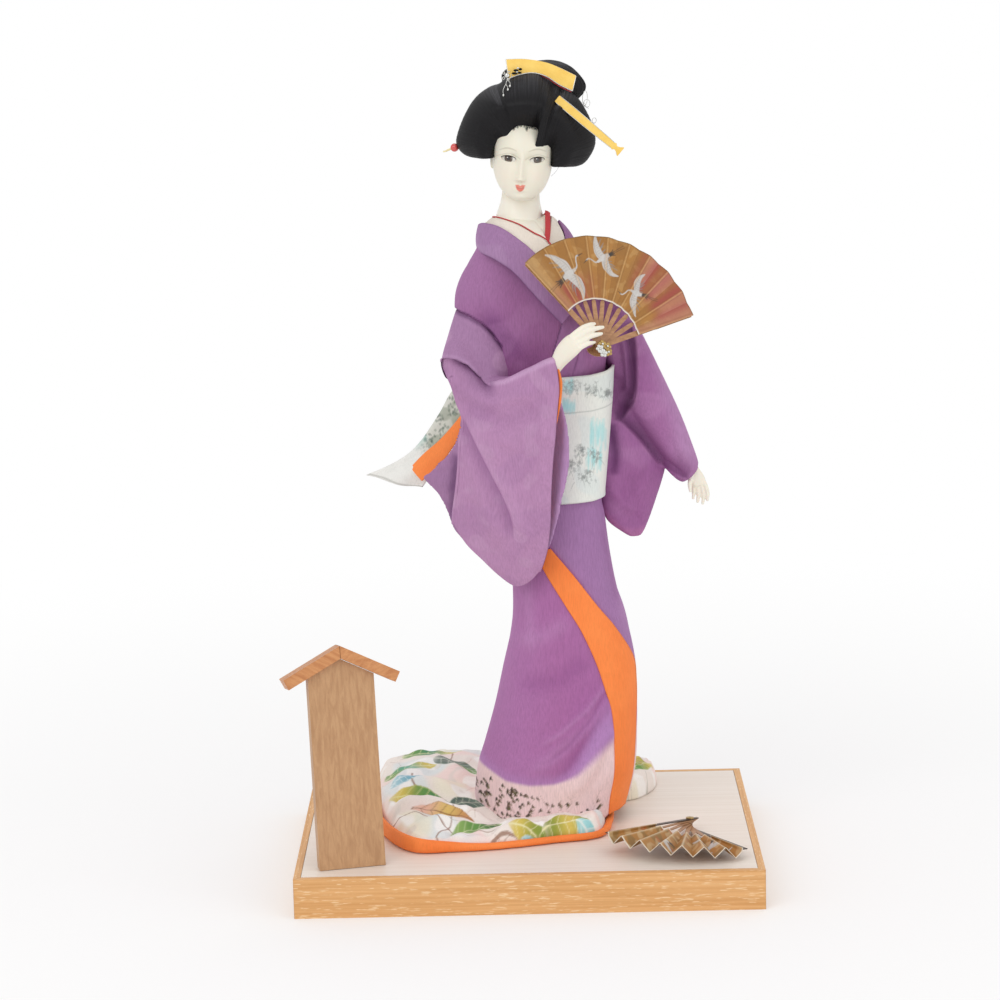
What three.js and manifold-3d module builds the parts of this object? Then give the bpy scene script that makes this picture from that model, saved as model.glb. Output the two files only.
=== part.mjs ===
// A geisha doll standing on a wooden base, with a name board and a second folding fan lying beside it.
// Millimetres, +Z up, and the doll faces -Y. Places count from the centre of the base's underside; the
// finished model then moves a little sideways, so that the origin is the centre of its whole footprint,
// because the name board's roof reaches past the base's edge.
// Right and left in the names are the doll's own, so its right arm is on the viewer's left.
import * as THREE from "three";
import { mergeVertices } from "three/addons/utils/BufferGeometryUtils.js";
import Module from "manifold-3d";

const CLEAR = 0.3; // air between two pieces that touch
const RUNNING = 0.6; // air round a piece that turns in another
const CLOTH = 2; // padded silk of the kimono

const BASE = { width: 270, depth: 210, height: 23.4, rim: 4, rail: 10, panel: 6 };
const ROD = { radius: 2, spread: 13, x: 17, y: 16, sunk: 5, rise: 190 };
const OBI = { bottom: 196, top: 275, thick: 3.2, rake: 3 };
const WAIST = 220; // where the skirt meets the bodice, under the obi
const BODICE_TOP = 354;
const HEM = { roll: 2.2, strip: 1.2, rollFrom: 0.06, rollTo: 0.52 };
const NECK = { x: 2.8, y: 4, z: 364.6, radius: 12.5, sunk: 12, peg: 5, pegLength: 26, tilt: 3.5 };
const HEAD = { height: 50, jaw: 12, halfWidth: 17.5, halfDepth: 22, lean: -8 };
const STICK = { thick: 0.5, pitch: 0.8, root: 3.2, slim: 1.1, stub: 6, guardTip: 3.4 };
const RIVET = { radius: 1, head: 2.4, cap: 1 };
const LEAF = { thick: 0.4, lift: 0.9 };
const HAND_FAN = { sticks: 10, radius: 64, inner: 27, spread: 113.7, crease: 3.4 };
const HELD = { place: [46.1, -49.8, 295.5], turned: [70.83, 20.3, 20.61] }; // the hand fan's own frame
const TABLE_FAN = { sticks: 8, radius: 64, inner: 27, spread: 80, crease: 6.4 };
const LAID = { fromRight: 39, fromFront: 76, turned: 217, rise: 4.9 }; // the second fan, on the base
const BOARD = { width: 38.6, apex: 121, pitch: 27, thick: 8, lean: 10, yaw: 13.6, foot: 22 };
const BOARD_PLACE = { fromLeft: 33.5, fromFront: 19.2 };
const ROOF = { length: 35, thick: 6.5, depth: 15 };

const wasm = await Module();
wasm.setup();

const vec = (x, y, z) => new THREE.Vector3(x, y, z);
const rad = THREE.MathUtils.degToRad;

// Solids: a closed geometry as a manifold, and back.
function solidOf(geometry) {
  const bare = geometry.clone();
  bare.deleteAttribute("normal");
  bare.deleteAttribute("uv");
  const merged = mergeVertices(bare, 1e-4);
  return new wasm.Manifold(
    new wasm.Mesh({
      numProp: 3,
      vertProperties: merged.attributes.position.array,
      triVerts: new Uint32Array(merged.index.array),
    }),
  );
}

function geometryOf(solid) {
  const mesh = solid.getMesh();
  const geometry = new THREE.BufferGeometry();
  geometry.setAttribute("position", new THREE.BufferAttribute(mesh.vertProperties, 3));
  geometry.setIndex(new THREE.BufferAttribute(mesh.triVerts, 1));
  geometry.computeVertexNormals();
  return geometry;
}

// What is left of a piece once its neighbours are cut away, without loose crumbs.
function cut(geometry, ...tools) {
  const left = tools.reduce((rest, tool) => rest.subtract(solidOf(tool)), solidOf(geometry));
  return geometryOf(left.decompose().reduce((a, b) => (b.volume() > a.volume() ? b : a)));
}

function join(...geometries) {
  return geometryOf(geometries.map(solidOf).reduce((a, b) => a.add(b)));
}

// Turns a closed skin's faces outwards.
function outward(positions, index) {
  const corner = (k) => vec(...positions.slice(3 * index[k], 3 * index[k] + 3));
  let volume = 0;
  for (let i = 0; i < index.length; i += 3) {
    volume += corner(i).dot(corner(i + 1).cross(corner(i + 2)));
  }
  if (volume < 0) index.reverse();
  const geometry = new THREE.BufferGeometry();
  geometry.setAttribute("position", new THREE.Float32BufferAttribute(positions, 3));
  geometry.setIndex(index);
  geometry.computeVertexNormals();
  return geometry;
}

// A closed skin through rings of points, with a cap on each end ring.
function loft(rings) {
  const count = rings[0].length;
  const positions = [];
  const index = [];
  const push = (p) => positions.push(p.x, p.y, p.z) / 3 - 1;
  rings.flat().forEach(push);
  for (let i = 0; i + 1 < rings.length; i++) {
    for (let j = 0; j < count; j++) {
      const a = i * count + j;
      const b = i * count + ((j + 1) % count);
      index.push(a, b, b + count, a, b + count, a + count);
    }
  }
  const cap = (ring, atEnd) => {
    const middle = push(rings[ring].reduce((sum, p) => sum.add(p), vec(0, 0, 0)).divideScalar(count));
    for (let j = 0; j < count; j++) {
      const a = ring * count + j;
      const b = ring * count + ((j + 1) % count);
      index.push(middle, ...(atEnd ? [a, b] : [b, a]));
    }
  };
  cap(0, false);
  cap(rings.length - 1, true);
  return outward(positions, index);
}

// A row of numbers, taken smoothly at a share of the way through a list of rows.
function along(rows, share) {
  const at = Math.min(Math.max(share, 0), 1) * (rows.length - 1);
  const i = Math.min(Math.floor(at), rows.length - 2);
  const f = at - i;
  const row = (k) => rows[Math.min(Math.max(k, 0), rows.length - 1)];
  const [a, b, c, d] = [row(i - 1), row(i), row(i + 1), row(i + 2)];
  return b.map(
    (_, k) =>
      0.5 *
      (2 * b[k] +
        (c[k] - a[k]) * f +
        (2 * a[k] - 5 * b[k] + 4 * c[k] - d[k]) * f * f +
        (3 * b[k] - a[k] - 3 * c[k] + d[k]) * f * f * f),
  );
}

const steps = (count) => Array.from({ length: count + 1 }, (_, i) => i / count);
const turns = (count) => Array.from({ length: count }, (_, i) => (2 * Math.PI * i) / count);
const bulge = (value, power) => Math.sign(value) * Math.abs(value) ** (2 / power);

// An oval ring in a level plane.
function oval([z, x, y, a, b], { sides = 20, power = 2.2, wave = () => 0 } = {}) {
  return turns(sides).map((t) => {
    const swell = 1 + wave(t, z);
    return vec(x + a * swell * bulge(Math.cos(t), power), y + b * swell * bulge(Math.sin(t), power), z);
  });
}

// A limb: oval rings square to a path of [x, y, z, half width, half height] rows.
function limb(rows, { side = vec(1, 0, 0), grow = 0, sides = 8, count = 2 * (rows.length - 1) } = {}) {
  const rings = steps(count).map((t) => {
    const [x, y, z, a, b] = along(rows, t);
    const back = along(rows, t - 0.01);
    const ahead = along(rows, t + 0.01);
    const forward = vec(ahead[0] - back[0], ahead[1] - back[1], ahead[2] - back[2]).normalize();
    const across = side.clone().addScaledVector(forward, -side.dot(forward)).normalize();
    const up = forward.clone().cross(across);
    return turns(sides).map((s) =>
      vec(x, y, z)
        .addScaledVector(across, (a + grow) * Math.cos(s))
        .addScaledVector(up, (b + grow) * Math.sin(s)),
    );
  });
  const push = (ring, other) => {
    const out = ring[0].clone().add(ring[sides / 2]).multiplyScalar(0.5);
    out.sub(other[0].clone().add(other[sides / 2]).multiplyScalar(0.5)).setLength(grow);
    ring.forEach((p) => p.add(out));
  };
  if (grow) {
    push(rings[0], rings[1]);
    push(rings[count], rings[count - 1]);
  }
  return loft(rings);
}

// A slab of cloth or board: a grid of points, thickened along the grid's own normal.
function slab(rows, columns, point, thick) {
  const at = (i, j) => point(i / rows, j / columns);
  const grid = [];
  for (let i = 0; i <= rows; i++) {
    for (let j = 0; j <= columns; j++) {
      const down = at(Math.min(i + 0.5, rows), j).sub(at(Math.max(i - 0.5, 0), j));
      const over = at(i, Math.min(j + 0.5, columns)).sub(at(i, Math.max(j - 0.5, 0)));
      grid.push([at(i, j), down.cross(over).normalize().multiplyScalar(thick / 2)]);
    }
  }
  const positions = [];
  grid.forEach(([p, n]) => positions.push(...p.clone().add(n).toArray()));
  grid.forEach(([p, n]) => positions.push(...p.clone().sub(n).toArray()));
  const index = [];
  const wide = columns + 1;
  const under = grid.length;
  const quad = (a, b, c, d) => index.push(a, b, c, a, c, d);
  for (let i = 0; i < rows; i++) {
    for (let j = 0; j < columns; j++) {
      const a = i * wide + j;
      quad(a, a + wide, a + wide + 1, a + 1);
      quad(under + a, under + a + 1, under + a + wide + 1, under + a + wide);
    }
    quad(i * wide, under + i * wide, under + (i + 1) * wide, (i + 1) * wide);
    const end = i * wide + columns;
    quad(end, end + wide, under + end + wide, under + end);
  }
  for (let j = 0; j < columns; j++) {
    quad(j, j + 1, under + j + 1, under + j);
    const end = rows * wide + j;
    quad(end, under + end, under + end + 1, end + 1);
  }
  return outward(positions, index);
}

// A band of cloth between two edges, each a list of points.
function band(inner, outer, thick, { length = 20, width = 1, grow = 0 } = {}) {
  const edge = (points) => new THREE.CatmullRomCurve3(points.map((p) => vec(...p)), false, "centripetal");
  const [a, b] = [edge(inner), edge(outer)];
  const longer = grow / a.getLength();
  const at = (curve, t) => {
    const inside = THREE.MathUtils.clamp(t, 0, 1);
    return curve.getPoint(inside).addScaledVector(curve.getTangent(inside), (t - inside) * a.getLength());
  };
  const point = (share, s) => {
    const t = share * (1 + 2 * longer) - longer;
    const [p, q] = [at(a, t), at(b, t)];
    const wider = grow / p.distanceTo(q);
    return p.clone().lerp(q, s * (1 + 2 * wider) - wider);
  };
  return slab(length, width, point, thick + 2 * grow);
}

function cylinder(radius, low, high, x, y, sides = 16) {
  return new THREE.CylinderGeometry(radius, radius, high - low, sides)
    .rotateX(Math.PI / 2)
    .translate(x, y, (low + high) / 2);
}

const finish = (color, roughness, metalness = 0) =>
  new THREE.MeshStandardMaterial({ color, roughness, metalness, side: THREE.DoubleSide });
const MATERIALS = {
  maple: finish(0xe2ac6e, 0.5),
  panel: finish(0xf0e2d2, 0.45),
  steel: finish(0x8a8d90, 0.4, 0.9),
  straw: finish(0xc8ad72, 0.9),
  purple: finish(0x966096, 0.6),
  orange: finish(0xfa8746, 0.7),
  red: finish(0xc8464b, 0.6),
  cream: finish(0xe8ded2, 0.7),
  brocade: finish(0xe1e4dc, 0.6),
  print: finish(0xf0dcd8, 0.7),
  skin: finish(0xeee8d8, 0.45),
  hair: finish(0x1c1b1e, 0.35),
  gilt: finish(0xf5c34b, 0.4),
  coral: finish(0xd85a5a, 0.3),
  silver: finish(0xc8c8c4, 0.3, 0.9),
  bamboo: finish(0x8a5a34, 0.5),
  leaf: finish(0xb28042, 0.6),
  brass: finish(0xb49a60, 0.3, 0.9),
  cedar: finish(0xdaa87c, 0.6),
};

const part = new THREE.Group();
const model = new THREE.Group();
part.add(model);

function add(name, geometry, material, parent) {
  const mesh = new THREE.Mesh(geometry, MATERIALS[material]);
  mesh.name = name;
  parent.add(mesh);
}

// The base: four mitred rails, rabbeted for the top panel, and the panel with holes for the leg rods.
const rodPlaces = { leg_rod_right: ROD.x - ROD.spread, leg_rod_left: ROD.x + ROD.spread };

function mitredRail(length) {
  const ledge = BASE.height - BASE.panel - CLEAR;
  const profile = [
    [0, 0],
    [BASE.rail, 0],
    [BASE.rail, ledge],
    [BASE.rim, ledge],
    [BASE.rim, BASE.height],
    [0, BASE.height],
  ];
  const end = (sign) => profile.map(([inset, z]) => vec(sign * (length / 2 - inset - CLEAR / 2), inset, z));
  // The mitred ends are not round, so the end faces are made of the profile's own two rectangles.
  const [a, b] = [end(-1), end(1)];
  const positions = [...a, ...b].flatMap((p) => p.toArray());
  const index = [];
  profile.forEach((_, j) => {
    const k = (j + 1) % profile.length;
    index.push(j, k, k + 6, j, k + 6, j + 6);
  });
  const caps = [[0, 1, 2], [0, 2, 3], [0, 3, 5], [3, 4, 5]];
  caps.forEach(([p, q, r]) => index.push(p, r, q, p + 6, q + 6, r + 6));
  return outward(positions, index);
}

function buildBase() {
  const rails = [
    ["base_front_rail", BASE.width, BASE.depth, 0],
    ["base_right_rail", BASE.depth, BASE.width, 90],
    ["base_back_rail", BASE.width, BASE.depth, 180],
    ["base_left_rail", BASE.depth, BASE.width, 270],
  ];
  for (const [name, length, across, turn] of rails) {
    const rail = mitredRail(length).translate(0, -across / 2, 0).rotateZ(rad(turn));
    add(name, rail, "maple", model);
  }
  const inset = 2 * (BASE.rim + CLEAR);
  const panel = new THREE.BoxGeometry(BASE.width - inset, BASE.depth - inset, BASE.panel).translate(
    0,
    0,
    BASE.height - BASE.panel / 2,
  );
  const holes = Object.values(rodPlaces).map((x) =>
    cylinder(ROD.radius + CLEAR, BASE.height - 2 * BASE.panel, BASE.height + 1, x, ROD.y),
  );
  add("base_top_panel", cut(panel, ...holes), "panel", model);
}

// Everything below stands on the base, so its heights count from the base's top.
const doll = new THREE.Group();
doll.position.z = BASE.height;
model.add(doll);

// The dressed body, as rows of [height, x, y, half width, half depth].
const BODY = [
  [0, 15, 15, 48, 43],
  [10, 16, 15, 48, 42],
  [33, 18.5, 14, 47, 39],
  [49, 21.5, 13.5, 45, 36.5],
  [71, 25, 13, 42, 34],
  [95, 27.5, 12.5, 39, 31.5],
  [120, 28, 12, 34, 29],
  [142, 25.5, 11, 30.5, 27],
  [165, 23, 10, 29, 25.5],
  [186, 20.5, 9, 29, 24.5],
  [200, 20, 8, 27.5, 23.5],
  [236, 18.5, 7, 29.5, 23],
  [276, 17, 6, 34.5, 24],
  [296, 13.5, 5, 41, 25],
  [316, 10.5, 5, 43.5, 24],
  [334, 7.5, 5.5, 37.5, 21.5],
  [348, 6, 6, 28.5, 19.5],
  [362, 4, 6, 21, 17],
];

// The body's row at a height.
function bodyAt(height) {
  let low = 0;
  let high = 1;
  for (let i = 0; i < 30; i++) {
    const middle = (low + high) / 2;
    if (along(BODY, middle)[0] < height) low = middle;
    else high = middle;
  }
  return along(BODY, low);
}

// The body between two heights, swollen or shrunk. The skirt's cloth falls in soft folds towards the hem.
const skirtFold = (t, z) => 0.018 * Math.max(0, 1 - z / 110) * Math.cos(9 * t + z / 40);

// Every form made from the body shares the same facets, so shells and fillings fit one another.
const BODY_STEP = 27;

function bodyRing(height, grow) {
  const level = (k) => {
    const [, x, y, a, b] = bodyAt(k * BODY_STEP);
    return oval([k * BODY_STEP, x, y, a + grow, b + grow], { wave: skirtFold });
  };
  const k = Math.floor(height / BODY_STEP);
  const above = level(k + 1);
  return level(k).map((p, j) => p.lerp(above[j], height / BODY_STEP - k).setZ(height));
}

function bodyForm(low, high, grow) {
  const heights = [low];
  for (let k = Math.ceil((low + CLEAR) / BODY_STEP); k * BODY_STEP < high - CLEAR; k++) {
    heights.push(k * BODY_STEP);
  }
  return loft([...heights, high].map((z) => bodyRing(z, grow)));
}

// The head's own frame, tilted about the neck.
const headGroup = new THREE.Group();
headGroup.position.set(NECK.x, NECK.y, NECK.z);
headGroup.rotation.y = rad(NECK.tilt);
headGroup.updateMatrix();
doll.add(headGroup);

function neckForm(grow) {
  const profile = [
    [0, -NECK.sunk - NECK.pegLength - grow],
    [NECK.peg + grow, -NECK.sunk - NECK.pegLength - grow],
    [NECK.peg + grow, -NECK.sunk - grow],
    [NECK.radius + grow, -NECK.sunk - grow],
    [NECK.radius + grow, HEAD.jaw + 6],
    [0, HEAD.jaw + 6],
  ];
  return new THREE.LatheGeometry(profile.map(([r, z]) => new THREE.Vector2(r, z)), 20).rotateX(Math.PI / 2);
}

const neckRoom = () => neckForm(RUNNING).applyMatrix4(headGroup.matrix);

// Arms: wrapped wires from the shoulder to the wrist.
const RIGHT_ARM = [
  [-20, 5, 322, 6, 6],
  [-30, 2, 300, 6, 6],
  [-33, -5, 281, 5.5, 5.5],
  [-14, -22, 276, 5, 5],
  [6, -36, 277.5, 4.5, 4.5],
  [17.5, -42.6, 279.6, 4, 4],
];
const LEFT_ARM = [
  [42, 8, 318, 6, 6],
  [60, 12, 298, 6, 6],
  [74, 16, 268, 5.5, 5.5],
  [87, 20, 236, 4.5, 4.5],
  [96.5, 23, 214, 3.6, 3.6],
];

function buildBody() {
  const room = neckRoom();
  const rods = Object.entries(rodPlaces);
  for (const [name, x] of rods) {
    add(name, cylinder(ROD.radius, -ROD.sunk, ROD.rise, x, ROD.y), "steel", doll);
  }
  const rodHoles = rods.map(([, x]) => cylinder(ROD.radius + CLEAR, -1, ROD.rise + CLEAR, x, ROD.y));
  const arms = [limb(RIGHT_ARM, { grow: CLEAR }), limb(LEFT_ARM, { grow: CLEAR })];
  const stuffing = bodyForm(CLEAR, BODICE_TOP - CLOTH, -CLOTH - CLEAR);
  add("body_core", cut(stuffing, ...rodHoles, ...arms, room), "straw", doll);
  add("right_arm_core", limb(RIGHT_ARM), "straw", doll);
  add("left_arm_core", limb(LEFT_ARM), "straw", doll);

  const inside = bodyForm(-1, BODICE_TOP + 1, -CLOTH);
  const bodice = bodyForm(WAIST + CLEAR, BODICE_TOP, 0);
  add("kimono_bodice", cut(bodice, inside, ...arms, room), "purple", doll);
  add("kimono_skirt", cut(bodyForm(CLEAR, WAIST, 0), inside), "purple", doll);
}

// Collars: three bands that cross on the chest and stand off the nape. Each list runs from the lower end
// of the band that lies on top, round the neck, to the lower end of the band beneath.
const COLLARS = {
  kimono_collar: {
    thick: 2.2,
    material: "purple",
    inner: [
      [36, -24, 318], [11.8, -22.5, 345.5], [2, -19, 354], [-9, -14, 361], [-17.5, -5, 362.5],
      [-20.5, 6, 361], [-17, 22, 360], [3, 31, 361], [20, 26, 364], [24, 13, 365.5], [25, 1, 363],
      [28.5, -8, 351], [20, -20.5, 338],
    ],
    outer: [
      [25.8, -24.5, 305], [11.8, -24, 320.5], [-1.3, -22, 335.3], [-12, -17, 342.5], [-19.5, -7, 346.5],
      [-23, 5, 347.5], [-21, 22, 347], [3, 33.5, 348], [25, 28, 350], [33.5, 12, 351], [35.5, 0, 349],
      [37.5, -11, 341], [33, -20, 323],
    ],
  },
  under_collar: {
    thick: 1.6,
    material: "cream",
    inner: [
      [28, -21, 338], [17.5, -20.8, 351.5], [9.5, -19.5, 356.5], [1.5, -17, 360.8], [-5.5, -13.5, 363.4],
      [-10.8, -8, 364], [-13.5, 2, 363.6], [-12.5, 14, 363], [3, 23.5, 364.5], [17, 17, 367.5],
      [20.5, 6, 368], [20.8, -5, 364], [18.8, -17, 352.5], [12, -21, 343],
    ],
    outer: [
      [21, -22, 331], [10.6, -22, 344.5], [5, -20.3, 350], [-2.5, -16.8, 356], [-9, -13.3, 360],
      [-14.5, -8, 361.6], [-19, 4, 360.3], [-16.5, 19, 359], [3, 29.5, 360], [19.5, 24, 363],
      [23.2, 12, 364.5], [24.5, 0.5, 362], [28, -9, 350.5], [19, -20.8, 336],
    ],
  },
  red_collar: {
    thick: 1.4,
    material: "red",
    inner: [
      [24, -19.5, 345], [18.5, -20, 353.6], [10.4, -18.6, 358.3], [2.4, -16, 362.8], [-5.6, -12, 365.6],
      [-10.2, -6, 366.3], [-12.6, 4, 366], [-11, 15, 365.6], [3, 21.6, 367], [14.5, 15, 370], [17.8, 5, 370],
      [17.6, -4, 369.2], [17, -16.5, 354.5], [10, -19.5, 346],
    ],
    outer: [
      [24, -20, 342.5], [18.3, -20.7, 351.9], [9.8, -19.6, 356.9], [1.8, -17.2, 361.2], [-6, -13.2, 364.2],
      [-11, -7.3, 364.8], [-13.6, 3.4, 364.5], [-12.3, 15, 364], [3, 23, 365.5], [16.5, 16.5, 368.5],
      [20.5, 5.5, 368.8], [20.9, -4.6, 368], [19.8, -17.4, 352], [13, -20.3, 343],
    ],
  },
};

function buildCollars() {
  const room = neckRoom();
  const chest = bodyForm(WAIST, BODICE_TOP + CLEAR, CLEAR);
  const done = [];
  for (const [name, { thick, material, inner, outer }] of Object.entries(COLLARS)) {
    add(name, cut(band(inner, outer, thick), chest, room, ...done), material, doll);
    done.push(band(inner, outer, thick, { grow: 2 * CLEAR }));
  }
  return done;
}

// Sleeves: the arm's own sleeve, and the bag that hangs from it. A bag's rows are
// [height, left x, right x, half thickness]; its plane slants back from the line y = near + slope * x.
const RIGHT_SLEEVE = {
  arm: [
    [-8, 6, 334, 9, 11],
    [-17, 5, 321, 15, 16],
    [-27, 3, 304, 15.5, 16],
    [-30.5, -3, 285, 15, 15],
    [-14, -20, 275, 13, 14],
    [4, -34, 276.5, 11, 11.5],
    [16, -41.5, 279.2, 8, 9],
  ],
  bag: [
    [272, -38, 22, 9],
    [260, -39, 25.5, 10],
    [244, -40, 28.5, 10.5],
    [229, -49, 27, 10.5],
    [215, -56, 24.5, 10],
    [200, -48, 21.5, 9.5],
    [187, -38, 19, 8.5],
    [174, -28, 16, 7.5],
    [163, -17, 11, 6],
    [155, -5, 5, 3],
  ],
  near: -22,
  slope: -0.62,
  lined: true,
};
const LEFT_SLEEVE = {
  arm: [
    [34, 7, 330, 9, 11],
    [43, 8, 317, 15, 15],
    [57, 11, 298, 15.5, 15.5],
    [71, 15, 272, 15, 14],
    [84, 19, 240, 13, 12],
    [94, 22.5, 216, 10, 9],
    [98, 24, 206, 8, 7.5],
  ],
  bag: [
    [266, 58, 84, 9],
    [250, 57, 88, 10],
    [234, 55, 90, 10],
    [218, 52, 90, 9.5],
    [204, 51, 88, 8.5],
    [192, 51, 85, 7.5],
    [180, 53, 80, 6.5],
    [170, 65, 75, 3.5],
  ],
  near: 0,
  slope: 0.32,
  lined: false,
};

const BAG_RINGS = 10;
const FOLD = 0.035; // depth of a sleeve's folds, as a share of its width
const SLIT = 1.4; // half the width of the sleeve's open edge

// The hanging bag of a sleeve. Its folds are soft waves that grow towards the foot.
function bag({ bag: rows, near, slope }, grow) {
  return sheetBag(rows, near, slope, grow, grow, (half) => half + grow);
}

// The mouth of a sleeve: a thin slot that opens the bag along its right edge.
function slot({ bag: rows, near, slope }) {
  return sheetBag(rows, near, slope, -CLOTH, 2 * CLOTH, () => SLIT);
}

// A closed flat bag through the rows, let out by grow at the left and rightGrow at the right.
function sheetBag(rows, near, slope, grow, rightGrow, thickness) {
  const top = rows[0][0];
  const foot = rows[rows.length - 1][0];
  const rings = steps(BAG_RINGS).map((t) => {
    const [z, left, right, half] = along(rows, t);
    const middle = (left - grow + right + rightGrow) / 2;
    const reach = (right + rightGrow - left + grow) / 2;
    const drop = (top - z) / (top - foot);
    return turns(18).map((s) => {
      const x = middle + reach * Math.cos(s);
      const share = THREE.MathUtils.clamp((2 * x - left - right) / (right - left), -1, 1);
      const fold = FOLD * drop * (right - left) * Math.sin(5.2 * share + 1.2) * (1 - share ** 4);
      const y = near + slope * x + fold + thickness(half) * bulge(Math.sin(s), 2.4);
      return vec(x, y, z + grow * (1 - 2 * drop));
    });
  });
  return loft(rings);
}

function sleeveForm(sleeve, grow) {
  return join(limb(sleeve.arm, { grow, sides: 10, count: 7 }), bag(sleeve, grow));
}

function buildSleeves(collars) {
  const chest = bodyForm(CLEAR, BODICE_TOP + CLEAR, CLEAR);
  const sides = [
    ["right", RIGHT_SLEEVE, RIGHT_ARM, rightHandRoom()],
    ["left", LEFT_SLEEVE, LEFT_ARM, leftHandRoom()],
  ];
  for (const [side, sleeve, arm, handRoom] of sides) {
    const inside = [chest, obiForm(CLEAR), limb(arm, { grow: CLEAR }), handRoom];
    const hollow = [];
    if (sleeve.lined) {
      add(side + "_sleeve_lining", cut(bag(sleeve, -CLOTH - 2 * CLEAR), ...inside), "orange", doll);
      hollow.push(bag(sleeve, -CLOTH), slot(sleeve));
    }
    add(side + "_sleeve", cut(sleeveForm(sleeve, 0), ...inside, ...hollow, ...collars), "purple", doll);
  }
}

// The obi: a stiff band round the waist, the tie at the back, and the loose end that swings out to the side.
function obiForm(grow) {
  const rings = steps(4).map((t) => {
    const [z, x, y, a, b] = bodyAt(OBI.bottom + (OBI.top - OBI.bottom) * t);
    const wide = OBI.thick + CLEAR + grow;
    return oval([z, x, y, a + wide, b + wide], { power: 2.6 }).map((p) =>
      p.setZ(z + (OBI.rake * (p.x - x)) / a - (OBI.rake * (p.y - y)) / b / 4 + (t ? grow : -grow)),
    );
  });
  return loft(rings);
}

const KNOT = { x: 18, z: 243, halfWidth: 27, halfDepth: 14, halfHeight: 22, pressed: 4 };

// The knot's middle lies behind the band, pressed a little into it.
function knotDepth() {
  const [, , y, , b] = bodyAt(KNOT.z);
  return y + b + OBI.thick + KNOT.halfDepth - KNOT.pressed;
}

const TAIL = {
  inner: [
    [-4, 48, 262], [-20, 49, 262], [-37, 51, 257], [-47, 54, 241], [-60, 58, 222.5], [-72, 62, 213.5],
    [-94, 66, 205.5],
  ],
  outer: [
    [-4, 40, 236], [-18, 38, 237], [-30, 40, 238], [-38, 43, 226.5], [-47, 46, 213.5], [-55, 48, 204.5],
    [-60, 50, 196],
  ],
  thick: 3,
};

function knotForm(grow) {
  const rows = [
    [KNOT.x - KNOT.halfWidth, 0.72],
    [KNOT.x - KNOT.halfWidth * 0.7, 1],
    [KNOT.x, 0.86],
    [KNOT.x + KNOT.halfWidth * 0.7, 1],
    [KNOT.x + KNOT.halfWidth, 0.72],
  ];
  const y = knotDepth();
  const path = rows.map(([x, s]) => [x, y, KNOT.z, KNOT.halfDepth * s, KNOT.halfHeight * s]);
  return limb(path, { side: vec(0, 1, 0), grow, sides: 14, count: 8 });
}

function buildObi() {
  const chest = bodyForm(OBI.bottom - 20, OBI.top + 20, CLEAR);
  add("obi_band", cut(obiForm(0), chest), "brocade", doll);
  add("obi_knot", cut(knotForm(0), obiForm(CLEAR)), "brocade", doll);
  const tail = band(TAIL.inner, TAIL.outer, TAIL.thick, { length: 12, width: 4 });
  const rest = [obiForm(CLEAR), knotForm(CLEAR), sleeveForm(RIGHT_SLEEVE, CLEAR)];
  add("obi_tail", cut(tail, ...rest), "brocade", doll);
}

// The orange lining: a strip that shows down the skirt's front, and the padded roll round the train's edge.
// Rows are [height, left x, right x].
const STRIP = [
  [2, 47, 60],
  [12, 48, 62.5],
  [37, 52, 65],
  [68, 51.5, 66.5],
  [87, 46.5, 66],
  [102, 41.5, 62],
  [121, 33, 50],
  [136, 24, 38],
  [155, 13, 25],
  [168, 8, 16],
];

function skirtPoint(x, z, out) {
  const [, cx, cy, a, b] = bodyAt(z);
  const ring = oval([z, cx, cy, a + out, b + out], { sides: 720, wave: skirtFold }).slice(360);
  const near = Math.min(x, cx + a);
  return ring.reduce((best, p) => (Math.abs(p.x - near) < Math.abs(best.x - near) ? p : best));
}

function stripForm(grow) {
  const out = CLEAR + HEM.strip / 2;
  const point = (t, s) => {
    const [z, left, right] = along(STRIP, t);
    return skirtPoint(left + (right - left) * s, z, out);
  };
  return slab(16, 3, point, HEM.strip + 2 * grow);
}

// The train's outline on the base, as [angle, radius] about the skirt's foot.
const TRAIN_MIDDLE = [15, 15];
const TRAIN = [
  [-88, 50], [-92, 10], [-84, -30], [-69, -60], [-45, -61], [-16, -57], [15, -48], [43, -38], [51, -8],
  [54, 28], [70, 44], [80, 66], [78, 92], [50, 98], [20, 92], [-15, 90], [-50, 96], [-84, 82],
];
// How high the cloth puffs over each of those points.
const PUFF = [22, 20, 17, 13, 13, 14, 15, 16, 14, 14, 18, 20, 20, 20, 20, 24, 28, 25];

function trainEdge(t, inset) {
  const rows = TRAIN.map(([x, y], i) => [x, y, PUFF[i]]);
  const loop = [rows[rows.length - 1], ...rows, rows[0], rows[1]];
  const share = (1 + t * rows.length) / (loop.length - 1);
  const [x, y, puff] = along(loop, share);
  const [mx, my] = TRAIN_MIDDLE;
  const reach = Math.hypot(x - mx, y - my);
  return [mx + ((x - mx) * (reach - inset)) / reach, my + ((y - my) * (reach - inset)) / reach, puff];
}

function trainForm(grow) {
  const edge = 2 * HEM.roll + CLEAR;
  // Share of the way in from the edge, and share of the puff reached there.
  const profile = [
    [0, 0], [0, 0.25], [0.03, 0.55], [0.1, 0.86], [0.22, 1], [0.4, 0.84], [0.6, 0.9], [0.82, 1.15],
    [0.99, 1.3],
  ];
  const rings = profile.map(([inward, share]) =>
    steps(42).slice(1).map((t) => {
      const [x, y, puff] = trainEdge(t, edge - grow);
      const fold = inward > 0.05 ? 1 + 0.16 * Math.sin(14 * Math.PI * t + 5 * inward) : 1;
      const [mx, my] = TRAIN_MIDDLE;
      const z = share ? share * puff * fold + grow : CLEAR - grow;
      return vec(x + (mx - x) * inward, y + (my - y) * inward, z);
    }),
  );
  return loft(rings);
}

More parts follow.
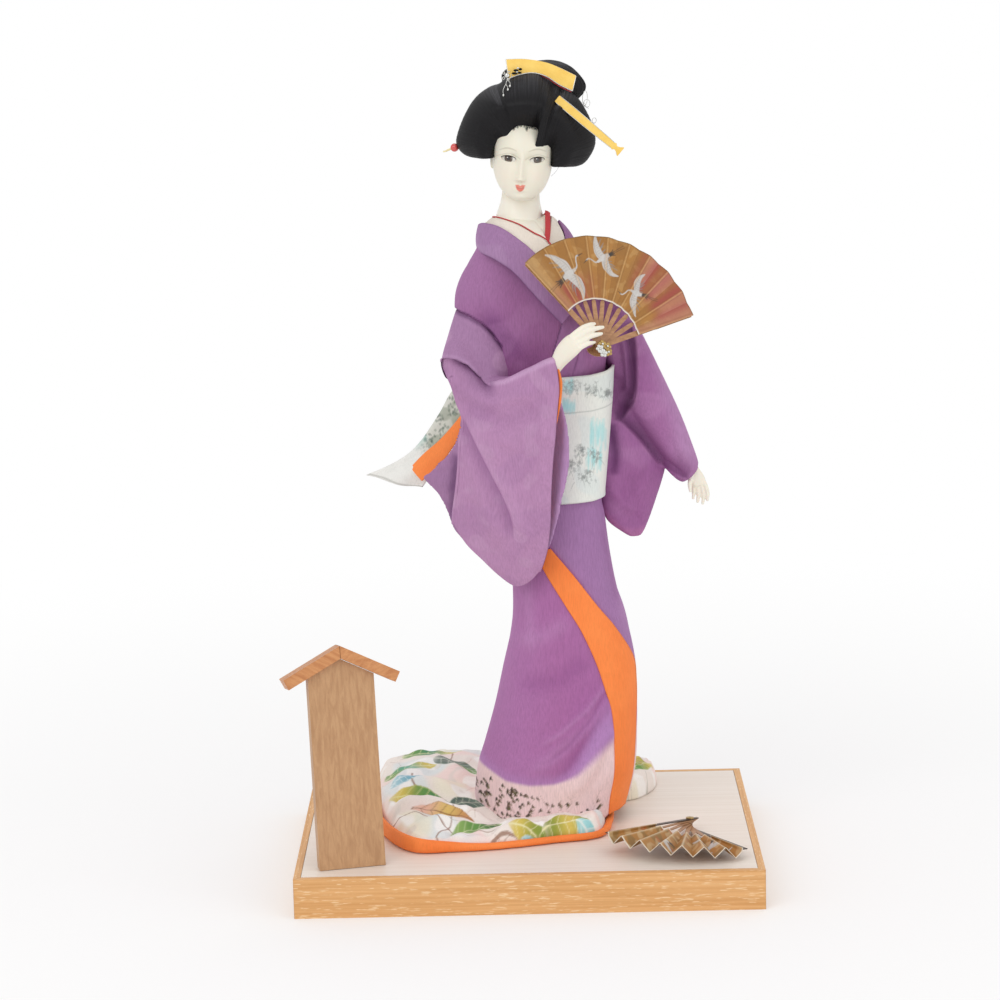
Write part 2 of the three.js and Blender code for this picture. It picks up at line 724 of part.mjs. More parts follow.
function hemRollForm(grow) {
  const centre = (t) => {
    const [x, y] = trainEdge(HEM.rollFrom + (HEM.rollTo - HEM.rollFrom) * t, HEM.roll);
    return vec(x, y, HEM.roll + CLEAR);
  };
  const rings = steps(26).map((t) => {
    const ahead = centre(Math.min(t + 0.005, 1)).sub(centre(Math.max(t - 0.005, 0))).normalize();
    const across = vec(-ahead.y, ahead.x, 0);
    return turns(6).map((s) =>
      centre(t)
        .addScaledVector(across, (HEM.roll + grow) * Math.cos(s))
        .add(vec(0, 0, (HEM.roll + grow) * Math.sin(s))),
    );
  });
  return loft(rings);
}

function buildHem() {
  const skirt = bodyForm(-1, WAIST - 20, CLEAR);
  const strip = stripForm(CLEAR);
  const roll = hemRollForm(CLEAR);
  const ground = new THREE.BoxGeometry(BASE.width, BASE.depth, BASE.height);
  ground.translate(0, 0, CLEAR - BASE.height / 2);
  const lining = join(stripForm(0), hemRollForm(0));
  add("hem_train", cut(trainForm(0), skirt, strip, roll), "print", doll);
  add("skirt_lining", cut(lining, skirt, ground, sleeveForm(RIGHT_SLEEVE, CLEAR)), "orange", doll);
}

// Folding fans. Each lies in its own frame: the rivet is the Z axis, the front is +Z, and stick 0, the
// guard that stays put, is on top of the stack. Every stick turns in its own layer.
const layer = (fan, k) => ((fan.sticks - 1) / 2 - k) * STICK.pitch;
const stickAngle = (fan, k) => rad(fan.first + (fan.way * fan.spread * k) / (fan.sticks - 1));

function stick(fan, k) {
  const guard = k === 0 || k === fan.sticks - 1;
  const tip = (guard ? STICK.guardTip : STICK.slim) / 2;
  const root = STICK.root / 2;
  const neck = guard ? fan.radius * 0.6 : fan.inner - 1;
  const outline = new THREE.Shape();
  outline.moveTo(-STICK.stub, -root * 0.7);
  outline.lineTo(0, -root);
  outline.lineTo(neck, guard ? -tip * 0.9 : -root * 0.75);
  outline.lineTo(neck + 1, -tip);
  outline.lineTo(fan.radius - 1, -tip);
  outline.lineTo(fan.radius - 1, tip);
  outline.lineTo(neck + 1, tip);
  outline.lineTo(neck, guard ? tip * 0.9 : root * 0.75);
  outline.lineTo(0, root);
  outline.lineTo(-STICK.stub, root * 0.7);
  outline.closePath();
  const hole = new THREE.Path();
  hole.absarc(0, 0, RIVET.radius + CLEAR, 0, 2 * Math.PI, true);
  outline.holes.push(hole);
  const settings = { depth: STICK.thick, bevelEnabled: false, curveSegments: 4 };
  const plate = new THREE.ExtrudeGeometry(outline, settings);
  return plate.translate(0, 0, -STICK.thick / 2);
}

// The leaf runs over every stick in a crest and dips between them in a valley that deepens outwards.
function leaf(fan) {
  const last = 2 * (fan.sticks - 1);
  const point = (t, s) => {
    const k = (t * last) / 2;
    const dip = 1 - Math.abs(1 - 2 * (k - Math.floor(k + 1e-9)));
    const radius = fan.inner + (fan.radius - fan.inner) * s;
    const beside = (STICK.guardTip / 2 + CLEAR) / radius;
    const end = k < 0.01 ? beside : k > fan.sticks - 1.01 ? -beside : 0;
    const angle = stickAngle(fan, k) + fan.way * end;
    const height = layer(fan, k) + STICK.thick / 2 + LEAF.lift - (fan.crease * dip * radius) / fan.radius;
    return vec(radius * Math.cos(angle), radius * Math.sin(angle), height);
  };
  return slab(last, 2, point, LEAF.thick);
}

function rivet(fan) {
  const stack = layer(fan, 0) + STICK.thick / 2 + CLEAR;
  const profile = [
    [0, -stack - RIVET.cap],
    [RIVET.head, -stack - RIVET.cap * 0.6],
    [RIVET.head, -stack],
    [RIVET.radius, -stack],
    [RIVET.radius, stack],
    [RIVET.head, stack],
    [RIVET.head, stack + RIVET.cap * 0.6],
    [0, stack + RIVET.cap],
  ];
  return new THREE.LatheGeometry(profile.map(([r, z]) => new THREE.Vector2(r, z)), 12).rotateX(Math.PI / 2);
}

// A cluster of small metal blossoms that hangs at the rivet.
function rivetOrnament(fan) {
  const front = layer(fan, 0) + STICK.thick / 2 + CLEAR;
  const ball = 2.3;
  const places = [[-0.2, 0.2], [-2.9, -1.8], [2.2, -2], [-1.8, -4.9], [1.6, -5.2]];
  const blossoms = places.map(([x, y], i) =>
    new THREE.IcosahedronGeometry(ball, 0).translate(x, y, front + ball + (i % 2) * 0.8),
  );
  return join(rivet(fan), ...blossoms);
}

function buildFan(name, fan, group, pin) {
  for (let k = 0; k < fan.sticks; k++) {
    const last = k === fan.sticks - 1;
    const mesh = k === 0 ? "guard_left" : last ? "guard_right" : "rib_" + k;
    const turned = new THREE.Group();
    turned.rotation.z = stickAngle(fan, k);
    turned.position.z = layer(fan, k);
    group.add(turned);
    add(name + "_" + mesh, stick(fan, k), "bamboo", turned);
  }
  add(name + "_leaf", leaf(fan), "leaf", group);
  add(name + "_rivet", pin, "brass", group);
}

const handFan = { ...HAND_FAN, first: HAND_FAN.spread, way: -1 };
const tableFan = { ...TABLE_FAN, first: 0, way: 1 };

const handFanGroup = new THREE.Group();
handFanGroup.position.set(...HELD.place);
handFanGroup.rotation.set(...HELD.turned.map(rad));
handFanGroup.updateMatrix();
doll.add(handFanGroup);

// The second fan lies on the base on its rivet and on the low edges of its leaf.
function tableFanGroup() {
  const group = new THREE.Group();
  const below = STICK.thick / 2 + STICK.stub * Math.sin(rad(LAID.rise));
  const lowest = below - layer(tableFan, tableFan.sticks - 1);
  const [x, y] = [BASE.width / 2 - LAID.fromRight, LAID.fromFront - BASE.depth / 2];
  group.position.set(x, y, lowest + RIVET.cap + 2 * CLEAR);
  const middle = rad(LAID.turned + TABLE_FAN.spread / 2);
  const axis = vec(-Math.sin(middle), Math.cos(middle), 0);
  const lift = new THREE.Quaternion().setFromAxisAngle(axis, -rad(LAID.rise));
  group.quaternion.setFromAxisAngle(vec(0, 0, 1), rad(LAID.turned)).premultiply(lift);
  return group;
}

// Hands. The right hand is made in the fan's frame: the fingers lie before the sticks and the thumb behind,
// so the fan can close between them.
const RIGHT_PALM = [
  [-24.3, -3.6, -20.2, 4, 4],
  [-21.5, -0.5, -14.5, 4.6, 3.4],
  [-19, 3, -7, 6.2, 3.6],
  [-16.2, 5.2, 0.5, 6.6, 3.4],
  [-13.2, 6.2, 6.2, 5.6, 2.2],
];
const RIGHT_FINGERS = [
  [[-14, 10, 4.6, 2, 2], [-8.5, 12.6, 6.4, 1.8, 1.8], [-1, 12.6, 5.3, 1.1, 1.1]],
  [[-14, 7.4, 5.2, 2, 2], [-6.5, 9.8, 6.6, 1.8, 1.8], [3.4, 9.2, 5.3, 1.1, 1.1]],
  [[-14, 4.6, 5.2, 2, 2], [-7, 6.4, 6.6, 1.8, 1.8], [1.2, 6, 5.3, 1.1, 1.1]],
  [[-14, 2.2, 4.6, 1.8, 1.8], [-9.5, 3, 6.4, 1.6, 1.6], [-4.6, 2.6, 5.2, 1, 1]],
  [[-19, 1.5, -6, 2.6, 2.6], [-12, 2, -7.6, 2.2, 2.2], [-4.5, 5.5, -5.5, 1.3, 1.3]],
];
const LEFT_PALM = [
  [97.8, 23.6, 211, 3.2, 3],
  [99.6, 24, 206, 3.6, 2.8],
  [102, 24.4, 200, 5, 2.6],
  [103.8, 24.6, 195, 4.6, 2],
];
const LEFT_FINGERS = [
  [[106.6, 24.4, 196.5, 1.8, 1.8], [108.4, 23.6, 192, 1.5, 1.5], [108.2, 22.6, 187, 0.9, 0.9]],
  [[104.6, 24.6, 196, 1.8, 1.8], [106, 24, 190, 1.5, 1.5], [105.4, 22.8, 185, 0.9, 0.9]],
  [[102.4, 24.8, 196, 1.8, 1.8], [103, 24.4, 190, 1.5, 1.5], [102.4, 23.4, 186, 0.9, 0.9]],
  [[100.4, 24.8, 197, 1.7, 1.7], [100.2, 24.6, 191.5, 1.4, 1.4], [99.8, 24, 188, 0.9, 0.9]],
  [[99, 23.4, 203, 1.9, 1.9], [97.6, 21, 198, 1.6, 1.6], [98, 20, 193, 1, 1]],
];

function hand(palm, fingers, side) {
  return join(
    limb(palm, { side, sides: 8, count: 6 }),
    ...fingers.map((rows) => limb(rows, { side, sides: 6, count: 3 })),
  );
}

// Room for each hand in its cuff, in the doll's frame.
function rightHandRoom() {
  const room = limb(RIGHT_PALM, { side: vec(0, 1, 0), sides: 8, count: 6, grow: CLEAR });
  return room.applyMatrix4(handFanGroup.matrix);
}

function leftHandRoom() {
  const thumb = LEFT_FINGERS[LEFT_FINGERS.length - 1];
  const thumbRoom = limb(thumb, { sides: 6, count: 3, grow: 2 * CLEAR });
  return join(limb(LEFT_PALM, { sides: 8, count: 6, grow: CLEAR }), thumbRoom);
}

function buildHands() {
  const right = hand(RIGHT_PALM, RIGHT_FINGERS, vec(0, 1, 0)).applyMatrix4(handFanGroup.matrix);
  const left = hand(LEFT_PALM, LEFT_FINGERS, vec(1, 0, 0));
  add("right_hand", cut(right, limb(RIGHT_ARM, { grow: CLEAR })), "skin", doll);
  add("left_hand", cut(left, limb(LEFT_ARM, { grow: CLEAR })), "skin", doll);
}

// The head, in its own frame: rows of [height, x, y, half width, half depth] from the chin to the crown.
function headRows() {
  const { jaw, height, halfWidth: w, halfDepth: d, lean } = HEAD;
  return [
    [0, 0.3, -0.5, 0.3, 0.3],
    [0.05, 0.3, -0.42, 0.52, 0.5],
    [0.16, 0.3, -0.28, 0.78, 0.72],
    [0.32, 0.2, -0.12, 0.95, 0.9],
    [0.52, 0, 0, 1, 1],
    [0.72, 0, 0.06, 0.96, 0.98],
    [0.88, 0, 0.1, 0.76, 0.8],
    [0.97, 0, 0.1, 0.42, 0.46],
    [1, 0, 0.1, 0.1, 0.1],
  ].map(([t, x, y, a, b]) => [jaw + height * t, x, lean + d * y, w * a, d * b]);
}

function headForm(grow) {
  const rows = headRows();
  const rings = steps(12).map((t) => {
    const [z, x, y, a, b] = along(rows, t);
    return oval([z, x, y, a + grow, b + grow], { power: 2.1 });
  });
  rings[0].forEach((p) => (p.z -= grow));
  rings[12].forEach((p) => (p.z += grow));
  return loft(rings);
}

// Each roll of hair is a fat limb; each is cut back by the head and by the rolls before it.
const ALONG_X = vec(0, 1, 0);
const HAIR = {
  hair_front_roll: [
    [-18, -12, 60, 7, 7], [-9, -15, 66, 11, 13], [1, -17, 67, 12.5, 14.5], [11, -15, 65, 11, 13],
    [20, -12, 58, 7, 7],
  ],
  hair_wing_right: [
    [-6, -1, 56, 20, 18], [-20, -2, 53, 22, 18], [-31, -2, 49, 19, 14], [-37.5, -1, 46.5, 8, 7],
  ],
  hair_wing_left: [
    [6, -1, 56, 20, 18], [21, -2, 51, 22, 19], [34, -2, 46, 19, 15], [42, -1, 44.5, 8, 7],
  ],
  hair_back_roll: [
    [-17, 14, 42, 8, 12], [-9, 19, 39, 11, 16], [2, 21, 38, 12, 17], [12, 19, 39, 11, 16],
    [19, 14, 42, 8, 12],
  ],
  hair_topknot: [
    [-6, 2, 74, 12, 6], [3, 3, 77, 17, 11], [14, 4, 79, 19, 13], [25, 4, 76, 17, 12], [34, 3, 70, 9, 6],
  ],
};
const COMB = { x: 9, y: -15, z: 46, arch: 43, high: 10, thick: 1.6, from: 60, to: 117, back: 0.22 };
const BAR = { thick: 1.6, tip: 4.2, from: [15, -19, 74], to: [57, -21, 41] };
const BEAD = { radius: 2.4, at: [-39, -12, 39], pin: 0.7, reach: 6 };
const SPRAY = { boss: 2.4, at: [-11.5, -20.5, 84], spread: [-3.4, -1.8, 0, 1.8, 3.4], fall: 11, forward: 6 };

function hairRoll(name, grow) {
  return limb(HAIR[name], { side: ALONG_X, grow, sides: 12, count: 7 });
}

// An arched band stood on its long edge, leaning back over the topknot.
function combForm(grow) {
  const point = (t, s) => {
    const angle = rad(COMB.to + (COMB.from - COMB.to) * t);
    const radius = COMB.arch - COMB.high * s;
    const leaning = COMB.back * COMB.high * (1 - s);
    return vec(COMB.x + radius * Math.cos(angle), COMB.y + leaning, COMB.z + radius * Math.sin(angle));
  };
  return slab(12, 1, point, COMB.thick + 2 * grow);
}

function barForm(grow) {
  const [a, b] = [vec(...BAR.from), vec(...BAR.to)];
  const at = (t) => a.clone().lerp(b, t).toArray();
  const flat = BAR.thick / 2;
  const rows = [
    [...at(0), 2.6, flat],
    [...at(0.45), 2.4, flat],
    [...at(0.86), 2.2, flat],
    [...at(0.93), BAR.tip, flat],
    [...at(1), BAR.tip * 0.8, flat],
  ];
  return limb(rows, { side: vec(0.6, 0, 0.8), grow, sides: 8, count: 12 });
}

function beadPin() {
  const [x, y, z] = BEAD.at;
  const bead = new THREE.IcosahedronGeometry(BEAD.radius, 1).translate(x, y, z);
  const rows = [[-BEAD.reach, 0, -2], [0, 0, 0], [9, 3, 4]].map(([dx, dy, dz]) => [
    x + dx, y + dy, z + dz, BEAD.pin, BEAD.pin,
  ]);
  return join(bead, limb(rows, { side: ALONG_X, sides: 6 }));
}

// A silver wire spray on the comb's left end: a boss and five short drops.
function silverOrnament() {
  const [x, y, z] = SPRAY.at;
  const boss = new THREE.IcosahedronGeometry(SPRAY.boss, 1).translate(x, y, z);
  const drops = SPRAY.spread.map((aside, i) => {
    const rows = [
      [x, y, z, 0.7, 0.7],
      [x + aside, y - SPRAY.forward / 2, z - 4, 0.6, 0.6],
      [x + 1.3 * aside, y - SPRAY.forward, z - SPRAY.fall - (i % 2) * 2.5, 0.5, 0.5],
    ];
    return limb(rows, { sides: 4, count: 2 });
  });
  return join(boss, ...drops);
}

function buildHead() {
  add("head", join(headForm(0), neckForm(0)), "skin", headGroup);
  const done = [headForm(CLEAR), neckForm(CLEAR)];
  for (const name of Object.keys(HAIR)) {
    add(name, cut(hairRoll(name, 0), ...done), "hair", headGroup);
    done.push(hairRoll(name, CLEAR));
  }
  add("comb", cut(combForm(0), ...done), "gilt", headGroup);
  add("hair_bar", cut(barForm(0), ...done, combForm(CLEAR)), "gilt", headGroup);
  add("bead_pin", cut(beadPin(), ...done), "coral", headGroup);
  add("silver_ornament", cut(silverOrnament(), ...done, combForm(CLEAR)), "silver", headGroup);
}

// The name board: a leaning board with a foot behind it, under a small roof of two strips.
function buildBoard() {
  const group = new THREE.Group();
  group.position.set(BOARD_PLACE.fromLeft - BASE.width / 2, BOARD_PLACE.fromFront - BASE.depth / 2, CLEAR);
  group.rotation.z = rad(BOARD.yaw);
  doll.add(group);

  const slope = Math.tan(rad(BOARD.pitch));
  const half = BOARD.width / 2;
  const lean = new THREE.Matrix4().makeRotationX(-rad(BOARD.lean));
  const upright = (shape, depth) => {
    const solid = new THREE.ExtrudeGeometry(shape, { depth, bevelEnabled: false });
    return solid.rotateX(Math.PI / 2).translate(0, depth, 0);
  };

  const face = new THREE.Shape();
  face.moveTo(-half, -BOARD.thick);
  face.lineTo(half, -BOARD.thick);
  face.lineTo(half, BOARD.apex - half * slope);
  face.lineTo(0, BOARD.apex);
  face.lineTo(-half, BOARD.apex - half * slope);
  face.closePath();
  const board = upright(face, BOARD.thick).applyMatrix4(lean);
  const foot = new THREE.BoxGeometry(BOARD.width * 0.6, BOARD.foot, BOARD.foot / 2).translate(
    0,
    BOARD.thick / 2 + BOARD.foot / 2,
    BOARD.foot / 4,
  );
  const ground = new THREE.BoxGeometry(200, 200, 40).translate(0, 0, -20);
  add("board_panel", cut(join(board, foot), ground), "cedar", group);

  const strip = (side, from) => {
    const shape = new THREE.Shape();
    const run = ROOF.length * Math.cos(rad(BOARD.pitch));
    const rise = ROOF.thick / Math.cos(rad(BOARD.pitch));
    const at = (x) => BOARD.apex + CLEAR * 1.2 - Math.abs(x) * slope;
    shape.moveTo(side * from, at(from));
    shape.lineTo(side * run, at(run));
    const [over, up] = [ROOF.thick * Math.sin(rad(BOARD.pitch)), ROOF.thick * Math.cos(rad(BOARD.pitch))];
    shape.lineTo(side * (run + over), at(run) + up);
    shape.lineTo(side * from, at(from) + rise);
    shape.closePath();
    const inset = (ROOF.depth - BOARD.thick) / 2;
    return upright(shape, ROOF.depth).translate(0, -inset, 0).applyMatrix4(lean);
  };
  add("board_roof_left", cut(strip(1, 0)), "cedar", group);
  add("board_roof_right", cut(strip(-1, CLEAR)), "cedar", group);
}

buildBase();
buildBody();
const collarRooms = buildCollars();
buildSleeves(collarRooms);
buildObi();
buildHem();
buildHands();
buildHead();
buildFan("hand_fan", handFan, handFanGroup, rivetOrnament(handFan));
const lyingFan = tableFanGroup();
doll.add(lyingFan);
buildFan("table_fan", tableFan, lyingFan, rivet(tableFan));
buildBoard();

const footprint = new THREE.Box3().setFromObject(model, true);
model.position.x = -(footprint.min.x + footprint.max.x) / 2;

export default part;
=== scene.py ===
# A geisha doll on a wooden base, with a name board and a second folding fan.
# Sizes and places are millimetres in the doll's own frame: the middle of the base's top, +Z up, facing -Y.
# Right and left in the names are the doll's own.
import math

import bmesh
import bpy
import numpy as np
from mathutils import Matrix, Vector

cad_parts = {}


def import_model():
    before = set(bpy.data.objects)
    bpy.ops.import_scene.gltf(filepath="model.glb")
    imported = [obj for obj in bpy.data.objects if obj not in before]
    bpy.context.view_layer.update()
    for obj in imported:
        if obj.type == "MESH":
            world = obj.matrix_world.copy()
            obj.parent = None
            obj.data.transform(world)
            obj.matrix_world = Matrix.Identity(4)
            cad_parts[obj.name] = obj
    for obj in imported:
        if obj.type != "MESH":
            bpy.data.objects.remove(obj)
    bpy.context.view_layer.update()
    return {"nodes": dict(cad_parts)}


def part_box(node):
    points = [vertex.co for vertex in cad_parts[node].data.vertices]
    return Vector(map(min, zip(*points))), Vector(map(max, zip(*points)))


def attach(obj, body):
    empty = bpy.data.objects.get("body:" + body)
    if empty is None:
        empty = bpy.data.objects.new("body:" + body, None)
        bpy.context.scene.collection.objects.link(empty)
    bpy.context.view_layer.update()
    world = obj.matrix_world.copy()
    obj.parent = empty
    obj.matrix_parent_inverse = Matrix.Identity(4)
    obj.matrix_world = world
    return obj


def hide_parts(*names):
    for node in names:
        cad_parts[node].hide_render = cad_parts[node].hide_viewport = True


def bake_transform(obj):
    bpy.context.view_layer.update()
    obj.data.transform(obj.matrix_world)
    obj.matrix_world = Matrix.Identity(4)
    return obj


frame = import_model()

MM = 0.001
ROOT = "doll_and_base"
front_rail, top_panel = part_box("base_front_rail"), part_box("base_top_panel")
ORIGIN = np.array([
    (front_rail[0].x + front_rail[1].x) / 2,
    (top_panel[0].y + top_panel[1].y) / 2,
    top_panel[1].z,
])
BASE_HEIGHT = ORIGIN[2] / MM


def world(points):
    return np.asarray(points, float) * MM + ORIGIN


# Colours

def linear(colour):
    """A colour written as sRGB hex, as linear light."""
    value = np.array([int(colour[i : i + 2], 16) for i in (0, 2, 4)]) / 255
    return np.where(value <= 0.04045, value / 12.92, ((value + 0.055) / 1.055) ** 2.4)


PURPLE = "93599a"
LILAC = "b088b6"
ORANGE = "ff8f49"
SKIN = "f1ecdd"
HAIR = "0b0a0d"
GOLD_PAPER = "b07c3c"


# Curves and grids

def along(rows, share):
    """Rows of numbers, taken smoothly at shares of the way through their list."""
    rows = np.asarray(rows, float)
    at = np.clip(np.atleast_1d(share), 0, 1) * (len(rows) - 1)
    i = np.minimum(np.floor(at).astype(int), len(rows) - 2)
    f = (at - i)[:, None]
    a, b, c, d = (rows[np.clip(i + k, 0, len(rows) - 1)] for k in (-1, 0, 1, 2))
    return 0.5 * (
        2 * b + (c - a) * f + (2 * a - 5 * b + 4 * c - d) * f**2 + (3 * b - a - 3 * c + d) * f**3
    )


def sampled(rows, count):
    """A count of rows, taken smoothly at even shares."""
    return along(rows, np.linspace(0, 1, count))


def circle(count):
    """Angles evenly round a circle."""
    return np.arange(count) * 2 * math.pi / count


def smooth(value, low=0.0, high=1.0):
    """From 0 at low to 1 at high, with soft ends."""
    t = np.clip((np.asarray(value, float) - low) / (high - low), 0, 1)
    return t * t * (3 - 2 * t)


def fall(value, low, high):
    """From 1 at low to 0 at high, with soft ends."""
    return smooth(-value, -high, -low)


def bell(value, width):
    """1 at 0, and next to nothing from twice the width on."""
    return np.exp(-((value / width) ** 2))


def unit(vectors):
    return vectors / np.maximum(np.linalg.norm(vectors, axis=-1, keepdims=True), 1e-9)


def bulge(value, power):
    return np.sign(value) * np.abs(value) ** (2 / power)


def ripple(uv, scale, seed, count=14):
    """A smooth random field of about -1 to 1 over points (u, v), with features of about that scale."""
    draw = np.random.default_rng(seed)
    total = np.zeros(len(uv))
    for _ in range(count):
        angle, phase, stretch = draw.uniform(0, 2 * math.pi), draw.uniform(0, 7), draw.uniform(0.6, 1.7)
        wave = (uv @ [math.cos(angle), math.sin(angle)]) * (2 * math.pi * stretch / scale)
        total += np.sin(wave + phase)
    return total / math.sqrt(count)


def near(points, path):
    """For each point its distance to a path, the share of the path there, and the side.

    The side is 1 on the right of a path that runs down, and -1 on its left.
    """
    path = np.asarray(path, float)
    lengths = np.linalg.norm(np.diff(path, axis=0), axis=1)
    starts = np.concatenate([[0], np.cumsum(lengths)])
    best, share, side = np.full(len(points), 1e9), np.zeros(len(points)), np.ones(len(points))
    for a, b, length, start in zip(path[:-1], path[1:], lengths, starts):
        t = np.clip((points - a) @ (b - a) / max(length**2, 1e-12), 0, 1)
        distance = np.linalg.norm(points - a - t[:, None] * (b - a), axis=1)
        closer = distance < best
        best[closer] = distance[closer]
        share[closer] = (start + t[closer] * length) / starts[-1]
        turned = (b - a)[0] * (points[closer] - a)[:, 1] - (b - a)[1] * (points[closer] - a)[:, 0]
        side[closer] = np.where(turned < 0, -1, 1)
    return best, share, side


def crease(points, path, width, fade=0.25):
    """How much a fold along the path lifts each point, from 0 to 1. It fades out at both ends."""
    distance, share, _ = near(points, path)
    return bell(distance, width) * smooth(share, 0, fade) * smooth(1 - share, 0, fade)


def ledge(points, path, reach, fade=0.2, soft=0.6):
    """A sharp fold beside a path: 1 close on its right, -1 close on its left, fading over the reach."""
    distance, share, side = near(points, sampled(path, 6 * len(path)))
    ends = smooth(share, 0, fade) * smooth(1 - share, 0, fade)
    return side * np.clip(distance / soft, 0, 1) * bell(distance, reach) * ends


def grid_faces(rows, columns, ring=False):
    """Quads of a grid of points. A ring grid closes along its columns."""
    i, j = np.meshgrid(np.arange(rows - 1), np.arange(columns - (0 if ring else 1)), indexing="ij")
    k = (j + 1) % columns
    quads = np.stack(
        [i * columns + j, i * columns + k, (i + 1) * columns + k, (i + 1) * columns + j], axis=-1
    )
    return quads.reshape(-1, 4).tolist()


def closed(grid):
    """The points and faces of a tube given as rings, with both ends capped."""
    rows, columns = grid.shape[:2]
    points = np.concatenate([grid.reshape(-1, 3), [grid[0].mean(0)], [grid[-1].mean(0)]])
    faces = grid_faces(rows, columns, ring=True)
    for first, middle, turn in ((0, rows * columns, 1), ((rows - 1) * columns, rows * columns + 1, -1)):
        for j in range(columns):
            faces.append([middle, *[first + j, first + (j + 1) % columns][:: -turn]])
    return points, faces


def tube(rows, side=(1, 0, 0), count=24, sides=24, power=2.0):
    """Oval rings along rows of [x, y, z, half width, half height]."""
    t = np.linspace(0, 1, count + 1)
    values = along(rows, t)
    forward = unit(along(rows, t + 0.01)[:, :3] - along(rows, t - 0.01)[:, :3])
    across = np.asarray(side, float) - forward * (forward @ np.asarray(side, float))[:, None]
    across = unit(across)
    up = np.cross(forward, across)
    s = circle(sides)
    a, b = values[:, 3:4], values[:, 4:5]
    return (
        values[:, None, :3]
        + across[:, None] * (a * bulge(np.cos(s), power))[..., None]
        + up[:, None] * (b * bulge(np.sin(s), power))[..., None]
    )


def ball_rings(rows, sides, gap):
    """A ball of radius 1 as rings round Z, left open by the gap, an angle, at both poles."""
    s = circle(sides)
    t = np.linspace(gap, math.pi - gap, rows)[:, None]
    return np.stack([np.sin(t) * np.cos(s), np.sin(t) * np.sin(s), np.cos(t) + 0 * s], axis=-1)


def closed_ball(centre, radius):
    return closed(ball_rings(10, 16, 0.1) * radius + centre)


def joined(forms):
    """The points and faces of several forms as one."""
    points, faces, start = [], [], 0
    for form_points, form_faces in forms:
        points.append(form_points)
        faces += [[start + k for k in face] for face in form_faces]
        start += len(form_points)
    return np.concatenate(points), faces


# Meshes

def new_object(name, points, faces):
    """A smooth mesh object from points in metres."""
    mesh = bpy.data.meshes.new(name)
    mesh.from_pydata(np.asarray(points).tolist(), [], faces)
    mesh.validate()
    made = bpy.data.objects.new(name, mesh)
    bpy.context.scene.collection.objects.link(made)
    mesh.shade_smooth()
    return made


def face_out(made):
    """Turns a closed mesh's faces outwards."""
    form = bmesh.new()
    form.from_mesh(made.data)
    bmesh.ops.recalc_face_normals(form, faces=form.faces)
    form.to_mesh(made.data)
    form.free()
    return made


def coordinates(made):
    """The points of a mesh object, in millimetres in the doll's frame."""
    co = np.zeros(len(made.data.vertices) * 3, np.float32)
    made.data.vertices.foreach_get("co", co)
    return (co.reshape(-1, 3).astype(float) - ORIGIN) / MM


def front_view(grid):
    """[x, z] of each point of a grid."""
    return grid.reshape(-1, 3)[:, [0, 2]]


def set_coordinates(made, points):
    made.data.vertices.foreach_set("co", world(points).astype(np.float32).ravel())
    made.data.update()


def normals(made):
    found = np.zeros(len(made.data.vertices) * 3, np.float32)
    made.data.vertex_normals.foreach_get("vector", found)
    return found.reshape(-1, 3).astype(float)


def push(made, amount):
    """Moves each point out along its normal by so many millimetres."""
    set_coordinates(made, coordinates(made) + normals(made) * np.asarray(amount)[:, None])


def piece(name, points, faces, material, body=ROOT, replaces=(), slot=None, out=True):
    """One finished piece of the doll, from points in millimetres."""
    made = new_object(name, world(points), faces)
    if out:
        face_out(made)
    return dress(made, material, body, replaces)


def grid_piece(name, grid, material, ring=False, out=False, **more):
    """A piece from a grid of points. A ring grid closes along its columns."""
    faces = grid_faces(*grid.shape[:2], ring)
    return piece(name, grid.reshape(-1, 3), faces, material, out=out, **more)


def dress(made, material, body=ROOT, replaces=()):
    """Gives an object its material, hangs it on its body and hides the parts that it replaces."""
    if not made.data.materials:
        made.data.materials.append(material)
    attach(made, body)
    if replaces:
        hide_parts(*replaces)
    return made


def baked(made, *modifiers):
    """Applies modifiers, each given as (type, settings)."""
    for kind, settings in modifiers:
        modifier = made.modifiers.new(kind.lower(), kind)
        for key, value in settings.items():
            setattr(modifier, key, value)
    shape = bpy.data.meshes.new_from_object(made.evaluated_get(bpy.context.evaluated_depsgraph_get()))
    made.modifiers.clear()
    made.data = shape
    shape.shade_smooth()
    return made


def merged(name, parts, voxel, rounds):
    """One smooth skin round several closed forms."""
    points, faces = joined(parts)
    made = face_out(new_object(name, world(points), faces))
    return baked(
        made,
        ("REMESH", {"mode": "VOXEL", "voxel_size": voxel * MM, "adaptivity": 0}),
        ("SMOOTH", {"factor": 0.5, "iterations": rounds}),
    )


def thicken(made, thickness, offset=-1.0):
    """A thickness in millimetres, inwards at offset -1, to both sides at 0 and outwards at 1."""
    modifier = made.modifiers.new("thickness", "SOLIDIFY")
    modifier.thickness = thickness * MM
    modifier.offset = offset
    return made


def soften(made, width):
    """Rounds the edges of a rigid piece."""
    modifier = made.modifiers.new("edges", "BEVEL")
    modifier.width = width * MM
    modifier.segments = 2
    modifier.limit_method = "ANGLE"
    modifier.angle_limit = math.radians(35)
    modifier.harden_normals = True
    return made


# Painting: colours on a mesh's points

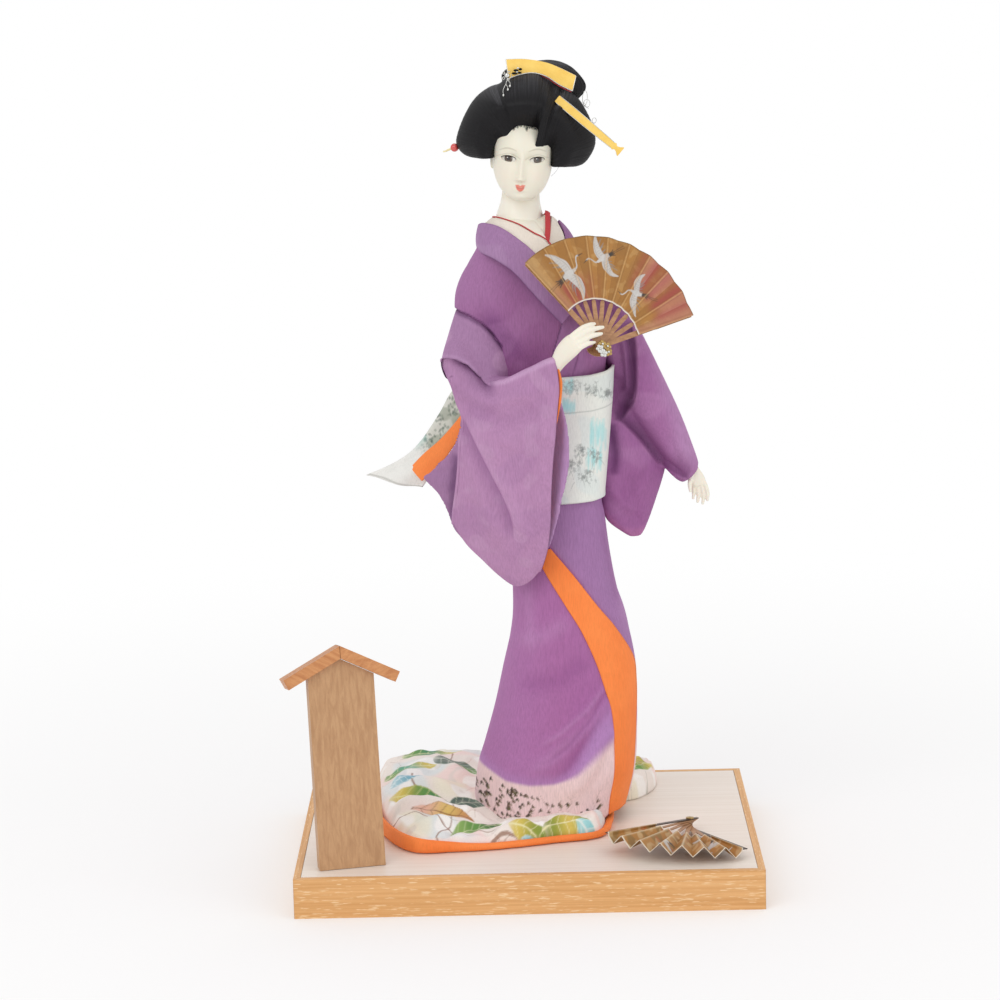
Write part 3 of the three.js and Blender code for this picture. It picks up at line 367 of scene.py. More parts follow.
class Canvas:
    """Colours for points that lie at (u, v) millimetres on a flat pattern."""

    def __init__(self, uv, ground):
        self.uv = np.asarray(uv, float)
        self.colour = np.tile(linear(ground), (len(self.uv), 1))

    def wash(self, share, colour):
        self.colour += (linear(colour) - self.colour) * np.clip(share, 0, 1)[:, None]

    def cloud(self, scale, seed, colour, level=0.2, strength=1.0, soft=0.5):
        self.wash(smooth(ripple(self.uv, scale, seed), level, level + soft) * strength, colour)

    def stroke(self, path, width, colour, strength=1.0, soft=0.3):
        """A line whose width goes through the given values."""
        path, width = np.asarray(path, float), np.atleast_1d(np.asarray(width, float))
        reach = width.max() / 2 + soft
        inside = np.all((self.uv > path.min(0) - reach) & (self.uv < path.max(0) + reach), axis=1)
        if not inside.any():
            return
        distance, share, _ = near(self.uv[inside], path)
        half = np.interp(share, np.linspace(0, 1, len(width)), width) / 2
        cover = np.zeros(len(self.uv))
        cover[inside] = np.clip((half - distance) / soft + 0.5, 0, 1) * strength
        self.wash(cover, colour)

    def curve(self, points, width, colour, **more):
        """A stroke through points joined smoothly."""
        self.stroke(sampled(points, 4 * len(points)), width, colour, **more)

    def turned(self, origin, angle):
        """The points as seen from an origin, turned back by an angle in degrees."""
        turn = math.radians(angle)
        matrix = np.array([[math.cos(turn), -math.sin(turn)], [math.sin(turn), math.cos(turn)]])
        return (self.uv - origin) @ matrix

    def disc(self, centre, size, angle, colour, strength=1.0, soft=0.25):
        """An oval of the given half sizes."""
        reach = np.linalg.norm(self.turned(centre, angle) / np.asarray(size, float), axis=1)
        self.wash(smooth(-reach, -1 - soft, -1) * strength, colour)

    def leaf(self, root, angle, length, width, colours, vein):
        """A pointed leaf with a middle rib and side veins. Colours run from its root to its tip."""
        side_veins, bend = 7, 0.12
        p, q = self.turned(root, angle).T
        p = p / length
        q = q - bend * length * np.sin(np.clip(p, 0, 1) * math.pi)
        half = width / 2 * np.clip(4 * p * (1 - p), 0, 1) ** 0.8 * (1.25 - 0.5 * p)
        inside = smooth((half - np.abs(q)) / 0.6, 0, 1) * (p > 0) * (p < 1)
        for k, colour in enumerate(colours):
            self.wash(inside * smooth(p, (k - 0.5) / len(colours), (k + 0.6) / len(colours) + 0.01), colour)
        slant = np.abs((p - 0.55 * np.abs(q) / length) * side_veins % 1 - 0.5)
        self.wash(inside * smooth(slant, 0.38, 0.5) * 0.55, vein)
        self.wash(inside * bell(q, 0.45) * 0.9, vein)
        self.wash(inside * smooth(np.abs(q) - half, -0.9, -0.3) * 0.5, vein)

    def put_on(self, made):
        layer = made.data.color_attributes.new("paint", "FLOAT_COLOR", "POINT")
        filled = np.ones((len(self.colour), 4), np.float32)
        filled[:, :3] = self.colour
        layer.data.foreach_set("color", filled.ravel())
        made.data.color_attributes.active_color = layer


# Materials

class Finish:
    """A material whose nodes are built with short calls. Node inputs go by name or number."""

    def __init__(self, name, colour, roughness, **sockets):
        self.material = bpy.data.materials.new(name)
        self.material.use_nodes = True
        self.tree = self.material.node_tree
        self.shader = self.tree.nodes["Principled BSDF"]
        self.shader.inputs["Base Color"].default_value = (*linear(colour), 1)
        self.shader.inputs["Roughness"].default_value = roughness
        for key, value in sockets.items():
            self.shader.inputs[key.replace("_", " ").title().replace("Ior", "IOR")].default_value = value
        self.height = None

    def node(self, kind, settings=None, **inputs):
        made = self.tree.nodes.new("ShaderNode" + kind)
        for key, value in (settings or {}).items():
            setattr(made, key, value)
        for key, value in inputs.items():
            socket = made.inputs[
                key.replace("_", " ")
            ] if not key.startswith("in") else made.inputs[int(key[2:])]
            if isinstance(value, bpy.types.NodeSocket):
                self.tree.links.new(value, socket)
            else:
                socket.default_value = value
        return made

    def place(self, scale, turn, flat):
        """Positions over the object in millimetres, turned and then stretched by scale."""
        coordinates = self.node("TexCoord").outputs["UV" if flat else "Object"]
        if any(turn):
            coordinates = self.node("Mapping", Vector=coordinates, Rotation=turn).outputs[0]
        per_metre = tuple(s / MM for s in scale)
        return self.node("Mapping", Vector=coordinates, Scale=per_metre).outputs[0]

    def noise(self, scale, turn=(0, 0, 0), detail=3.0, roughness=0.55, flat=False, distortion=0.0):
        """Noise with features of about 1 mm divided by scale, one number or one for each axis."""
        scale = scale if isinstance(scale, tuple) else (scale,) * 3
        return self.node(
            "TexNoise",
            Vector=self.place(scale, turn, flat),
            Scale=1.0,
            Detail=detail,
            Roughness=roughness,
            Distortion=distortion,
        ).outputs[0]

    def ramp(self, value, *stops):
        """A ramp through (position, level) stops, as a number."""
        made = self.node("ValToRGB", Fac=value)
        while len(made.color_ramp.elements) < len(stops):
            made.color_ramp.elements.new(0.5)
        for element, (position, level) in zip(made.color_ramp.elements, stops):
            element.position = position
            element.color = (level, level, level, 1) if not isinstance(level, str) else (*linear(level), 1)
        return made.outputs[0]

    def mix(self, share, a, b, blend="MIX"):
        made = self.node("Mix", {"data_type": "RGBA", "blend_type": blend}, in0=share)
        for socket, value in ((made.inputs[6], a), (made.inputs[7], b)):
            if isinstance(value, bpy.types.NodeSocket):
                self.tree.links.new(value, socket)
            else:
                socket.default_value = (*linear(value), 1)
        return made.outputs[2]

    def colour(self, socket):
        self.tree.links.new(socket, self.shader.inputs["Base Color"])
        return self

    def paint(self):
        return self.node("Attribute", {"attribute_name": "paint"}).outputs["Color"]

    def rough(self, value, low, high):
        spread = self.node("MapRange", Value=value, To_Min=low, To_Max=high).outputs[0]
        self.tree.links.new(spread, self.shader.inputs["Roughness"])
        return self

    def bump(self, value, depth):
        """Adds relief of so many millimetres."""
        made = self.node("Bump", Height=value, Distance=depth * MM, Strength=1.0)
        if self.height is not None:
            self.tree.links.new(self.height, made.inputs["Normal"])
        self.height = made.outputs[0]
        self.tree.links.new(self.height, self.shader.inputs["Normal"])
        return self


def wood(name, light, dark, turn=(0, 0, 0), grain=0.035, flecks=None, roughness=0.42):
    """Straight-grained wood whose grain runs along X before it is turned."""
    made = Finish(name, light, roughness)
    rings = made.noise((grain * 0.25, 0.5, 0.5), turn, detail=5, distortion=0.6)
    fine = made.noise((grain * 1.5, 3.2, 3.2), turn, detail=3)
    base = made.mix(made.ramp(rings, (0.38, 0.0), (0.66, 1.0)), light, dark)
    base = made.mix(made.ramp(fine, (0.35, 0.0), (0.75, 0.35)), base, dark)
    if flecks:
        dashes = made.noise((0.16, 1.5, 1.5), turn, detail=2, roughness=0.4)
        base = made.mix(made.ramp(dashes, (0.60, 0.0), (0.68, 0.75)), base, flecks)
    made.colour(base)
    made.rough(fine, roughness - 0.06, roughness + 0.1)
    made.bump(fine, 0.05)
    return made.material


def cloth(name, colour, shade, painted=False, weave=1.0, streak=0.35):
    """Crepe silk: fine upright threads, a mottled surface and a soft sheen."""
    made = Finish(name, colour, 0.62, sheen_weight=0.35, sheen_roughness=0.4, specular_ior_level=0.25)
    made.shader.inputs["Sheen Tint"].default_value = (*linear(colour), 1)
    threads = made.noise((1.5, 1.5, 0.16), detail=3, roughness=0.7)
    across = made.noise((0.25, 0.25, 1.9), detail=2, roughness=0.6)
    mottle = made.noise(0.03, detail=3)
    base = made.paint() if painted else made.mix(made.ramp(mottle, (0.35, 0.0), (0.7, 0.6)), colour, shade)
    dark = made.ramp(threads, (0.3, 1 - streak * 0.55), (0.62, 1.0))
    base = made.mix(1.0, base, dark, "MULTIPLY")
    made.colour(base)
    made.bump(threads, 0.09 * weave)
    made.bump(across, 0.06 * weave)
    return made.material


def showing_rays(tree):
    """1 for the rays that show something to the camera, straight, mirrored or through glass."""
    rays = tree.nodes.new("ShaderNodeLightPath").outputs
    share = rays["Is Camera Ray"]
    for kind in ("Is Glossy Ray", "Is Transmission Ray"):
        most = tree.nodes.new("ShaderNodeMath")
        most.operation = "MAXIMUM"
        tree.links.new(share, most.inputs[0])
        tree.links.new(rays[kind], most.inputs[1])
        share = most.outputs[0]
    return share


def floor_material():
    """A pale floor that keeps the doll's shadow and fades to white away from it."""
    made = Finish("floor", "f8f7f7", 0.9, specular_ior_level=0.0)
    place = made.node("TexCoord").outputs["Object"]
    away = made.node("VectorMath", {"operation": "LENGTH"}, in0=place).outputs["Value"]
    soft = {"interpolation_type": "SMOOTHSTEP"}
    far = made.node("MapRange", soft, Value=away, From_Min=0.1, From_Max=0.9, To_Min=0.25).outputs[0]
    share = made.node("Math", {"operation": "MULTIPLY"}, in0=far, in1=showing_rays(made.tree)).outputs[0]
    white = made.node("Emission", Color=(1, 1, 1, 1), Strength=1.0).outputs[0]
    both = made.node("MixShader", in0=share, in1=made.shader.outputs[0], in2=white).outputs[0]
    made.tree.links.new(both, made.tree.nodes["Material Output"].inputs["Surface"])
    return made.material


# Camera, lights and floor

# The camera's place and turns, from a fit to the base's corners. Its picture is as wide as its sensor.
EYE = (0.3, -1827.4, 580.2 - BASE_HEIGHT)
YAW, PITCH, ROLL = 0.007, 0.194, -0.023
SENSOR_WIDTH, PICTURE_PIXELS, FOCAL_PIXELS = 36, 1000, 3150


def build_camera():
    level = Vector((math.cos(YAW), math.sin(YAW), 0))
    ahead = Vector((-math.sin(YAW), math.cos(YAW), 0))
    up = Vector((0, 0, 1))
    forward = ahead * math.cos(PITCH) - up * math.sin(PITCH)
    head_up = ahead * math.sin(PITCH) + up * math.cos(PITCH)
    right = level * math.cos(ROLL) + head_up * math.sin(ROLL)
    upward = -level * math.sin(ROLL) + head_up * math.cos(ROLL)
    data = bpy.data.cameras.new("camera")
    data.lens = FOCAL_PIXELS / PICTURE_PIXELS * SENSOR_WIDTH
    data.sensor_width, data.clip_end = SENSOR_WIDTH, 50
    camera = bpy.data.objects.new("camera", data)
    turned = Matrix((right, upward, -forward)).transposed().to_4x4()
    camera.matrix_world = Matrix.Translation(Vector(world(EYE))) @ turned
    bpy.context.scene.collection.objects.link(camera)
    bpy.context.scene.camera = camera


def area_light(name, place, target, size, power):
    data = bpy.data.lights.new(name, "AREA")
    data.size, data.energy = size, power
    lamp = bpy.data.objects.new(name, data)
    lamp.location = place
    lamp.rotation_euler = (Vector(target) - Vector(place)).to_track_quat("-Z", "Y").to_euler()
    bpy.context.scene.collection.objects.link(lamp)


def build_stage():
    scene = bpy.context.scene
    scene.view_settings.view_transform = "Standard"
    surround = bpy.data.worlds.new("surround")
    surround.use_nodes = True
    tree = surround.node_tree
    ambient = tree.nodes["Background"]
    ambient.inputs["Color"].default_value = (1, 1, 1, 1)
    ambient.inputs["Strength"].default_value = 0.8
    backdrop = tree.nodes.new("ShaderNodeBackground")
    backdrop.inputs["Strength"].default_value = 1.0
    mix = tree.nodes.new("ShaderNodeMixShader")
    tree.links.new(showing_rays(tree), mix.inputs[0])
    tree.links.new(ambient.outputs[0], mix.inputs[1])
    tree.links.new(backdrop.outputs[0], mix.inputs[2])
    tree.links.new(mix.outputs[0], tree.nodes["World Output"].inputs["Surface"])
    scene.world = surround
    area_light("key", (-1.1, -1.7, 1.7), (0, 0, 0.25), 1.6, 13)
    area_light("fill", (1.5, -1.3, 1.0), (0, 0, 0.22), 1.8, 6)
    area_light("top", (0.1, 0.5, 2.2), (0, 0, 0.2), 1.6, 4)
    bpy.ops.mesh.primitive_plane_add(size=40, location=(0, 0, 0))
    floor = bpy.context.object
    floor.name = "floor"
    floor.data.materials.append(floor_material())


# The dressed body, as rows of [height, x, y, half width, half depth]
BODY = [
    [0, 13.5, 18, 46, 40], [10, 15.5, 17, 47, 40], [33, 18.5, 14, 47, 39], [49, 21.5, 13.5, 45, 36.5],
    [71, 25, 13, 42, 34], [95, 27.5, 12.5, 39, 31.5], [120, 28, 12, 34, 29], [142, 25.5, 11, 30.5, 27],
    [165, 23, 10, 29, 25.5], [186, 20.5, 9, 29, 24.5], [200, 20, 8, 27.5, 23.5], [236, 18.5, 7, 29.5, 23],
    [276, 17, 6, 34.5, 24], [296, 13.5, 5, 41, 25], [316, 10.5, 5, 43.5, 24], [334, 7.5, 5.5, 37.5, 21.5],
    [348, 6, 6, 28.5, 19.5], [362, 4, 6, 21, 17],
]
BODY_FINE = sampled(BODY, 3000)
WAIST = 222
SHOULDER = 356


def body_at(height):
    return np.stack([np.interp(height, BODY_FINE[:, 0], BODY_FINE[:, k]) for k in range(1, 5)], axis=-1)


def body_points(heights, angles, grow=0.0):
    """The body's surface at heights and angles, both arrays of one shape, swollen by grow."""
    x, y, a, b = np.moveaxis(body_at(heights), -1, 0)
    swell = 1 + 0.014 * np.clip(1 - heights / 110, 0, 1) * np.cos(9 * angles + heights / 40)
    return np.stack([
        x + (a + grow) * swell * bulge(np.cos(angles), 2.2),
        y + (b + grow) * swell * bulge(np.sin(angles), 2.2),
        heights,
    ], axis=-1)


def front_angle(x, height):
    """The angle on the body's front at which its surface has this x."""
    cx, _, a, _ = np.moveaxis(body_at(height), -1, 0)
    share = np.clip((x - cx) / a, -0.999, 0.999)
    return -np.arccos(np.sign(share) * np.abs(share) ** 1.1)


# The orange lining that shows down the skirt's front, as rows of [height, left x, right x]
STRIP = [
    [0.6, 48, 58], [12, 49, 60.5], [37, 52, 63.4], [68, 51.5, 65], [87, 47, 65.2], [102, 42.5, 63.4],
    [121, 34.5, 53.4], [136, 26, 42.6], [155, 15, 29.4], [172, 6.5, 16],
]
STRIP_FINE = sampled(STRIP, 600)


def strip_edges(height):
    return [np.interp(height, STRIP_FINE[:, 0], STRIP_FINE[:, k]) for k in (1, 2)]


def hem_lift(x, z):
    """The hem's right end stands clear of the base."""
    return 8 * smooth(x, 38, 52) * fall(z, 0, 40)


def build_skirt(purple):
    rows, columns = 300, 420
    heights, angles = np.meshgrid(
        np.linspace(0.5, WAIST, rows), np.linspace(-math.pi, math.pi, columns, endpoint=False), indexing="ij"
    )
    points = body_points(heights, angles)
    x, z = points[..., 0].ravel(), points[..., 2].ravel()
    front = angles.ravel() < 0
    left, right = strip_edges(z)
    over = front * smooth(left - x, -0.6, 0.8)
    grow = 1.1 * over
    flat = np.stack([x, z], axis=-1)
    for path, width, depth in SKIRT_FOLDS:
        grow += depth * crease(flat, path, width) * front
    grow += 0.5 * np.sin(angles.ravel() * 6 + z / 60) * fall(z, 20, 150) * (1 - front * 0.6)
    made_points = body_points(heights, angles, grow.reshape(heights.shape)).reshape(-1, 3)
    made_points[:, 2] += hem_lift(made_points[:, 0], made_points[:, 2])
    made = piece("kimono_skirt_cloth", made_points, grid_faces(rows, columns, ring=True), purple,
                 replaces=("kimono_skirt", "body_core"), slot="purple_silk")
    around = np.where(front, x, 2 * body_at(z)[:, 0] + x)
    canvas = Canvas(np.stack([around, z], axis=-1), "ab6ba2")
    # Painted light: the front is lighter towards the doll's right, the side the key lamp faces.
    canvas.wash(fall(x, -12, 24) * front * 0.5, "b47fb4")
    canvas.wash(smooth(x - right, 0, 2) * front * (z > 60) * 0.75, "a37cab")
    canvas.wash(fall(z, 60, 110) * smooth(x, 15, 45) * front * 0.4, "9c5499")
    # A painted highlight along each raised fold and painted shade in each sunk one.
    for path, width, depth in SKIRT_FOLDS:
        canvas.wash(crease(flat, path, width * 0.7) * front * 0.3, "c08fbe" if depth > 0 else "854683")
    hem = skirt_print_edge(x)
    canvas.wash(smooth(hem + 16 * smooth(x, 22, 48) - z, -9 - 14 * smooth(x, 22, 48), 2), "b685bd")
    canvas.wash(smooth(hem - z, -1.2 - 8 * smooth(x, 18, 48), 1.5), "f0d3d4")
    berries(canvas)
    canvas.put_on(made)
    thicken(made, 1.2)
    return made


# Creases pulled down and across from the strip's middle, as (path of [x, z], width, depth)
SKIRT_FOLDS = [
    ([[50, 84], [34, 62], [14, 45], [-4, 33]], 5.5, 1.3),
    ([[50, 76], [38, 55], [24, 38], [8, 24]], 4.0, -1.1),
    ([[51, 66], [42, 46], [32, 30], [20, 18]], 4.5, 1.3),
    ([[50, 92], [36, 74], [20, 60], [4, 50]], 2.2, 0.8),
    ([[50, 88], [38, 68], [24, 52], [8, 40]], 1.8, -0.8),
    ([[51, 58], [45, 40], [38, 24]], 3.0, -0.9),
    ([[30, 130], [12, 118], [-8, 112]], 7.0, 0.7),
    ([[42, 108], [20, 92], [-8, 86]], 8.0, -0.8),
    ([[0, 176], [4, 140], [6, 100]], 5.0, 0.6),
    ([[54, 190], [58, 150], [60, 110]], 5.0, 0.6),
    ([[46, 186], [52, 160], [57, 130]], 3.5, -0.6),
]


def skirt_print_edge(x):
    """The height at which the plain purple gives way to the print."""
    return np.interp(x, [-40, -28, -12, 2, 16, 30, 44, 60], [42, 38, 31, 29, 30, 34, 44, 56])


def berries(canvas):
    """Small dark buds on fine stalks, scattered over the pale band."""
    draw = np.random.default_rng(11)
    for _ in range(190):
        u, w = draw.uniform(-34, 44), draw.uniform(4, 34)
        if w > np.interp(u, [-40, -20, 0, 20, 44], [34, 28, 23, 19, 14]):
            continue
        lean = draw.uniform(-0.9, 0.9)
        tip = np.array([u + 1.5 * lean, w + 2.0])
        canvas.stroke([[u, w], tip], [0.25, 0.35], "6d4a3e", 0.8, 0.3)
        canvas.disc(tip, (0.55, 0.95), -40 * lean, draw.choice(["2c2620", "4a4234", "5a4a3a"]), 0.9, 0.35)
        canvas.disc(tip + [0.9, -0.6], (0.4, 0.7), 30, "6b6a3a", 0.7, 0.35)
    for _ in range(26):
        u, w = draw.uniform(-34, 42), draw.uniform(0, 16)
        path = [[u, w], [u + draw.uniform(-3, 3), w + 4], [u + draw.uniform(-5, 5), w + 8]]
        canvas.curve(path, [0.5, 0.25], "9a7a72", strength=0.5)


def build_strip(orange):
    """The lining's orange edge, laid on the skirt between the two fronts."""
    rows, columns = 150, 18
    heights = np.repeat(np.linspace(0.6, 171, rows)[:, None], columns, axis=1)
    left, right = strip_edges(heights)
    share = np.linspace(0, 1, columns)[None, :]
    x = left - 0.8 + (right - left + 0.8) * share
    cx, _, a, _ = np.moveaxis(body_at(heights), -1, 0)
    angles = front_angle(np.minimum(x, cx + a - 0.4), heights)
    crown = (
        0.75 + 0.35 * np.sin(math.pi * share)
        + 0.25 * np.sin(heights / 7 + 3 * share) * fall(heights, 0, 40)
    )
    points = body_points(heights, angles, crown)
    points[..., 0] = np.maximum(points[..., 0], np.minimum(x, points[..., 0].max()))
    points[..., 2] += hem_lift(points[..., 0], points[..., 2])
    made = grid_piece("skirt_strip", points, orange, replaces=("skirt_lining",), slot="orange_silk")
    thicken(made, 0.9, 1.0)


# The train's outline on the base
TRAIN_MIDDLE = np.array([15.0, 15.0])
TRAIN = [
    [-94, 50, 28], [-94, 10, 25], [-86, -30, 19], [-69, -60, 13], [-45, -61, 13], [-16, -57, 14],
    [15, -48, 15], [43, -38, 16], [51, -8, 14], [54, 28, 14], [70, 44, 18], [80, 66, 20], [78, 92, 20],
    [50, 98, 20], [20, 92, 20], [-15, 90, 24], [-50, 96, 29], [-90, 84, 29]
]
ROLL_RADIUS = 2.2


def train_edge(share):
    """[x, y, puff] of the train's outline, closed, at shares of the way round."""
    rows = np.array([TRAIN[-1], *TRAIN, TRAIN[0], TRAIN[1]], float)
    return along(rows, (1 + (share % 1) * len(TRAIN)) / (len(rows) - 1))


# Broad folds of the train: (path of [x, y], width, height)
TRAIN_FOLDS = [
    ([[-88, -18], [-60, -12], [-34, -22], [-20, -30]], 6, 5.0),
    ([[-78, -44], [-52, -36], [-30, -36]], 5, 3.0),
    ([[-86, 24], [-60, 16], [-38, 8]], 7, 4.0),
    ([[-60, 70], [-46, 44], [-34, 24]], 7, 5.0),
    ([[-84, -4], [-58, 2], [-40, -6]], 5, -4.0),
    ([[-60, -56], [-42, -44], [-26, -36]], 5, -3.0),
    ([[-20, -54], [-6, -44], [14, -38]], 5, 2.5),
    ([[18, -46], [30, -38], [44, -30]], 4, 3.0),
    ([[-30, -58], [-20, -46], [-12, -38]], 4, -2.5),
    ([[60, 50], [52, 70], [48, 90]], 6, 4.0),
    ([[10, 90], [12, 74], [14, 62]], 6, 4.0),
    ([[-20, 88], [-14, 70], [-8, 58]], 6, -4.0),
]


def build_train(printed, orange):
    turns, rings = 760, 170
    share, inward = np.meshgrid(np.arange(turns) / turns, np.linspace(0, 1, rings), indexing="ij")
    edge = train_edge(share.ravel()).reshape(turns, rings, 3)
    edge_xy, puff = edge[..., :2], edge[..., 2]
    reach = np.linalg.norm(edge_xy - TRAIN_MIDDLE, axis=-1)
    inset = 2 * ROLL_RADIUS * smooth(share, 0.03, 0.06) * smooth(0.55 - share, 0, 0.03) + 0.4
    outer = TRAIN_MIDDLE + (edge_xy - TRAIN_MIDDLE) * ((reach - inset) / reach)[..., None]
    profile = np.interp(
        inward, [0, 0.012, 0.05, 0.14, 0.3, 0.5, 0.7, 0.88, 1],
        [0.12, 0.46, 0.8, 0.98, 1, 0.86, 0.8, 0.95, 1.2]
    )
    xy = outer + (TRAIN_MIDDLE - outer) * (inward * 0.97)[..., None]
    flat = xy.reshape(-1, 2)
    away = smooth(inward.ravel(), 0.0, 0.12)
    height = (profile * puff * 0.78).ravel()
    for path, width, lift in TRAIN_FOLDS:
        height += lift * crease(flat, path, width, 0.2) * away
    height += 1.1 * ripple(flat, 34, 3) * away + 0.45 * ripple(flat, 13, 5) * away
    pleats = np.sin(share.ravel() * 2 * math.pi * 34 + 2 * ripple(flat, 50, 9))
    height += 0.7 * pleats * smooth(inward.ravel(), 0, 0.05) * fall(inward.ravel(), 0.05, 0.35)
    height = np.maximum(height, 1.2)
    top = np.concatenate([flat, height[:, None]], axis=1)
    under = np.concatenate([outer[:, 0], np.full((turns, 1), 0.35)], axis=1)
    points = np.concatenate([top, under, [[*TRAIN_MIDDLE, 0.35]]])
    faces = []
    for i in range(turns):
        after = (i + 1) % turns
        for j in range(rings - 1):
            faces.append([i * rings + j, after * rings + j, after * rings + j + 1, i * rings + j + 1])
        base = turns * rings
        faces.append([base + i, base + after, after * rings, i * rings])
        faces.append([base + after, base + i, base + turns])
    made = piece("hem_train_cloth", points, faces, printed, replaces=("hem_train",), slot="print_silk")
    canvas = Canvas(points[:, :2], "f0e6de")
    paint_train(canvas)
    canvas.put_on(made)
    build_hem_roll(orange)


def paint_train(canvas):
    canvas.cloud(70, 21, "f6dcd6", 0.1, 0.8)
    canvas.cloud(60, 22, "dce8ea", 0.45, 0.7)
    canvas.cloud(80, 23, "f3eed2", 0.8, 0.6)
    canvas.cloud(26, 26, "fbf8f4", 0.4, 0.8)
    canvas.cloud(18, 27, "d8d2ca", 0.9, 0.5)
    rust, green, olive, yellow, slate = "8a5a3c", "6a9a4e", "8f9c3e", "d8c25e", "64766c"
    for root, tip, sway in (
        ([-86, -30], [-20, -46], 8), ([-70, 30], [-44, -20], -7), ([-30, -60], [34, -42], 5),
        ([-60, 84], [-36, 34], 7), ([70, 84], [40, 60], -5), ([-52, -60], [-46, -30], 4),
        ([10, 92], [0, 60], 4)
    ):
        root, tip = np.array(root, float), np.array(tip, float)
        side = np.array([-(tip - root)[1], (tip - root)[0]]) / np.linalg.norm(tip - root)
        path = [
            root, root + (tip - root) * 0.3 + side * sway, root + (tip - root) * 0.65 - side * sway * 0.6,
            tip
        ]
        canvas.curve(path, [1.3, 0.9, 0.5], rust, strength=0.75)
    leaves = [
        ([-84, 2], -8, 36, 15, (yellow, green, "4a8a5e"), "e8e2a0"),
        ([-70, -22], -16, 40, 12, ("e8b8a0", "e0c070", "c98f5a"), "8a5a3c"),
        ([-50, -14], 24, 30, 17, (slate, "4f6258", "6f8478"), "cfd8c0"),
        ([-46, -48], 16, 32, 13, ("8fae62", green, "3f6a40"), "d6e0b0"),
        ([-12, -46], -14, 30, 12, (yellow, olive, green), "ece6b4"),
        ([8, -44], 12, 34, 14, (olive, yellow, green), "f0eab8"),
        ([-88, 34], 24, 36, 16, (green, "5fa890", yellow), "e6e6b8"),
        ([-58, 56], -34, 34, 18, (slate, "5f7468", green), "d8decf"),
        ([-78, 70], 4, 38, 15, (green, "3f8a6a", yellow), "e0e4b0"),
        ([-40, 88], -16, 34, 14, (yellow, "e2cf6a", olive), "f4efc0"),
        ([4, 84], 12, 28, 13, (green, slate, olive), "d6dcc0"),
        ([52, 82], -30, 28, 12, ("f0c0b0", yellow, olive), "a0704a"),
        ([66, 52], 60, 26, 11, (green, olive, yellow), "e4e4b4"),
        ([-84, 16], 6, 22, 9, ("a9cdd8", "7fb4c4", "5d9db4"), "e8f4f6"),
        ([-10, -55], 4, 26, 8, ("a6dbe0", "6fc0cc", "58a8bc"), "f0fafa"),
        ([28, -36], -32, 22, 10, ("a9dfe2", "7cc8d0", yellow), "f0f8f4"),
    ]
    for root, angle, length, width, colours, vein in leaves:
        canvas.leaf(root, angle, length, width, colours, vein)
    draw = np.random.default_rng(31)
    for _ in range(60):
        u, v = draw.uniform(-88, 76), draw.uniform(-58, 94)
        turn = draw.uniform(0, 2 * math.pi)
        bent = turn + 0.5
        middle, end = [
            u + 4 * math.cos(turn), v + 4 * math.sin(turn)
        ], [u + 9 * math.cos(bent), v + 9 * math.sin(bent)]
        path = [[u, v], middle, end]
        canvas.curve(path, [0.45, 0.25], draw.choice([rust, "9a9a8a", "c08a70"]), strength=0.5)


def build_hem_roll(orange):
    """The padded orange roll that edges the train at the front and the left."""
    count, sides = 260, 20
    t = np.linspace(0.045, 0.53, count)

    def centre(share):
        edge = train_edge(share)
        reach = np.linalg.norm(edge[:, :2] - TRAIN_MIDDLE, axis=1)
        return TRAIN_MIDDLE + (edge[:, :2] - TRAIN_MIDDLE) * ((reach - ROLL_RADIUS) / reach)[:, None]

    middle = centre(t)
    ahead = unit(centre(t + 0.003) - centre(t - 0.003))
    across = np.stack([-ahead[:, 1], ahead[:, 0]], axis=1)
    s = circle(sides)
    high = ROLL_RADIUS * (0.95 + 1.3 * smooth(0.27 - t, 0, 0.12))
    ends = np.sqrt(np.clip(np.minimum(t - 0.044, 0.5305 - t) * 90, 0.02, 1))
    wide = ROLL_RADIUS * (1 + 0.07 * np.sin(t * 260)) * ends
    xy = middle[:, None] + across[:, None] * (wide[:, None] * np.cos(s))[..., None]
    z = 0.3 + high[:, None] * (1 + np.sin(s)[None, :] * 0.98)
    points, faces = closed(np.concatenate([xy, z[..., None]], axis=-1))
    made = piece("hem_roll", points, faces, orange, slot="orange_silk")


CLOTH_VOXEL, SKIN_VOXEL = 0.85, 0.36

# The bodice: shoulders that drop over the tops of the sleeves, then the seams as [x, z], and the folds
RIGHT_SHOULDER = [
    [2, 6, 341, 13, 12], [-11, 5.6, 331, 17.2, 16.4], [-17.8, 4.6, 318.5, 18.2, 17],
    [-21.2, 3.2, 306, 16, 16.6], [-24.2, 0.4, 294, 15.4, 15.4], [-25, -3, 284, 15, 12]
]
LEFT_SHOULDER = [
    [16, 6, 338, 11, 11], [33, 7, 331, 13.5, 14], [43, 8, 318, 16.6, 16.4], [49.5, 9.4, 308, 17, 16.6]
]
ARMHOLE = [[-38, 312.6], [-27.7, 309.4], [-20.6, 305.1], [-14.5, 299.2], [-9, 291], [-6.6, 287], [-4, 281]]
UNDERARM = [[-19.8, 317.2], [-16.8, 307.8], [-11, 297.3], [-4.6, 286], [-1.9, 277.6]]
OVERLAP = [[27.4, 314], [26.6, 309], [25.3, 303], [23.1, 296], [20.4, 288], [18.6, 276]]
BODICE_FOLDS = [
    ([[-30, 326], [-16, 306], [-1, 280]], 6, -1.6),
    ([[-18, 332], [-4, 306], [8, 280]], 9, 0.9),
    ([[-8, 300], [-2, 290], [2, 278]], 4, -1.4),
    ([[48, 330], [54, 306], [52, 280]], 4, -1.2),
    ([[42, 326], [47, 302], [44, 276]], 2.4, 1.1),
    ([[38, 318], [41, 298], [39, 278]], 2.0, -1.0),
    ([[35.8, 290], [34, 282], [31.5, 274]], 1.1, -0.9),
    ([[31.5, 290], [29.6, 282], [28, 274]], 2.2, 0.7),
]


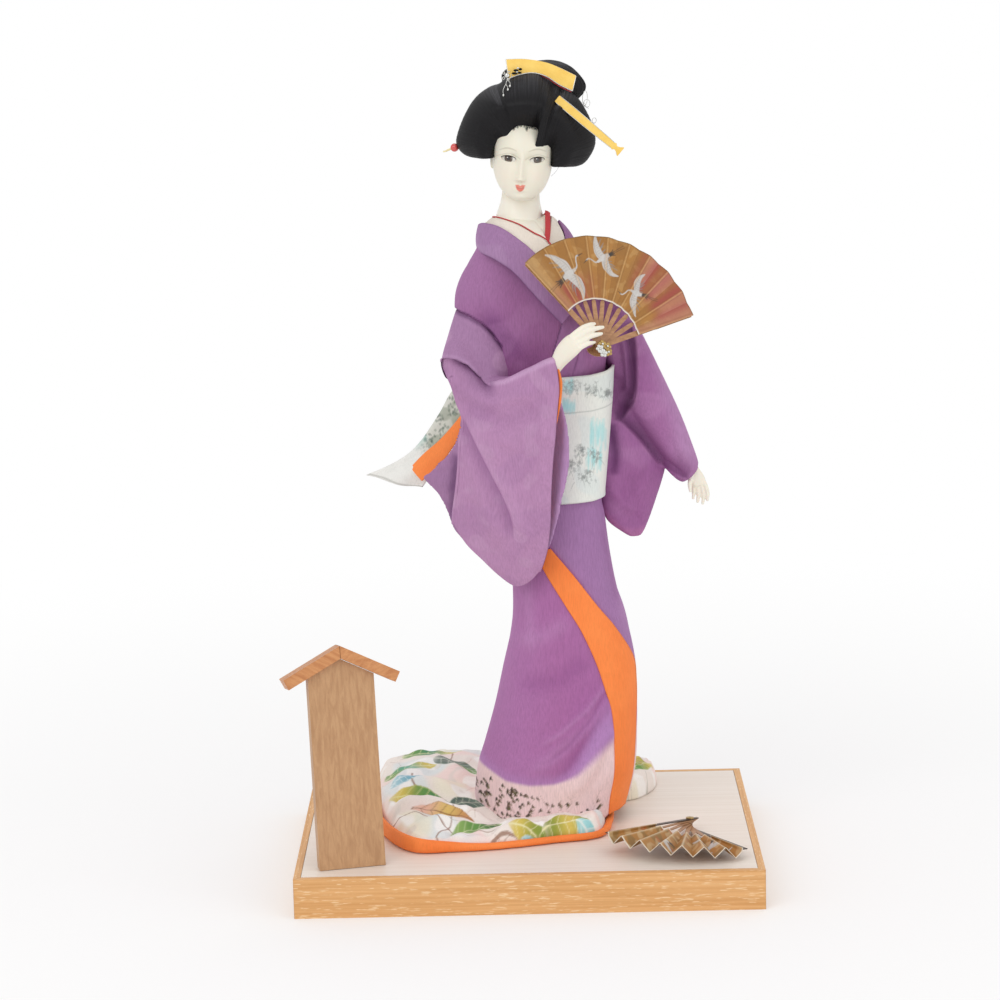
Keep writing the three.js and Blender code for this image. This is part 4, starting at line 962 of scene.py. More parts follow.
def build_bodice(purple):
    rows, columns = 90, 150
    heights, angles = np.meshgrid(
        np.linspace(WAIST - 14, SHOULDER, rows), np.linspace(-math.pi, math.pi, columns, endpoint=False),
        indexing="ij"
    )
    torso = body_points(heights, angles, 0.3 * np.sin(3 * angles + heights / 17))
    limbs = [closed(tube(path, count=40, sides=48)) for path in (RIGHT_SHOULDER, LEFT_SHOULDER)]
    made = merged("kimono_bodice_cloth", [closed(torso), *limbs], CLOTH_VOXEL, 8)
    fold_cloth(made, [*BODICE_FOLDS, (OVERLAP, 0.7, -0.7)])
    points = coordinates(made)
    seam = np.interp(points[:, 0], *np.array(ARMHOLE).T)
    under = smooth(seam - points[:, 2], -0.8, 1.8) * fall(points[:, 0], -11, -8)
    push(made, -3.5 * under * smooth(points[:, 1] - 2, -24, -8))
    points = coordinates(made)
    over = smooth(points[:, 0] - np.interp(points[:, 2], *np.array(OVERLAP)[::-1, ::-1].T), -0.5, 0.3)
    over *= fall(points[:, 1], -12, -5) * fall(points[:, 0], 36, 42)
    push(made, 0.45 * over)
    dress(made, purple, replaces=("kimono_bodice",))
    flat = coordinates(made)[:, [0, 2]]
    # A darker ground than the sleeves': painted shade on the bodice, which lies between them.
    canvas = Canvas(flat, "9a6293")
    # Painted light on the upper part towards the doll's right, and painted shade low on the front between the
    # sleeves.
    canvas.wash(smooth(flat[:, 1], 296, 326) * fall(flat[:, 0], -26, 4) * 0.55, "ae7dab")
    canvas.wash(fall(flat[:, 1], 284, 302) * fall(np.abs(flat[:, 0] - 4), 6, 20) * 0.35, "86487e")
    canvas.wash(over * 0.5, "a577a6")
    # Painted shade beside the right sleeve, in the armpit.
    canvas.wash(crease(flat, UNDERARM, 7.5, 0.4) * 0.6 * (coordinates(made)[:, 1] < 0), "6a3570")
    canvas.cloud(40, 41, "a671a0", 0.2, 0.4)
    # The seam lines and a line of painted shade in a narrow fold are drawn on the front alone, so the back is
    # moved out of their way on the canvas
    behind = coordinates(made)[:, 1] > 6
    canvas.uv = canvas.uv + behind[:, None] * np.array([300.0, 0])
    for line, strength in ((OVERLAP, 0.8), (BODICE_FOLDS[6][0], 0.45)):
        canvas.stroke(line, [0.5], "4a2550", strength, 0.4)
    canvas.stroke(np.array(ARMHOLE[:5]) + [0, 0.5], [0.9], "5a2f5c", 0.8, 0.6)
    canvas.put_on(made)


# The collars: each a band between two edges, from its lower end on top, round the neck, to the one beneath

COLLARS = {
    "kimono_collar": (
        [
            [36, -24, 318], [11.8, -22.5, 345.5], [2, -19, 354], [-9, -14, 361], [-17.5, -5, 362.5],
            [-20.8, 6, 360.4], [-17, 22, 358], [3, 31, 356], [20, 26, 357.5], [24.2, 13, 360],
            [25.6, 1, 361.4], [28.6, -8, 350.4], [20, -20.5, 338]
        ],
        [
            [25.8, -24.5, 305], [11.8, -24, 320.5], [-1.3, -22, 335.3], [-12, -17, 342.5], [-18.8, -7, 345],
            [-21, 5, 346], [-20, 22, 346], [3, 33.5, 346], [25, 28, 347], [33.5, 12, 348], [35.3, 0, 346.5],
            [37.5, -11, 339], [33, -20, 323]
        ]
    ),
    "under_collar": (
        [
            [28, -21, 338], [18, -20.6, 352.2], [9.9, -19.1, 357.3], [1.9, -16.6, 361.9],
            [-5.7, -12.8, 364.5], [-10.6, -7, 365.1], [-13.2, 3, 364.2], [-12.5, 14, 361.5],
            [3, 23.5, 360.5], [17, 17, 362.5], [20.4, 6, 364.4], [20.8, -5, 363.4], [18.8, -17, 352.5],
            [12, -21, 343]
        ],
        [
            [21, -22, 331], [10.6, -22, 344.5], [5, -20.3, 350], [-2.5, -16.8, 356], [-9, -13.3, 360],
            [-14.5, -8, 361], [-19, 4, 359.3], [-16.5, 19, 357.5], [3, 29.5, 356.5], [19.5, 24, 358.5],
            [23.2, 12, 360.8], [24.5, 0.5, 361], [28, -9, 350.5], [19, -20.8, 336]
        ]
    ),
    "red_collar": (
        [
            [24, -19.5, 345], [18.5, -20, 353.4], [10.4, -18.6, 358.1], [2.4, -16, 362.6],
            [-5.6, -12, 365.3], [-10.2, -6, 366], [-12.4, 4, 365.2], [-11, 15, 363.4], [3, 21.6, 362],
            [14.5, 15, 364], [17.4, 5, 366.4], [17.4, -4, 367.8], [16.6, -16.5, 354.5], [10, -19.5, 346]
        ],
        [
            [24, -20, 342.5], [18.4, -20.2, 352.9], [10.3, -18.8, 357.7], [2.3, -16.2, 362.3],
            [-5.7, -12.2, 365], [-10.3, -6.2, 365.7], [-12.6, 3.9, 364.9], [-11.6, 15, 362.9],
            [3, 22.8, 361], [16, 16.3, 362.8], [19.9, 5.5, 365], [20.3, -4.6, 366.2], [19.4, -17.4, 352.5],
            [13, -20.3, 343]
        ]
    )
}


def ribbon(inner, outer, length, width, crown=0.0):
    """A grid of points between two edges, bulging out by crown."""
    t, s = np.linspace(0, 1, length), np.linspace(0, 1, width)[None, :, None]
    a, b = along(inner, t)[:, None], along(outer, t)[:, None]
    grid = a * (1 - s) + b * s
    down, over = np.gradient(grid, axis=0), np.gradient(grid, axis=1)
    return grid + unit(np.cross(down, over)) * (crown * 4 * s * (1 - s))


def build_collars(purple, cream, red, skin):
    finishes = {"kimono_collar": (purple, 1.6, "purple_silk"), "under_collar": (cream, 1.0, "cream_silk"),
                "red_collar": (red, 0.5, "red_silk")}
    for name, (inner, outer) in COLLARS.items():
        material, thick, slot = finishes[name]
        grid = ribbon(inner, outer, 240, 20, 1.2 if name == "kimono_collar" else 0.3)
        made = grid_piece(name + "_cloth", grid, material, replaces=(name,), slot=slot)
        if name == "kimono_collar":
            flat = front_view(grid)
            canvas = Canvas(flat, "a47ba6")
            # Painted shade towards the doll's left, away from the key lamp.
            canvas.wash(smooth(flat[:, 0], 4, 24) * 0.55, "926292")
            canvas.cloud(30, 51, "ae8ab0", 0.1, 0.5)
            share = np.tile(np.linspace(0, 1, 20), 240)
            # Painted shade along the outer edge.
            canvas.wash(smooth(share, 0.93, 1) * 0.7, "5a3060")
            canvas.wash(fall(share, 0, 0.06) * 0.4, "8a5f92")
            canvas.put_on(made)
        thicken(made, thick, 0.0)
        soften(made, thick * 0.3)
    build_chest(skin)


def build_chest(skin):
    """The painted breast plate between the neck and the collars."""
    inner, outer = (np.array(edge[1:-1]) for edge in COLLARS["red_collar"])
    under = around((inner + outer) / 2, np.arange(160) / 160) + [0, 0.5, -0.7]
    middle = np.array([NECK["x"], NECK["y"]])
    ring = np.concatenate([middle + 12.6 * unit(under[:, :2] - middle), np.full((160, 1), NECK["z"])], axis=1)
    s = np.linspace(0, 1, 40)[:, None, None]
    grid = ring * (1 - s) + under * s
    grid[..., 2] += (1.2 * np.sin(math.pi * s[..., 0])) * fall(grid[..., 1], -14, 0)
    made = grid_piece("chest", grid, skin, ring=True, slot="skin")
    Canvas(front_view(grid), "f4efe2").put_on(made)
    thicken(made, 1.0)


# The sleeves

RIGHT_UPPER = [
    [-6, 6, 334, 9, 11], [-15, 5, 321, 14.6, 15.4], [-21.2, 3.2, 306, 15.4, 16], [-25.6, -0.5, 292, 16, 15.2],
    [-24.9, -4.5, 284, 20.8, 13.8], [-22, -8, 275, 18.5, 11], [-23, -9, 266, 9, 7],
]
RIGHT_FORE = [[-27, -4, 274, 8, 7], [-15, -17, 268, 7, 7], [2, -30, 270, 6.4, 6.8], [14, -38, 275, 5.6, 6.4]]
RIGHT_BACK = [
    [272, -33, 21, 4.5], [260, -32.5, 25, 4.5], [247, -33, 27.6, 4], [236, -35, 28.4, 3.8],
    [226, -41, 28.4, 3.6], [217, -48, 27, 3.4], [211, -54, 25.5, 3.2], [207.4, -58.8, 24.4, 3],
    [203.5, -55.5, 23.4, 3], [197, -49, 22.4, 3], [187, -44, 20, 2.8], [178, -40.6, 17.4, 2.6],
    [169, -32, 13.5, 2.4], [160, -19, 9, 2], [154, -7, 2, 1.4]
]
FOLD_OVER = [
    [-47, 283], [-45, 284.4], [-41, 285.2], [-36.4, 285], [-29.3, 282], [-24.5, 276.5], [-20, 271.5],
    [-15, 269]
]
LEFT_ARM_CLOTH = [
    [34, 7, 332, 9, 11], [42.5, 8, 318, 14.6, 15], [55, 11, 298, 14.4, 15.5], [68.4, 15, 272, 13.6, 14],
    [82.6, 19, 241, 13.4, 12], [93, 22, 220, 11, 9], [99, 23.6, 209.5, 8.6, 7.6],
    [101.6, 24.2, 206.4, 6.4, 6.4]
]
LEFT_BAG = [
    [276, 51, 80, 8], [262, 49.5, 84, 9], [250, 48.5, 88, 10], [234, 47.5, 89, 9.5], [218, 46.5, 88, 8.5],
    [204, 46.5, 85, 7.5], [192, 47.5, 81, 6.5], [181, 51, 77, 5], [173, 60, 73.5, 3], [169.6, 65, 71, 1.6]
]
RIGHT_PLANE = (-22, -0.62)  # a sleeve hangs in the plane y = near + slope * x
BACK_PLANE = (-17.5, -0.78)
LEFT_PLANE = (0, 0.32)


def flat_bag(rows, plane, fold, count=60):
    """A closed flat bag in an upright plane, from rows of [height, left x, right x, half thickness]."""
    z, left, right, half = sampled(rows, count).T[:, :, None]
    s = circle(60)
    x = (left + right) / 2 + (right - left) / 2 * np.cos(s)
    drop = np.linspace(0, 1, count)[:, None]
    wave = fold * drop * (right - left) * np.sin(5.2 * np.cos(s) + 1.2) * (1 - np.cos(s) ** 4)
    y = plane[0] + plane[1] * x + wave + half * bulge(np.sin(s), 2.4)
    return closed(np.stack([x, y, z + 0 * x], axis=-1))


def fold_cloth(made, folds, facing=-1.0, ledges=(), soft=0.6):
    """Lifts and sinks the cloth along curves of [x, z] and beside ledges, on its -Y or its +Y side."""
    points, towards = coordinates(made), normals(made)
    side = smooth(towards[:, 1] * facing, 0.0, 0.5)
    amount = np.zeros(len(points))
    for path, width, depth in folds:
        amount += depth * crease(points[:, [0, 2]], path, width) * side
    for path, reach, lift, sink in ledges:
        step = ledge(points[:, [0, 2]], path, reach, soft=soft)
        amount += np.where(step > 0, lift, sink) * step * side
    push(made, amount)


# The right sleeve's front layer: its four edges as [x, z], and its folds
FRONT_TOP = [
    [-44.2, 282.2], [-40.4, 284.2], [-35.2, 284.2], [-29, 281.6], [-22, 274], [-15.1, 270.6], [-8, 272],
    [-2.6, 274.6], [4, 278.4], [10, 281.6], [16, 285], [20.4, 286.8]
]
FRONT_FOOT = [
    [-39.4, 183], [-32.4, 172], [-22.6, 163.2], [-13.3, 155.2], [-5.4, 150.4], [-0.5, 150.8], [4.5, 154.4],
    [9.5, 160.4]
]
FRONT_LEFT = [
    [-44.2, 282.2], [-41.6, 276], [-38, 268], [-35.3, 258], [-32.6, 251], [-32, 243.5], [-34, 235],
    [-35.2, 218], [-36.8, 204], [-38.6, 192], [-39.4, 183]
]
FRONT_SLIT = [
    [20.4, 286.8], [21.8, 271.6], [20.4, 257], [19.2, 243], [17.4, 226], [16.2, 208], [15.4, 190],
    [13.4, 174], [9.5, 160.4]
]
FRONT_FOLDS = [
    ([[-36, 246], [-29, 220], [-20, 192], [-11, 170]], 4.4, 2.6),
    ([[-22, 248], [-12, 222], [-2, 196], [5, 174]], 6.0, 1.6),
    ([[-42, 277], [-34, 269], [-20, 260], [-4, 264], [14, 277]], 4.0, 1.8),
    ([[-40, 272], [-28, 257], [-10, 250], [6, 256], [19, 270]], 5.5, -1.9),
    ([[-36, 256], [-16, 238], [6, 240], [19, 254]], 7.0, 1.5),
    ([[15, 266], [13, 236], [10, 200], [7, 176]], 3.4, 1.4),
    ([[10, 262], [7, 232], [3, 200]], 3.0, -1.2),
    ([[-35, 226], [-35, 204], [-30, 182]], 2.6, 1.2),
    ([[-18, 200], [-12, 184], [-6, 166]], 3.0, 1.0),
]
FRONT_LEDGES = [
    (
        [
            [-31, 252], [-30.3, 247.4], [-21.5, 228.4], [-15.4, 216.4], [-8.2, 201.5], [-4.4, 189.5],
            [-4, 178]
        ],
        6.5, 1.0, 2.6
    )
]


def front_depth(x, share):
    """How far back the front layer lies, at a share of its height down from the top edge."""
    ahead = 15.5 * (1 - share) ** 1.15 + 6 * np.sin(math.pi * np.clip(share, 0, 1)) * smooth(x, -38, -18)
    ahead = ahead * (0.7 + 0.3 * smooth(x, -48.5, -38))
    tucked = (2 + 7 * smooth(x, -42, -28)) * fall(x, -20, -12) * bell(share * 105, 6.5)
    return RIGHT_PLANE[0] + RIGHT_PLANE[1] * x + 1 - ahead + tucked


def build_front_layer(purple):
    rows, columns = 260, 160
    t, s = np.linspace(0, 1, rows)[:, None, None], np.linspace(0, 1, columns)[None, :, None]
    top, foot = along(FRONT_TOP, s[0, :, 0])[None], along(FRONT_FOOT, s[0, :, 0])[None]
    left, right = along(FRONT_LEFT, t[:, 0, 0])[:, None], along(FRONT_SLIT, t[:, 0, 0])[:, None]
    corners = (
        (1 - s) * (1 - t) * top[:, :1] + s * (1 - t) * top[:, -1:] + (1 - s) * t * foot[:, :1]
        + s * t * foot[:, -1:]
    )
    flat = (1 - t) * top + t * foot + (1 - s) * left + s * right - corners
    x, z = flat[..., 0], flat[..., 1]
    s, t = s[..., 0], t[..., 0]
    y = front_depth(x, t)
    flat = flat.reshape(-1, 2)
    for path, width, depth in FRONT_FOLDS:
        y -= (depth * crease(flat, path, width)).reshape(y.shape)
    for path, reach, lift, sink in FRONT_LEDGES:
        step = ledge(flat, path, reach).reshape(y.shape)
        y -= np.where(step > 0, lift, sink) * step
    y -= 0.25 * ripple(flat, 16, 61).reshape(y.shape)
    grid = np.stack([x, y, z], axis=-1)
    # The top edge rolls back and runs down behind
    lip = 0.5 + 1.5 * smooth(grid[0, :, 0], -20, -10)
    drop = 9.0 - 8 * fall(grid[0, :, 0], -41, -30)
    turn = np.linspace(math.pi, 0.12, 12)
    over = [grid[0] + np.stack([0 * lip, lip * (1 - math.cos(a)), lip * math.sin(a)], axis=-1) for a in turn]
    behind = [grid[0] + np.stack([0 * lip, 2 * lip, -drop * k], axis=-1) for k in np.linspace(1, 0.1, 10)]
    grid = np.concatenate([behind, over, grid])
    # The left edge curls back, and the right one is turned in as a narrow hem
    turn = np.linspace(0.85 * math.pi, 0.12, 12)
    curl = np.interp(np.arange(len(grid)), [0, 22, 40, len(grid) - 1], [1.0, 1.0, 1.8, 3.4])
    aside = [np.stack([-curl * math.sin(a) * 0.4, curl * (1 - math.cos(a)), 0 * curl], axis=-1) for a in turn]
    aside = np.stack([grid[:, 0] + step for step in aside], axis=1)
    hem = [np.array([0.5 * math.sin(a), 0.9 * (1 - math.cos(a)), 0]) for a in np.linspace(0.2, 2.9, 8)]
    hem = np.stack([grid[:, -1] + step for step in hem], axis=1)
    grid = np.concatenate([aside, grid, hem], axis=1)
    rows, columns = grid.shape[:2]
    made = grid_piece("right_sleeve_front", grid, purple, slot="purple_silk")
    flat = front_view(grid)
    # A lighter ground than the bodice's: painted light on the front layer, which faces the lamps.
    canvas = sleeve_canvas(flat, "b98ab2")
    edge = np.tile(np.arange(columns), rows)
    # Painted shade on the narrow hem turned in along the slit.
    canvas.wash((edge > columns - 7) * 0.75, "5a2f58")
    # Painted shade on the left of the sharp fold and a painted highlight on its right.
    fold = ledge(flat, FRONT_LEDGES[0][0], 6.5, 0.1, 0.5)
    canvas.wash(np.clip(-fold, 0, 1) * 0.42, "7d4d80")
    canvas.wash(np.clip(fold, 0, 1) * 0.3, "cda2c8")
    # Painted shade in the sunk fold below the top.
    canvas.wash(crease(flat, FRONT_FOLDS[3][0], 6, 0.1) * 0.16, "8a5c8c")
    # A painted highlight along the rolled top edge.
    canvas.wash(bell(near(flat, np.array(FRONT_TOP[5:]) + [0, 1])[0], 1.3) * 0.45, "dcb6da")
    # Painted shade in the hollow under the top edge at the left.
    tuck = (
        fall(near(flat, FRONT_TOP[:6])[0], 0, 11) * smooth(flat[:, 0], -44, -30)
        * fall(flat[:, 0], -18, -10)
    )
    canvas.wash(tuck * 0.55, "65406c")
    canvas.put_on(made)
    thicken(made, 1.0)


def sleeve_canvas(flat, ground):
    canvas = Canvas(flat, ground)
    canvas.cloud(45, 63, "b082ac", 0.1, 0.6)
    canvas.cloud(22, 64, "c096ba", 0.5, 0.5)
    return canvas


def build_right_sleeve(purple, orange):
    forms = [closed(tube(path, count=60, sides=48)) for path in (RIGHT_UPPER, RIGHT_FORE)]
    forms.append(flat_bag(RIGHT_BACK, BACK_PLANE, fold=0.03, count=110))
    made = merged("right_sleeve_cloth", forms, CLOTH_VOXEL, 8)
    fold_cloth(made, [
        ([[-34, 304], [-26, 290], [-16, 272]], 5, -1.2),
        ([[-43, 297], [-34, 286], [-22, 272]], 4, 1.2),
        ([[-20, 303], [-13, 292], [-8, 280]], 4, 1.0),
        ([[27, 262], [26, 236], [23, 210], [19, 186]], 2.5, 0.8),
        ([[-47, 216], [-44, 208], [-38, 200]], 3, -0.9),
        ([[-37, 222], [-40, 200], [-41, 182]], 3, -2.0),
    ])
    points = coordinates(made)
    under = (
        smooth(np.interp(points[:, 0], *np.array(FOLD_OVER).T) - points[:, 2], 0, 1.6)
        * fall(points[:, 0], -15, -10)
    )
    points[:, 1] += 7.5 * under * smooth(points[:, 2], 250, 258) * fall(normals(made)[:, 1], -0.5, -0.1)
    set_coordinates(made, points)
    seam = np.interp(points[:, 0], *np.array(ARMHOLE).T)
    above = smooth(points[:, 2] - seam, -1.0, 1.8)
    push(made, -6 * above * smooth(8 - points[:, 1], 0, 6) * fall(points[:, 0], -7, -4))
    fold_cloth(made, [
        ([[-40, 290], [-36, 250], [-20, 180]], 6, 2.4),
        ([[-20, 270], [-22, 230], [-12, 175]], 5, -2.2),
        ([[0, 262], [-6, 220], [-2, 170]], 6, 2.2),
        ([[18, 262], [14, 220], [8, 176]], 5, -1.6),
        ([[-50, 222], [-44, 206], [-34, 188]], 4, 1.6),
    ], facing=1.0)
    dress(made, purple, replaces=("right_sleeve", "right_arm_core"))
    points = coordinates(made)
    canvas = sleeve_canvas(points[:, [0, 2]], "a87ea6")
    flat = points[:, [0, 2]]
    # Painted light on the back layer right of the slit, which lies in the front layer's shadow.
    canvas.wash(smooth(points[:, 0], 8, 16) * fall(points[:, 2], 262, 272) * 0.6, "c095c6")
    # Painted shade low on the far left, beside the front layer's left edge.
    canvas.wash(fall(points[:, 0], -42, -34) * fall(points[:, 2], 250, 262) * 0.3, "9a7098")
    # Painted shade in the valley under the fold-over.
    canvas.wash(under * smooth(points[:, 2], 262, 266) * 0.6, "5a355f")
    # Painted shade in the deep fold at the left.
    canvas.wash(crease(flat, [[-37, 226], [-40, 204], [-41, 180]], 3.2, 0.1) * 0.6, "62386a")
    # A line of painted shade just under the bodice's edge at the armhole.
    canvas.wash(
        bell(near(flat, np.array(ARMHOLE[:5]) - [0, 1.4])[0], 1.1) * (points[:, 1] < 4) * 0.65, "5a2f5e"
    )
    # A painted highlight along the fold-over's edge.
    canvas.wash(bell(near(flat, np.array(FOLD_OVER[1:6]) + [0, 1.2])[0], 1.0) * 0.3, "cfa6cf")
    canvas.put_on(made)
    build_front_layer(purple)

    t = np.linspace(0, 1, 90)
    edge = along(FRONT_SLIT, t * 0.8)
    show = np.interp(t, [0, 0.05, 0.12, 0.26, 0.36, 0.46, 1], [0.8, 2.2, 3.2, 2.6, 1.8, 0.5, 0.3])
    share = np.linspace(0, 1, 12)[None, :]
    x = edge[:, :1] - 6 + (6 + show[:, None]) * share
    z = edge[:, 1:] + 0 * x
    y = front_depth(x, t[:, None] * 0.8) + 2.6 + 0.6 * np.sin(z / 3.2 + 4 * share)
    made = grid_piece("right_sleeve_lining_cloth", np.stack([x, y, z], axis=-1), orange,
                      replaces=("right_sleeve_lining",), slot="orange_silk")
    thicken(made, 0.8, 0.0)


# The sharp edges of the folds round the left arm: (path, reach, lift on the right, sink on the left)
LEFT_LEDGES = [
    ([[67, 304], [70, 290], [70.4, 277], [69.8, 262], [67, 250.6], [60.5, 240]], 8.0, 0.6, 5.4),
    (
        [[101, 203.6], [94, 206], [84.9, 211.6], [80.4, 215.6], [71, 228.6], [61, 239.6], [54, 242]], 7.0,
        0.6, 3.4
    )
]


def build_left_sleeve(purple):
    arm = closed(tube(LEFT_ARM_CLOTH, count=60, sides=48))
    made = merged("left_sleeve_cloth", [arm, flat_bag(LEFT_BAG, LEFT_PLANE, fold=0.035)], CLOTH_VOXEL, 7)
    fold_cloth(made, [
        ([[52, 306], [58, 288], [60, 270], [58, 254], [54, 246]], 4.0, -3.0),
        ([[62, 300], [63, 280], [62, 262], [58, 250]], 1.8, 1.6),
        ([[74, 300], [82, 270], [88, 244]], 7, 1.0),
        ([[50, 206], [58, 196], [68, 184]], 3.4, 2.0),
        ([[53, 240], [56, 222], [55, 208]], 2.8, -2.2),
        ([[78, 216], [74, 204], [66, 192]], 3.0, 1.4),
        ([[68, 212], [64, 200], [60, 190]], 3.0, -1.4),
        ([[96, 226], [100, 216], [103, 208]], 2.2, 0.8),
        ([[84, 240], [92, 222], [96, 209]], 3.0, -1.0),
        ([[66, 186], [70, 180], [71, 174]], 3, -1.0),
    ], ledges=LEFT_LEDGES, soft=2.6)
    fold_cloth(made, [
        ([[84, 280], [92, 250], [96, 226]], 5, -1.8),
        ([[70, 262], [64, 224], [60, 186]], 5, 2.4),
        ([[82, 240], [76, 212], [70, 184]], 4, -2.0),
    ], facing=1.0)
    dress(made, purple, replaces=("left_sleeve", "left_arm_core"))
    points = coordinates(made)
    flat = points[:, [0, 2]]
    canvas = Canvas(flat, "a86ea2")
    canvas.cloud(40, 65, "b680b0", 0.1, 0.6)
    # Painted light on the outer side of the arm.
    canvas.wash(
        smooth(flat[:, 0] - np.interp(flat[:, 1], [200, 240, 280, 310], [92, 88, 78, 66]), -5, 9) * 0.6,
        "bb90ba"
    )
    ahead = coordinates(made)[:, 1] < 24
    # Painted shade beside the sharp folds: deep on their sunk side, slight on their raised side.
    for (path, reach, _, _), dark in zip(LEFT_LEDGES, (0.85, 0.7)):
        step = ledge(flat, path, reach + 1, 0.06, 1.6)
        canvas.wash(np.clip(-step, 0, 1) * dark * ahead, "4c1a4c")
        canvas.wash(np.clip(step, 0, 1) * 0.25 * ahead, "8e4a8c")
    # Painted shade where the sleeve meets the body, and in the fold and hollow beside it.
    canvas.wash(fall(flat[:, 0], 50, 68) * smooth(flat[:, 1], 244, 254) * 0.45 * ahead, "6a2f66")
    canvas.wash(crease(flat, [[53, 242], [56, 222], [55, 208]], 4, 0.1) * 0.7 * ahead, "54205a")
    canvas.wash(fall(flat[:, 0], 48, 53) * fall(flat[:, 1], 240, 250) * 0.5 * ahead, "5c2a60")
    canvas.wash(fall(flat[:, 1], 208, 226) * 0.35, "8c4a84")
    canvas.wash(
        fall(
            flat[:, 1] - np.interp(flat[:, 0], [47, 52, 60, 66, 74], [189, 180, 172, 169.5, 171]), 2, 7
        ) * 0.6,
        "bc78a6"
    )
    canvas.put_on(made)


# The obi

OBI = {"bottom": 196, "top": 271.8, "thick": 3.2, "wrap": 250.4}
OBI_RISE = ([-40, 24, 42, 50, 57], [-1.2, 0.7, 1.5, 2.8, 4.8])
OBI_RIGHT = ([199.5, 226.9, 254.9, 274.4], [50.1, 52.9, 55.5, 56.6])


def build_obi(brocade, orange):
    rows, columns = 170, 420
    share = np.linspace(0, 1, rows)[:, None] + np.zeros((1, columns))
    s = circle(columns) + np.zeros((rows, 1))
    z = OBI["bottom"] + (OBI["top"] - OBI["bottom"]) * share
    x, y, a, b = np.moveaxis(body_at(z), -1, 0)
    edge = np.minimum(share, 1 - share)
    wide = (
        OBI["thick"] - 1.5 * (1 - smooth(edge, 0, 0.012))
        + 0.5 * smooth(z, OBI["wrap"] - 0.3, OBI["wrap"] + 0.3)
    )
    wide = wide + 0.25 * np.sin(5 * s + z / 14)
    wider = np.interp(z, *OBI_RIGHT) - (x + a + wide)
    px = x + (a + wide + wider * smooth(np.cos(s), 0.1, 0.8)) * bulge(np.cos(s), 2.6)
    py = y + (b + wide) * bulge(np.sin(s), 2.6)
    pz = z + np.interp(px, *OBI_RISE) - 0.75 * (py - y) / b
    points = np.stack([px, py, pz], axis=-1)
    made = grid_piece("obi_band_cloth", points, brocade, ring=True, out=True,
                      replaces=("obi_band",), slot="obi_brocade")
    canvas = Canvas(np.stack([np.where(s < math.pi, -px - 200, px).ravel(), pz.ravel()], axis=-1), "e9ebe4")
    paint_obi(canvas)
    # Painted shade along the step where the upper wrap lies over the lower one.
    canvas.wash(bell(z.ravel() - OBI["wrap"], 0.35) * 0.5, "8a918d")
    canvas.put_on(made)
    thicken(made, 1.6)
    build_knot(brocade)
    build_tail(brocade, orange)


def paint_obi(canvas):
    canvas.cloud(30, 71, "dfe6e2", 0.0, 0.8)
    draw = np.random.default_rng(72)
    for u, w, wide, high in (
        (27, 268, 6, 5), (29, 256, 5, 5), (46, 238, 6, 11), (43, 223, 6, 8), (20, 232, 5, 7),
        (-16, 250, 8, 9), (-190, 262, 9, 8), (-214, 232, 8, 12), (-236, 258, 8, 9), (-176, 226, 7, 9)
    ):
        for _ in range(30):
            a, h = u + draw.uniform(-wide, wide) * 0.8, w + draw.uniform(-high, high) * 0.45
            length = draw.uniform(0.3, 0.7) * high
            canvas.stroke([[a, h - length], [a + 0.2, h + length]], [0.9, 1.3], "a2dfe0", 0.3, 0.7)
    for u, w, spread in (
        (30, 268, 5), (42, 266, 5), (31, 222, 4), (38, 214, 4.5), (44, 226, 4), (36, 230, 3), (52, 262, 2),
        (-20, 262, 4), (-8, 230, 4), (-196, 250, 5), (-186, 212, 5), (-222, 262, 5), (-232, 216, 5),
        (-206, 218, 5)
    ):
        for _ in range(30):
            a, h = u + draw.normal(0, 0.55) * spread, w + draw.normal(0, 0.5) * spread
            turn = draw.uniform(0, 360)
            for k in range(draw.integers(2, 5)):
                angle = math.radians(turn + 72 * k)
                petal = (a + 0.7 * math.cos(angle), h + 0.7 * math.sin(angle))
                canvas.disc(
                    petal, (0.5, 0.26), math.degrees(angle), draw.choice(["838a87", "9ba19f", "6a706d"]),
                    0.38, 0.55
                )
        for _ in range(7):
            a, h = u + draw.normal(0, 3), w + draw.normal(0, 3)
            bend = draw.uniform(-2, 2)
            canvas.curve(
                [[a, h], [a + bend, h - 2.2], [a + bend * 1.6, h - 4.5]], [0.4, 0.2], "868f8b", strength=0.5
            )


KNOT = {"x": 18, "y": 47, "z": 243, "half": (27, 13.5, 22)}


def build_knot(brocade):
    """The drum-shaped tie at the back."""
    rows = [
        [-1.0, 0.55], [-0.97, 0.74], [-0.85, 0.92], [-0.6, 1.0], [-0.25, 0.97], [0, 0.9], [0.25, 0.97],
        [0.6, 1.0], [0.85, 0.92], [0.97, 0.74], [1.0, 0.55]
    ]
    wide, deep, high = KNOT["half"]
    path = [[KNOT["x"] + wide * x, KNOT["y"], KNOT["z"], deep * s, high * s] for x, s in rows]
    grid = tube(path, side=(0, 1, 0), count=120, sides=120, power=3.0)
    s = circle(120)
    middle = grid.mean(1, keepdims=True)
    out = unit(grid - middle)
    level = grid[..., 2] - KNOT["z"]
    lift = -0.9 * bell(level - 8, 0.8) - 0.9 * bell(level + 9, 0.8)
    lift += 0.35 * np.sin(grid[..., 0] / 5 + np.sin(s * 2)) + 0.5 * bell(grid[..., 0] - KNOT["x"], 5)
    points, faces = closed(grid + out * lift[..., None])
    made = piece("obi_knot_cloth", points, faces, brocade, replaces=("obi_knot",), slot="obi_brocade")
    canvas = Canvas(np.stack([-points[:, 0] - 188, points[:, 2]], axis=-1), "e6e9e2")
    paint_obi(canvas)
    canvas.put_on(made)


TAIL_TOP = [
    [-4, 48, 262], [-20, 49, 262], [-37, 51, 257], [-47, 54, 241], [-60, 58, 222.5], [-73, 62, 211.5],
    [-94, 66, 201.5]
]
TAIL_FOOT = [
    [-4, 40, 236], [-18, 38, 237], [-30, 40, 238], [-38, 43, 226.5], [-47, 46, 213.5], [-55, 48, 204.5],
    [-60, 50, 196]
]


